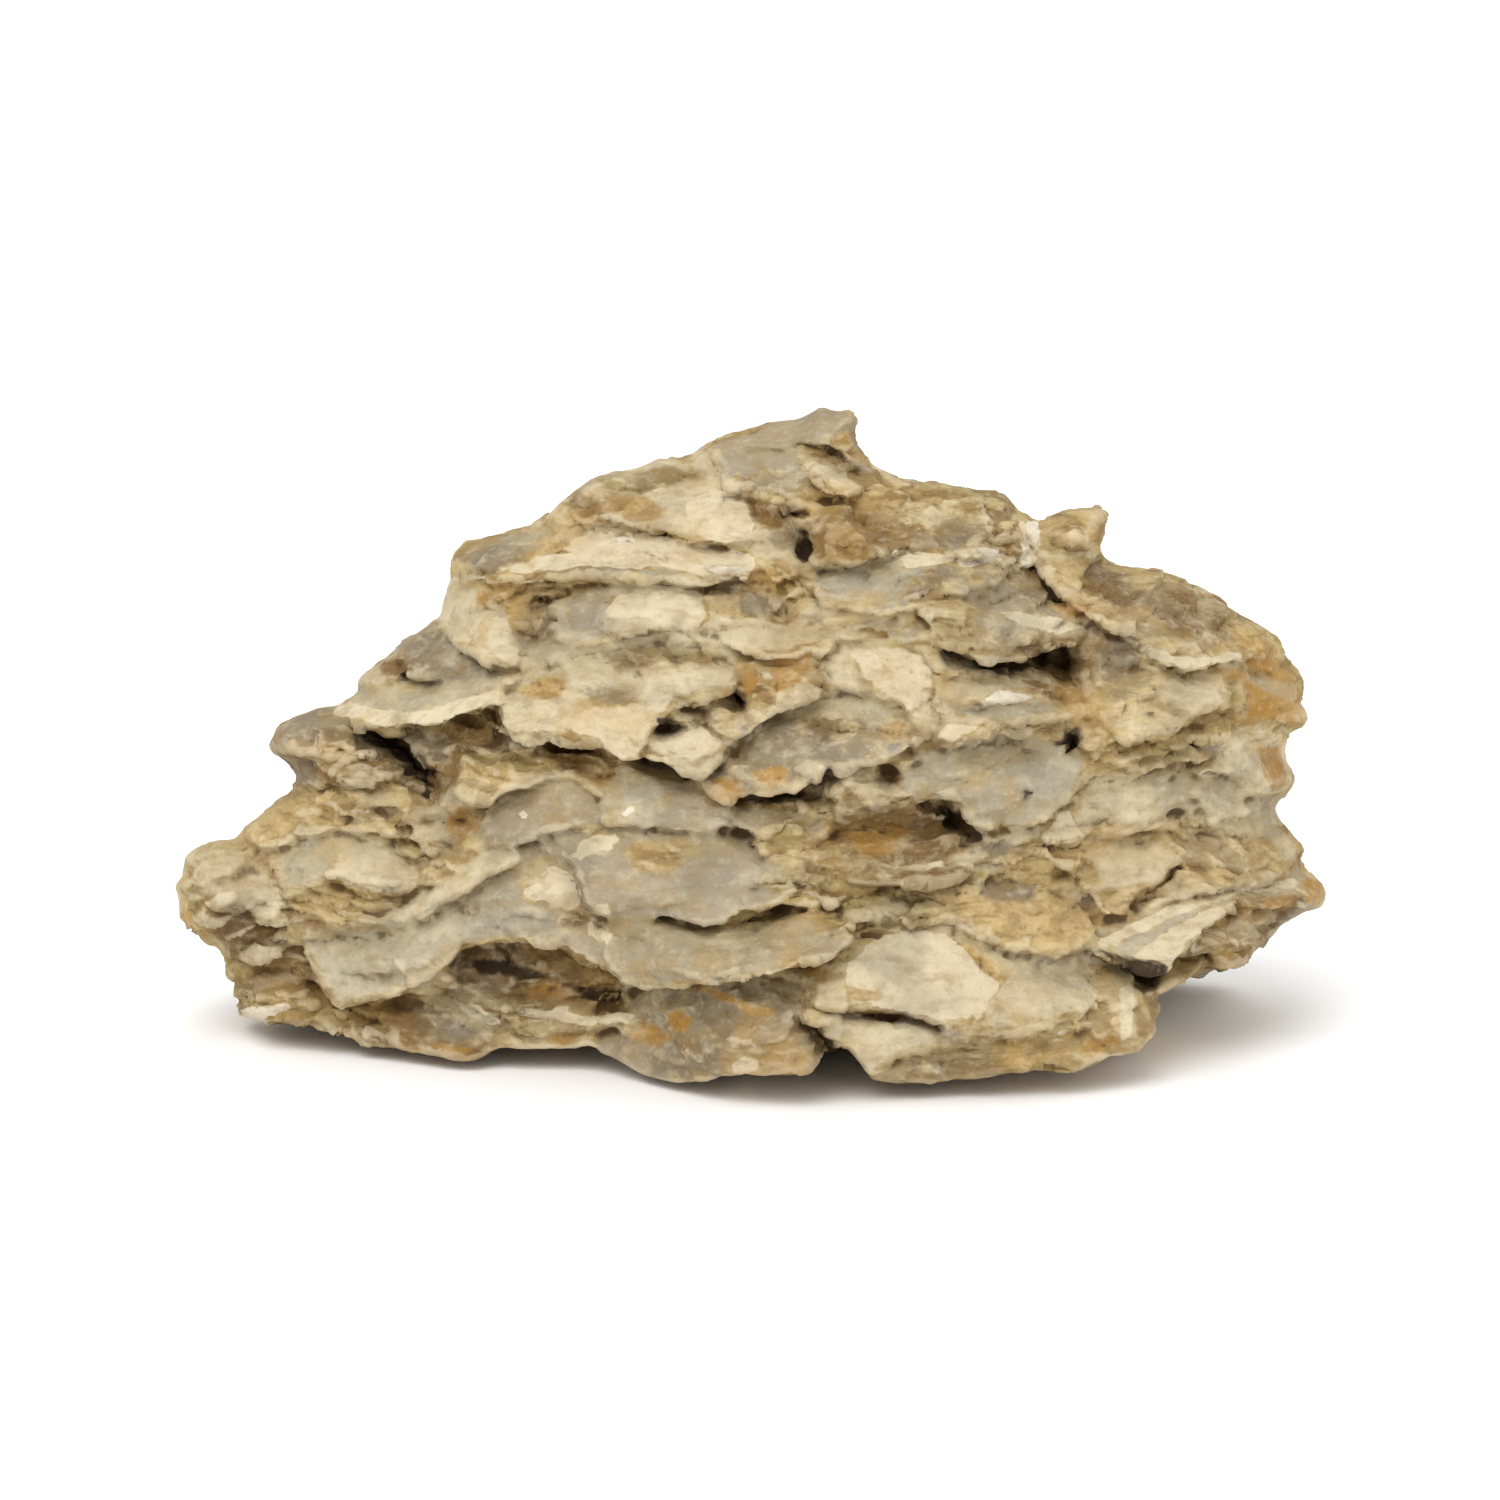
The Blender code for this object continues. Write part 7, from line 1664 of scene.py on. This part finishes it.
def nearest_block(points):
    """The block that each place belongs to, its height over the block's middle, and their depths."""
    rng = np.random.default_rng(SEED + 20)
    spots = rng.uniform(*SIDE_TILE_FIELD, (SIDE_TILE_COUNT, 3))
    depths = rng.uniform(0.0, SIDE_DEPTH_SHARE, SIDE_TILE_COUNT) * SIDE_LEDGE_DEPTH
    tilts = rng.uniform(-SIDE_TILT, SIDE_TILT, (SIDE_TILE_COUNT, 2))
    warped = points.copy()
    for axis in range(3):
        warped[:, axis] += SIDE_WARP * lattice_noise(points, SIDE_WARP_SIZE, SEED + 21 + axis)
    nearest = np.full(len(points), FAR_AWAY)
    block = np.zeros(len(points), dtype=int)
    height = np.zeros(len(points))
    for number, (spot, tilt) in enumerate(zip(spots, tilts)):
        offset = (warped - spot) / SIDE_TILE_SIZE
        offset[:, 2] += tilt[0] * offset[:, 0] + tilt[1] * offset[:, 1]
        gap = (offset ** 2).sum(axis=1)
        closer = gap < nearest
        nearest[closer] = gap[closer]
        block[closer] = number
        height[closer] = offset[closer, 2]
    return block, height, depths


def side_ledges(points):
    """Depth of the ledges cut into the ends and the upper back, at places in space."""
    block, height, depths = nearest_block(points)
    return depths[block] + SIDE_LEDGE_SLOPE * np.clip(0.5 + height, 0.0, 1.0)


def cut_side_ledges(right, up, depth, rim_gap, behind_rim, behind_front):
    """Moves places behind the rim and above the foot inward, and leaves the front as it is."""
    rim = front_view(RIM)
    lean_right = (distance_to_line(right + LEAN_STEP, up, rim) - rim_gap) / LEAN_STEP
    lean_up = (distance_to_line(right, up + LEAN_STEP, rim) - rim_gap) / LEAN_STEP
    ledges = side_ledges(np.column_stack((right, depth, up)))
    near_rim = 1.0 - smooth(*RIM_REACH, rim_gap)
    cut = ledges * near_rim * smooth(*BEHIND_RIM, behind_rim)
    foot_gap = distance_to_line(right, up, front_view(RIM[-1:] + FOOT + RIM[:1]))
    near_foot = 1.0 - smooth(*FOOT_REACH, foot_gap)
    hollow = FOOT_HOLLOW_SHARE * ledges * near_foot * smooth(*BEHIND_FRONT, behind_front)
    return right + lean_right * cut, up + lean_up * cut + hollow


def facets(points, size, seed):
    """Angular facets in a jittered lattice: their relief, their tone and the cracks between them."""
    rng = np.random.default_rng(seed)
    cells = (FACET_CELLS,) * 3
    jitter = rng.uniform(*FACET_JITTER, cells + (3,))
    levels = rng.uniform(-1.0, 1.0, cells)
    tilts = rng.uniform(-FACET_TILT, FACET_TILT, cells + (3,)) - (0.0, 0.0, FACET_LEAN)
    tones = rng.uniform(-1.0, 1.0, cells)
    scaled = points / size
    cell = np.floor(scaled).astype(int)
    nearest = np.full(len(points), FAR_AWAY)
    second = np.full(len(points), FAR_AWAY)
    relief = np.zeros(len(points))
    tone = np.zeros(len(points))
    for step in NEIGHBOURS:
        other = cell + step
        index = tuple((other % FACET_CELLS).T)
        offset = scaled - other - jitter[index]
        gap = (offset ** 2).sum(axis=1)
        closer = gap < nearest
        second = np.where(closer, nearest, np.minimum(second, gap))
        nearest[closer] = gap[closer]
        height = FACET_LEVEL_SHARE * levels[index] + (tilts[index] * offset).sum(axis=1)
        relief[closer] = height[closer]
        tone[closer] = tones[index][closer]
    crack = smooth(CRACK_WIDTH, 0.0, np.sqrt(second) - np.sqrt(nearest))
    return relief, tone, crack


def laminations(points, slant):
    """Thin layers that slant as given, 0 in a gap and 1 on a layer."""
    along = points[:, 0] * np.cos(slant) - points[:, 2] * np.sin(slant)
    above = points[:, 2] * np.cos(slant) + points[:, 0] * np.sin(slant)
    squeezed = np.column_stack((along, points[:, 1], above * LAMINA_LENGTH / LAMINA_THICKNESS))
    return smooth(-0.35, 0.3, lattice_noise(squeezed, LAMINA_LENGTH, SEED + 54))


def wrinkles(points, squash, size, seed):
    """Sharp-crested waves between -1 and 1, flattened along the layers."""
    return 1.0 - 2.0 * np.abs(lattice_noise(points * (1.0, 1.0, squash), size, seed))


def block_relief(right, up, depth, block, height, depths):
    """Ledges on the back: each block stands out by its own height, most at its lower edge."""
    behind = smooth(*BEHIND_RIDGE, depth - ridge_depth(right, up))
    inland = smooth(*INLAND_REACH, distance_to_line(right, up, front_view(RIM)))
    raised = BACK_LEDGE_HEIGHT * (1.0 - depths[block] / SIDE_LEDGE_DEPTH)
    return behind * inland * (raised + BACK_LEDGE_LIP * (np.clip(0.4 - height, 0.0, 1.0) - 1.0))


class Paint:
    """Masks of the finishes, how crumbly each place is, its flake's tone and the painted shade below
    the lip above.
    """

    def __init__(self, tile, on_front):
        self.on_front = on_front
        self.masks = np.zeros((len(tile), len(FINISHES)))
        self.crumb = np.ones(len(tile))
        self.tone = np.random.default_rng(SEED + 72).uniform(0.0, 1.0, TILE_TONES)[tile]
        # An even level of painted lip shade where no flake lies
        self.dirt = np.full(len(tile), TILE_LIP_SHADE)
        for number, finish in enumerate(TILE_FINISHES):
            chosen = tile % len(TILE_FINISHES) == number
            self.crumb[chosen] = CRUMB[finish]
            if finish in FINISHES:
                self.masks[chosen, FINISHES.index(finish)] = TILE_COVER

    def lay(self, near, share, finish):
        """Lays one finish over what is there on the front, as far as it covers."""
        cover = share * self.on_front[near]
        self.masks[near] *= (1.0 - cover)[:, None]
        if finish in FINISHES:
            self.masks[near, FINISHES.index(finish)] += cover
        blend(self.crumb, near, cover, CRUMB[finish])


def share_on_front(right, up, depth):
    """1 on the front and 0 behind the ridge, with a ragged border between them."""
    places = np.column_stack((right, depth, up))
    wander = BORDER_WANDER * lattice_noise(places, BORDER_WANDER_SIZE, SEED + 73)
    return smooth(*FRONT_SPAN, depth - ridge_depth(right, up) + wander)


def paint_flakes(paint, ragged_right, ragged_up, loose_right, loose_up):
    """Paints the flakes in order: their finish loosely, their tone and painted lip shade within a
    tighter edge.
    """
    for number, (_, finish, _, _, _, pixels) in enumerate(FLAKES):
        outline = front_view(pixels)
        near = near_outline(loose_right, loose_up, outline, 4.0)
        depth_in = depth_inside(loose_right[near], loose_up[near], outline)
        paint.lay(near, smooth(-1.4, 1.4, depth_in), finish)
        depth_in = depth_inside(ragged_right[near], ragged_up[near], outline)
        cover = smooth(-0.7, 0.7, depth_in) * paint.on_front[near]
        drop = share_of_drop(ragged_right[near], ragged_up[near], outline)
        blend(paint.tone, near, cover, (number * TONE_STEP) % 1.0)
        # Painted shade toward each flake's upper edge, below the lip of the flake above
        blend(paint.dirt, near, cover, smooth(0.55, 0.0, drop))


def paint_patches(paint, right, up, ragged_right, ragged_up):
    """Paints the patches in order, with borders half as ragged as the flakes' edges."""
    for _, finish, softness, pixels in PATCHES:
        outline = front_view(pixels)
        near = near_outline(ragged_right, ragged_up, outline, NEAR_MARGIN + softness)
        near_right = 0.5 * (right[near] + ragged_right[near])
        near_up = 0.5 * (up[near] + ragged_up[near])
        depth_in = depth_inside(near_right, near_up, outline)
        paint.lay(near, smooth(-softness, softness, depth_in), finish)


def paint_finishes(right, up, depth, block):
    """Paints tiles and blocks, then the front's flakes, hollows, spots, patches and streaks."""
    ragged_right, ragged_up = rough_places(right, up)
    flat = flat_places(ragged_right, ragged_up)
    loose_right = ragged_right + 2.6 * lattice_noise(flat, 13.0, SEED + 70)
    loose_up = ragged_up + 1.8 * lattice_noise(flat, 11.0, SEED + 71)
    on_front = share_on_front(right, up, depth)
    front_tile, _, _ = nearest_tile(loose_right, loose_up, SEED + 4)
    paint = Paint(np.where(on_front < 0.5, block, front_tile), on_front)
    paint_flakes(paint, ragged_right, ragged_up, loose_right, loose_up)
    for _, _, _, pixels in HOLLOWS:
        outline = front_view(pixels)
        near = near_outline(ragged_right, ragged_up, outline, NEAR_MARGIN)
        depth_in = depth_inside(ragged_right[near], ragged_up[near], outline)
        paint.lay(near, smooth(-0.6, 2.0, depth_in), "brown")
    for _, finish, middle, half_width, half_height, turn in SPOTS:
        away = swell_share(loose_right, loose_up, middle, half_width, half_height, turn)
        near = np.nonzero((away < SPOT_SPAN[0]) & (on_front > 0.0))[0]
        paint.lay(near, smooth(*SPOT_SPAN, away[near]), finish)
    paint_patches(paint, right, up, ragged_right, ragged_up)
    for _, finish, half_width, pixels in STREAKS:
        line = front_view(pixels)
        near = near_outline(ragged_right, ragged_up, line, half_width + NEAR_MARGIN)
        gap = distance_to_line(ragged_right[near], ragged_up[near], line)
        paint.lay(near, smooth(half_width * 1.5, 0.0, gap), finish)
    return paint


def roughen(points, crumb):
    """How far to move each place for facets, layers and grit, and the tones of the facets."""
    wobble = [lattice_noise(points, WOBBLE_SIZE, SEED + 40 + axis) for axis in range(3)]
    layered = points + WOBBLE * np.column_stack(wobble)
    layered[:, 2] += LAYER_SWAY * lattice_noise(points, LAYER_SWAY_SIZE, SEED + 48)
    large, large_tone, _ = facets(layered, LARGE_FACET, SEED + 50)
    middle, middle_tone, middle_crack = facets(layered, MIDDLE_FACET, SEED + 51)
    small, _, _ = facets(layered, SMALL_FACET, SEED + 52)
    grit = lattice_noise(points, GRIT_SIZE, SEED + 44)
    waves = lattice_noise(points * (1.0, 1.0, 1.8), WAVE_SIZE, SEED + 46)
    patchy = smooth(-0.6, 0.4, lattice_noise(points, PATCHY_SIZE, SEED + 47))
    rough = crumb * (0.35 + 0.65 * patchy)
    wrinkle = wrinkles(points, 2.2, WRINKLE_SIZE, SEED + 49)
    small_wrinkle = wrinkles(layered, 2.0, SMALL_WRINKLE_SIZE, SEED + 53)
    lamina = laminations(layered, LAMINA_SLANT * large_tone + LAMINA_REST_SLANT)
    move = (0.15 + 0.85 * crumb) * large + rough * (1.3 * middle + 0.35 * small)
    move += (0.25 + 0.75 * rough) * (lamina - 0.6) * smooth(0.1, 0.5, crumb)
    move -= rough * 0.45 * middle_crack * smooth(0.0, 0.5, middle_tone)
    move += (0.02 + 0.1 * rough) * grit + 0.25 * waves
    move += ((0.25 + 0.25 * smooth(0.12, 0.4, crumb)) * wrinkle
             + 0.16 * smooth(0.1, 0.4, crumb) * small_wrinkle)
    tones = np.column_stack((large_tone, middle_tone, 2.0 * lamina - 1.0)) * 0.5 + 0.5
    return np.clip(move, *MOVE_LIMITS), tones


def curvature(thing, points, normals, rounds):
    """How far each place stands out from the average of its surroundings, in millimetres."""
    edges = np.empty(len(thing.data.edges) * 2, dtype=np.int64)
    thing.data.edges.foreach_get("vertices", edges)
    first, second = edges.reshape(-1, 2).T
    count = len(points)
    links = np.bincount(first, minlength=count) + np.bincount(second, minlength=count)
    average = points.copy()
    for _ in range(rounds):
        total = np.empty_like(average)
        for axis in range(3):
            values = average[:, axis]
            total[:, axis] = np.bincount(first, values[second], count) + np.bincount(
                second, values[first], count)
        average = total / links[:, None]
    return ((points - average) * normals).sum(axis=1)


def store_colour(thing, name, channels):
    """Keeps three masks on the skin as one colour attribute."""
    layer = thing.data.color_attributes.new(name, "FLOAT_COLOR", "POINT")
    values = np.column_stack((channels, np.ones(len(channels))))
    layer.data.foreach_set("color", np.clip(values, 0.0, 1.0).ravel())


def make_stone():
    """The fine skin of the stone, set in the box of the solid that it replaces."""
    stone = make_slab()
    remesh(stone, SLAB_SPACING)
    write_points(stone, blow_up(read_vertices(stone, "co")))
    remesh(stone, BODY_SPACING)
    keep_largest_body(stone)
    finish_skin(stone)
    points = read_vertices(stone, "co")
    low, high = (np.array(corner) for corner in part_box("dragon_stone"))
    middle = (points.min(axis=0) + points.max(axis=0)) / 2.0
    middle[2] = points[:, 2].min()
    target = (low + high) / 2.0
    target[2] = low[2]
    shift = target - middle / MM_PER_METRE
    write_points(stone, points / MM_PER_METRE + shift)
    stone.data.shade_smooth()
    return stone, shift


def finish_skin(stone):
    """Roughens the skin, keeps its finishes and creases as masks, and cuts it to the face budget."""
    points, normals = read_vertices(stone, "co"), read_vertices(stone, "normal")
    right, up, depth = to_front_view(points)
    block, height, depths = nearest_block(np.column_stack((right, depth, up)))
    paint = paint_finishes(right, up, depth, block)
    move, tones = roughen(points, paint.crumb)
    move *= 0.55 + 0.45 * smooth(0.0, 5.0, distance_to_line(right, up, closed_outline()))
    move += block_relief(right, up, depth, block, height, depths)
    points += normals * (move * smooth(0.5, 4.0, points[:, 2]))[:, None]
    write_points(stone, points)
    store_masks(stone, points, paint, tones)
    right, up, depth = to_front_view(points)
    limit_triangles(stone, smooth(-2.0, 10.0, depth - ridge_depth(right, up)))


def store_masks(stone, points, paint, tones):
    """Keeps the finishes, the edges and creases and the tones of the skin as colour attributes."""
    normals = read_vertices(stone, "normal")
    fine = curvature(stone, points, normals, FINE_ROUNDS)
    broad = curvature(stone, points, normals, BROAD_ROUNDS)
    # edge: where the pale wear and painted highlight go
    edge = smooth(0.05, 0.45, fine) * 0.5 + smooth(0.3, 1.8, broad) * 0.5
    # crease and hollow: where grime and painted shade darken the colour
    crease = smooth(-0.08, -0.45, fine) * 0.5 + smooth(-0.4, -2.4, broad) * 0.6
    hollow = smooth(-0.2, -3.0, broad)
    for number, layer in enumerate(TONE_LAYERS):
        store_colour(stone, layer, paint.masks[:, 3 * number:3 * number + 3])
    store_colour(stone, "relief", np.column_stack((edge, crease, paint.crumb)))
    store_colour(stone, "facet_tones", tones)
    # The flakes' tones, the painted lip shade and the hollows, kept together
    store_colour(stone, "wash", np.column_stack((paint.tone, paint.dirt, hollow)))


class Wiring:
    """Short ways to add nodes to one material."""

    def __init__(self, material):
        material.use_nodes = True
        self.nodes = material.node_tree.nodes
        self.links = material.node_tree.links
        self.nodes.clear()

    def feed(self, socket, value):
        """Links another node's output to a socket, or sets the socket to a number or a colour."""
        if isinstance(value, bpy.types.NodeSocket):
            self.links.new(value, socket)
        else:
            socket.default_value = value

    def add(self, kind, settings=(), inputs=()):
        """Adds a node, with its settings and its inputs: numbers, colours or other nodes' outputs."""
        node = self.nodes.new(kind)
        for name, value in dict(settings).items():
            setattr(node, name, value)
        for name, value in dict(inputs).items():
            self.feed(node.inputs[name], value)
        return node

    def noise(self, place, size_mm, detail, roughness):
        """Noise with features of about the given size."""
        scale = MM_PER_METRE / size_mm
        inputs = {"Vector": place, "Scale": scale, "Detail": detail, "Roughness": roughness}
        return self.add("ShaderNodeTexNoise", inputs=inputs).outputs[0]

    def math(self, operation, first, second):
        """One operation on two values, each a socket or a number."""
        node = self.add("ShaderNodeMath", {"operation": operation})
        self.feed(node.inputs[0], first)
        self.feed(node.inputs[1], second)
        return node.outputs[0]

    def times(self, first, second):
        """The product of two values."""
        return self.math("MULTIPLY", first, second)

    def plus(self, first, second, share):
        """The first value and a share of the second."""
        return self.math("ADD", first, self.times(second, share))

    def step(self, value, low, high, to_low=0.0, to_high=1.0):
        """A soft step from to_low to to_high as the value goes from low to high."""
        inputs = {
            "Value": value, "From Min": low, "From Max": high, "To Min": to_low, "To Max": to_high,
        }
        settings = {"interpolation_type": "SMOOTHSTEP"}
        return self.add("ShaderNodeMapRange", settings, inputs).outputs[0]

    def mix(self, share, first, second):
        """Mixes two colours, each a socket or a colour value."""
        node = self.add("ShaderNodeMix", {"data_type": "RGBA"})
        for number, value in ((0, share), (6, first), (7, second)):
            self.feed(node.inputs[number], value)
        return node.outputs[2]

    def masks(self, layer):
        """The three masks of a colour attribute."""
        attribute = self.add("ShaderNodeAttribute", {"attribute_name": layer})
        split = self.add("ShaderNodeSeparateColor", inputs={"Color": attribute.outputs["Color"]})
        return split.outputs[0], split.outputs[1], split.outputs[2]


def linear(name):
    """A named colour as the linear values that shaders take."""
    share = np.array(COLOURS[name]) / 255.0
    values = np.where(share <= 0.04045, share / 12.92, ((share + 0.055) / 1.055) ** 2.4)
    return (*values, 1.0)


def clay_fields(wiring):
    """The noises and masks that the clay's colours follow, by name."""
    place = wiring.add("ShaderNodeTexCoord").outputs["Object"]
    mapping = wiring.add("ShaderNodeMapping", inputs={"Vector": place, "Scale": SQUASH})
    fields = {"place": place}
    for name, squashed, size_mm, detail, roughness in NOISES:
        vector = mapping.outputs[0] if squashed else place
        fields[name] = wiring.noise(vector, size_mm, detail, roughness)
    for layer, names in MASK_LAYERS:
        fields.update(zip(names, wiring.masks(layer)))
    facet = wiring.plus(wiring.times(fields["large_tone"], 0.4), fields["middle_tone"], 0.6)
    uneven = wiring.math("SUBTRACT", fields["medium"], 0.5)
    fields["facet"] = wiring.plus(facet, uneven, 0.9)
    fields["mottle"] = wiring.times(fields["medium"], fields["fine"])
    # Grime and painted shade in creases, spread a little by fine noise
    fields["filth"] = wiring.plus(fields["crease"], fields["fine"], 0.6)
    return fields


def finish_covers(wiring, fields):
    """How far each finish covers, with its border shaken by noise."""
    shake = wiring.times(wiring.math("SUBTRACT", fields["ragged"], 0.5), SHAKE)
    small_shake = wiring.times(shake, CRISP_SHARE)
    covers = {}
    for number, layer in enumerate(TONE_LAYERS):
        for finish, mask in zip(FINISHES[3 * number:3 * number + 3], wiring.masks(layer)):
            low, high, most = BORDERS[finish]
            waver = small_shake if finish in CRISP_FINISHES else shake
            cover = wiring.step(wiring.math("ADD", mask, waver), low, high, 0.0, most)
            covers[finish] = wiring.times(cover, wiring.step(mask, 0.02, 0.15))
    return covers


def lay_finishes(wiring, colour, covers, finishes):
    """Lays some finishes over the colour, in order."""
    for finish in finishes:
        colour = wiring.mix(covers[finish], colour, linear(finish))
    return colour


def lay_tints(wiring, colour, fields, tints):
    """Tints the colour where each field lies between two values."""
    for field, low, high, most, name in tints:
        colour = wiring.mix(wiring.step(fields[field], low, high, 0.0, most), colour, linear(name))
    return colour


def lay_crumbly_tints(wiring, colour, fields, tints):
    """Tints the colour as lay_tints does, but fully in crumbly places alone."""
    for field, low, high, most, name, crumb_low, crumb_high, least in tints:
        share = wiring.step(fields[field], low, high, 0.0, most)
        crumbly = wiring.step(fields["crumb"], crumb_low, crumb_high, least, 1.0)
        colour = wiring.mix(wiring.times(share, crumbly), colour, linear(name))
    return colour


def lay_lip_shade(wiring, colour, fields):
    """Painted olive shade toward the upper edge of each flake, below the lip of the flake above."""
    patchy = wiring.step(fields["medium"], 0.3, 0.62, 0.0, 0.6)
    return wiring.mix(wiring.times(fields["dirt"], patchy), colour, linear("olive"))


def lay_lines(wiring, colour, fields):
    """Fine dark lines along the layers, most in crumbly places."""
    settings = {"wave_type": "BANDS", "bands_direction": "Z"}
    bands = wiring.add("ShaderNodeTexWave", settings, {"Vector": fields["place"], **LINE_INPUTS})
    thin = wiring.step(bands.outputs["Fac"], 0.2, 0.02)
    lines = wiring.times(thin, wiring.step(fields["broad"], 0.42, 0.62))
    lines = wiring.times(lines, wiring.step(fields["crumb"], 0.2, 0.8, 0.1, 0.55))
    return wiring.mix(lines, colour, linear("brown"))


def lay_edges(wiring, colour, fields):
    """Paler edges in patches: powdery pale wear and a painted highlight on convex edges."""
    patchy = wiring.step(fields["broad"], 0.38, 0.6, 0.25, 1.0)
    # Pale wear and painted highlight on convex edges, spread a little by fine noise
    chalk_and_highlight = wiring.step(wiring.plus(fields["edge"], fields["fine"], 0.4), 0.45, 1.0, 0.0, 0.45)
    return wiring.mix(wiring.times(chalk_and_highlight, patchy), colour, linear("edge"))


def clay_colour(wiring, fields):
    """The clay's colour: finishes with ragged borders, mottled, with grime and painted shade in
    creases and a painted highlight on edges.
    """
    covers = finish_covers(wiring, fields)
    colour = wiring.mix(
        wiring.step(fields["medium"], 0.36, 0.64), linear("clay_dark"), linear("clay"))
    colour = lay_finishes(wiring, colour, covers, ("cream", "lilac", "blue", "tan", "olive"))
    colour = lay_tints(wiring, colour, fields, BROAD_TINTS)
    # Painted shade below the lips of the flakes
    colour = lay_lip_shade(wiring, colour, fields)
    colour = lay_finishes(wiring, colour, covers, ("ochre", "slate", "brown", "rust"))
    colour = lay_crumbly_tints(wiring, colour, fields, FACET_TINTS)
    # Pale and white: the stone's pale patches and chips, and painted highlights
    colour = lay_finishes(wiring, colour, covers, ("pale", "white"))
    colour = lay_tints(wiring, colour, fields, CLOUD_TINTS)
    colour = lay_crumbly_tints(wiring, colour, fields, MOTTLE_TINTS)
    colour = lay_lines(wiring, colour, fields)
    # Pale wear and painted highlight on convex edges
    colour = lay_edges(wiring, colour, fields)
    # Grime and painted shade in creases and hollows
    colour = lay_tints(wiring, colour, fields, CREASE_TINTS)
    # Near black painted shade in holes, slits and below lips
    colour = lay_finishes(wiring, colour, covers, ("dark",))
    return lay_crumbly_tints(wiring, colour, fields, FRECKLE_TINTS)


def clay_material():
    """Clay-like stone, matt, with a fine grain."""
    material = bpy.data.materials.new("dragon_stone_clay")
    wiring = Wiring(material)
    fields = clay_fields(wiring)
    colour = clay_colour(wiring, fields)
    roughness = wiring.step(fields["crumb"], 0.1, 0.6, *CLAY_ROUGHNESS)
    height = wiring.plus(wiring.times(fields["fine"], 0.7), fields["grain"], 0.8)
    bump = wiring.add("ShaderNodeBump", inputs={
        "Strength": BUMP_STRENGTH, "Distance": BUMP_DISTANCE, "Height": height})
    inputs = {
        "Base Color": colour, "Roughness": roughness, "Normal": bump.outputs[0], "Metallic": 0.0,
        "Specular IOR Level": CLAY_SPECULAR,
    }
    shader = wiring.add("ShaderNodeBsdfPrincipled", inputs=inputs)
    wiring.add("ShaderNodeOutputMaterial", inputs={"Surface": shader.outputs[0]})
    return material


def floor_material():
    """Plain matt white."""
    material = bpy.data.materials.new("pale_floor")
    wiring = Wiring(material)
    inputs = {
        "Base Color": WHITE, "Roughness": FLOOR_ROUGHNESS, "Specular IOR Level": FLOOR_SPECULAR,
    }
    shader = wiring.add("ShaderNodeBsdfPrincipled", inputs=inputs)
    wiring.add("ShaderNodeOutputMaterial", inputs={"Surface": shader.outputs[0]})
    return material


def make_floor():
    """A wide plain floor at the stone's foot."""
    mesh = bpy.data.meshes.new("floor")
    half = FLOOR_HALF_WIDTH
    corners = [(-half, -half, 0.0), (half, -half, 0.0), (half, half, 0.0), (-half, half, 0.0)]
    mesh.from_pydata(corners, [], [(0, 1, 2, 3)])
    floor = bpy.data.objects.new("floor", mesh)
    bpy.context.collection.objects.link(floor)
    mesh.materials.append(floor_material())


def make_light(name, place, softness, strength):
    """A far, soft lamp that shines from a place toward the origin."""
    data = bpy.data.lights.new(name, "SUN")
    data.angle = np.radians(softness)
    data.energy = strength
    light = bpy.data.objects.new(name, data)
    bpy.context.collection.objects.link(light)
    light.rotation_mode = "QUATERNION"
    light.rotation_quaternion = (-Vector(place)).to_track_quat("-Z", "Y")


def make_studio():
    """A white surround and soft lamps from above, in front and behind."""
    world = bpy.data.worlds.new("studio")
    world.use_nodes = True
    background = world.node_tree.nodes["Background"]
    background.inputs["Color"].default_value = WHITE
    background.inputs["Strength"].default_value = SURROUND_STRENGTH
    bpy.context.scene.world = world
    bpy.context.scene.view_settings.view_transform = "Standard"
    for lamp in LAMPS:
        make_light(*lamp)


def make_camera(shift):
    """A long lens at the photo's angle, aimed at the middle of the photo's frame."""
    data = bpy.data.cameras.new("camera")
    frame_width = PHOTO_PIXELS * PIXEL
    data.sensor_width = SENSOR_WIDTH
    data.lens = data.sensor_width * VIEW_DISTANCE / frame_width
    data.clip_start = CLIP_START
    data.clip_end = CLIP_END
    camera = bpy.data.objects.new("camera", data)
    bpy.context.collection.objects.link(camera)
    place = to_world(np.zeros(1), np.full(1, MIDDLE_UP), np.full(1, -VIEW_DISTANCE))[0]
    turn = Matrix.Rotation(np.pi / 2.0 - VIEW_TILT, 4, "X")
    camera.matrix_world = Matrix.Translation(Vector(place / MM_PER_METRE + shift)) @ turn
    bpy.context.scene.camera = camera


def main():
    """Makes the stone, dresses it and sets the studio round it."""
    stone, shift = make_stone()
    stone.data.materials.append(clay_material())
    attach(stone, "root")
    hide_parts("dragon_stone")
    make_floor()
    make_studio()
    make_camera(shift)


main()
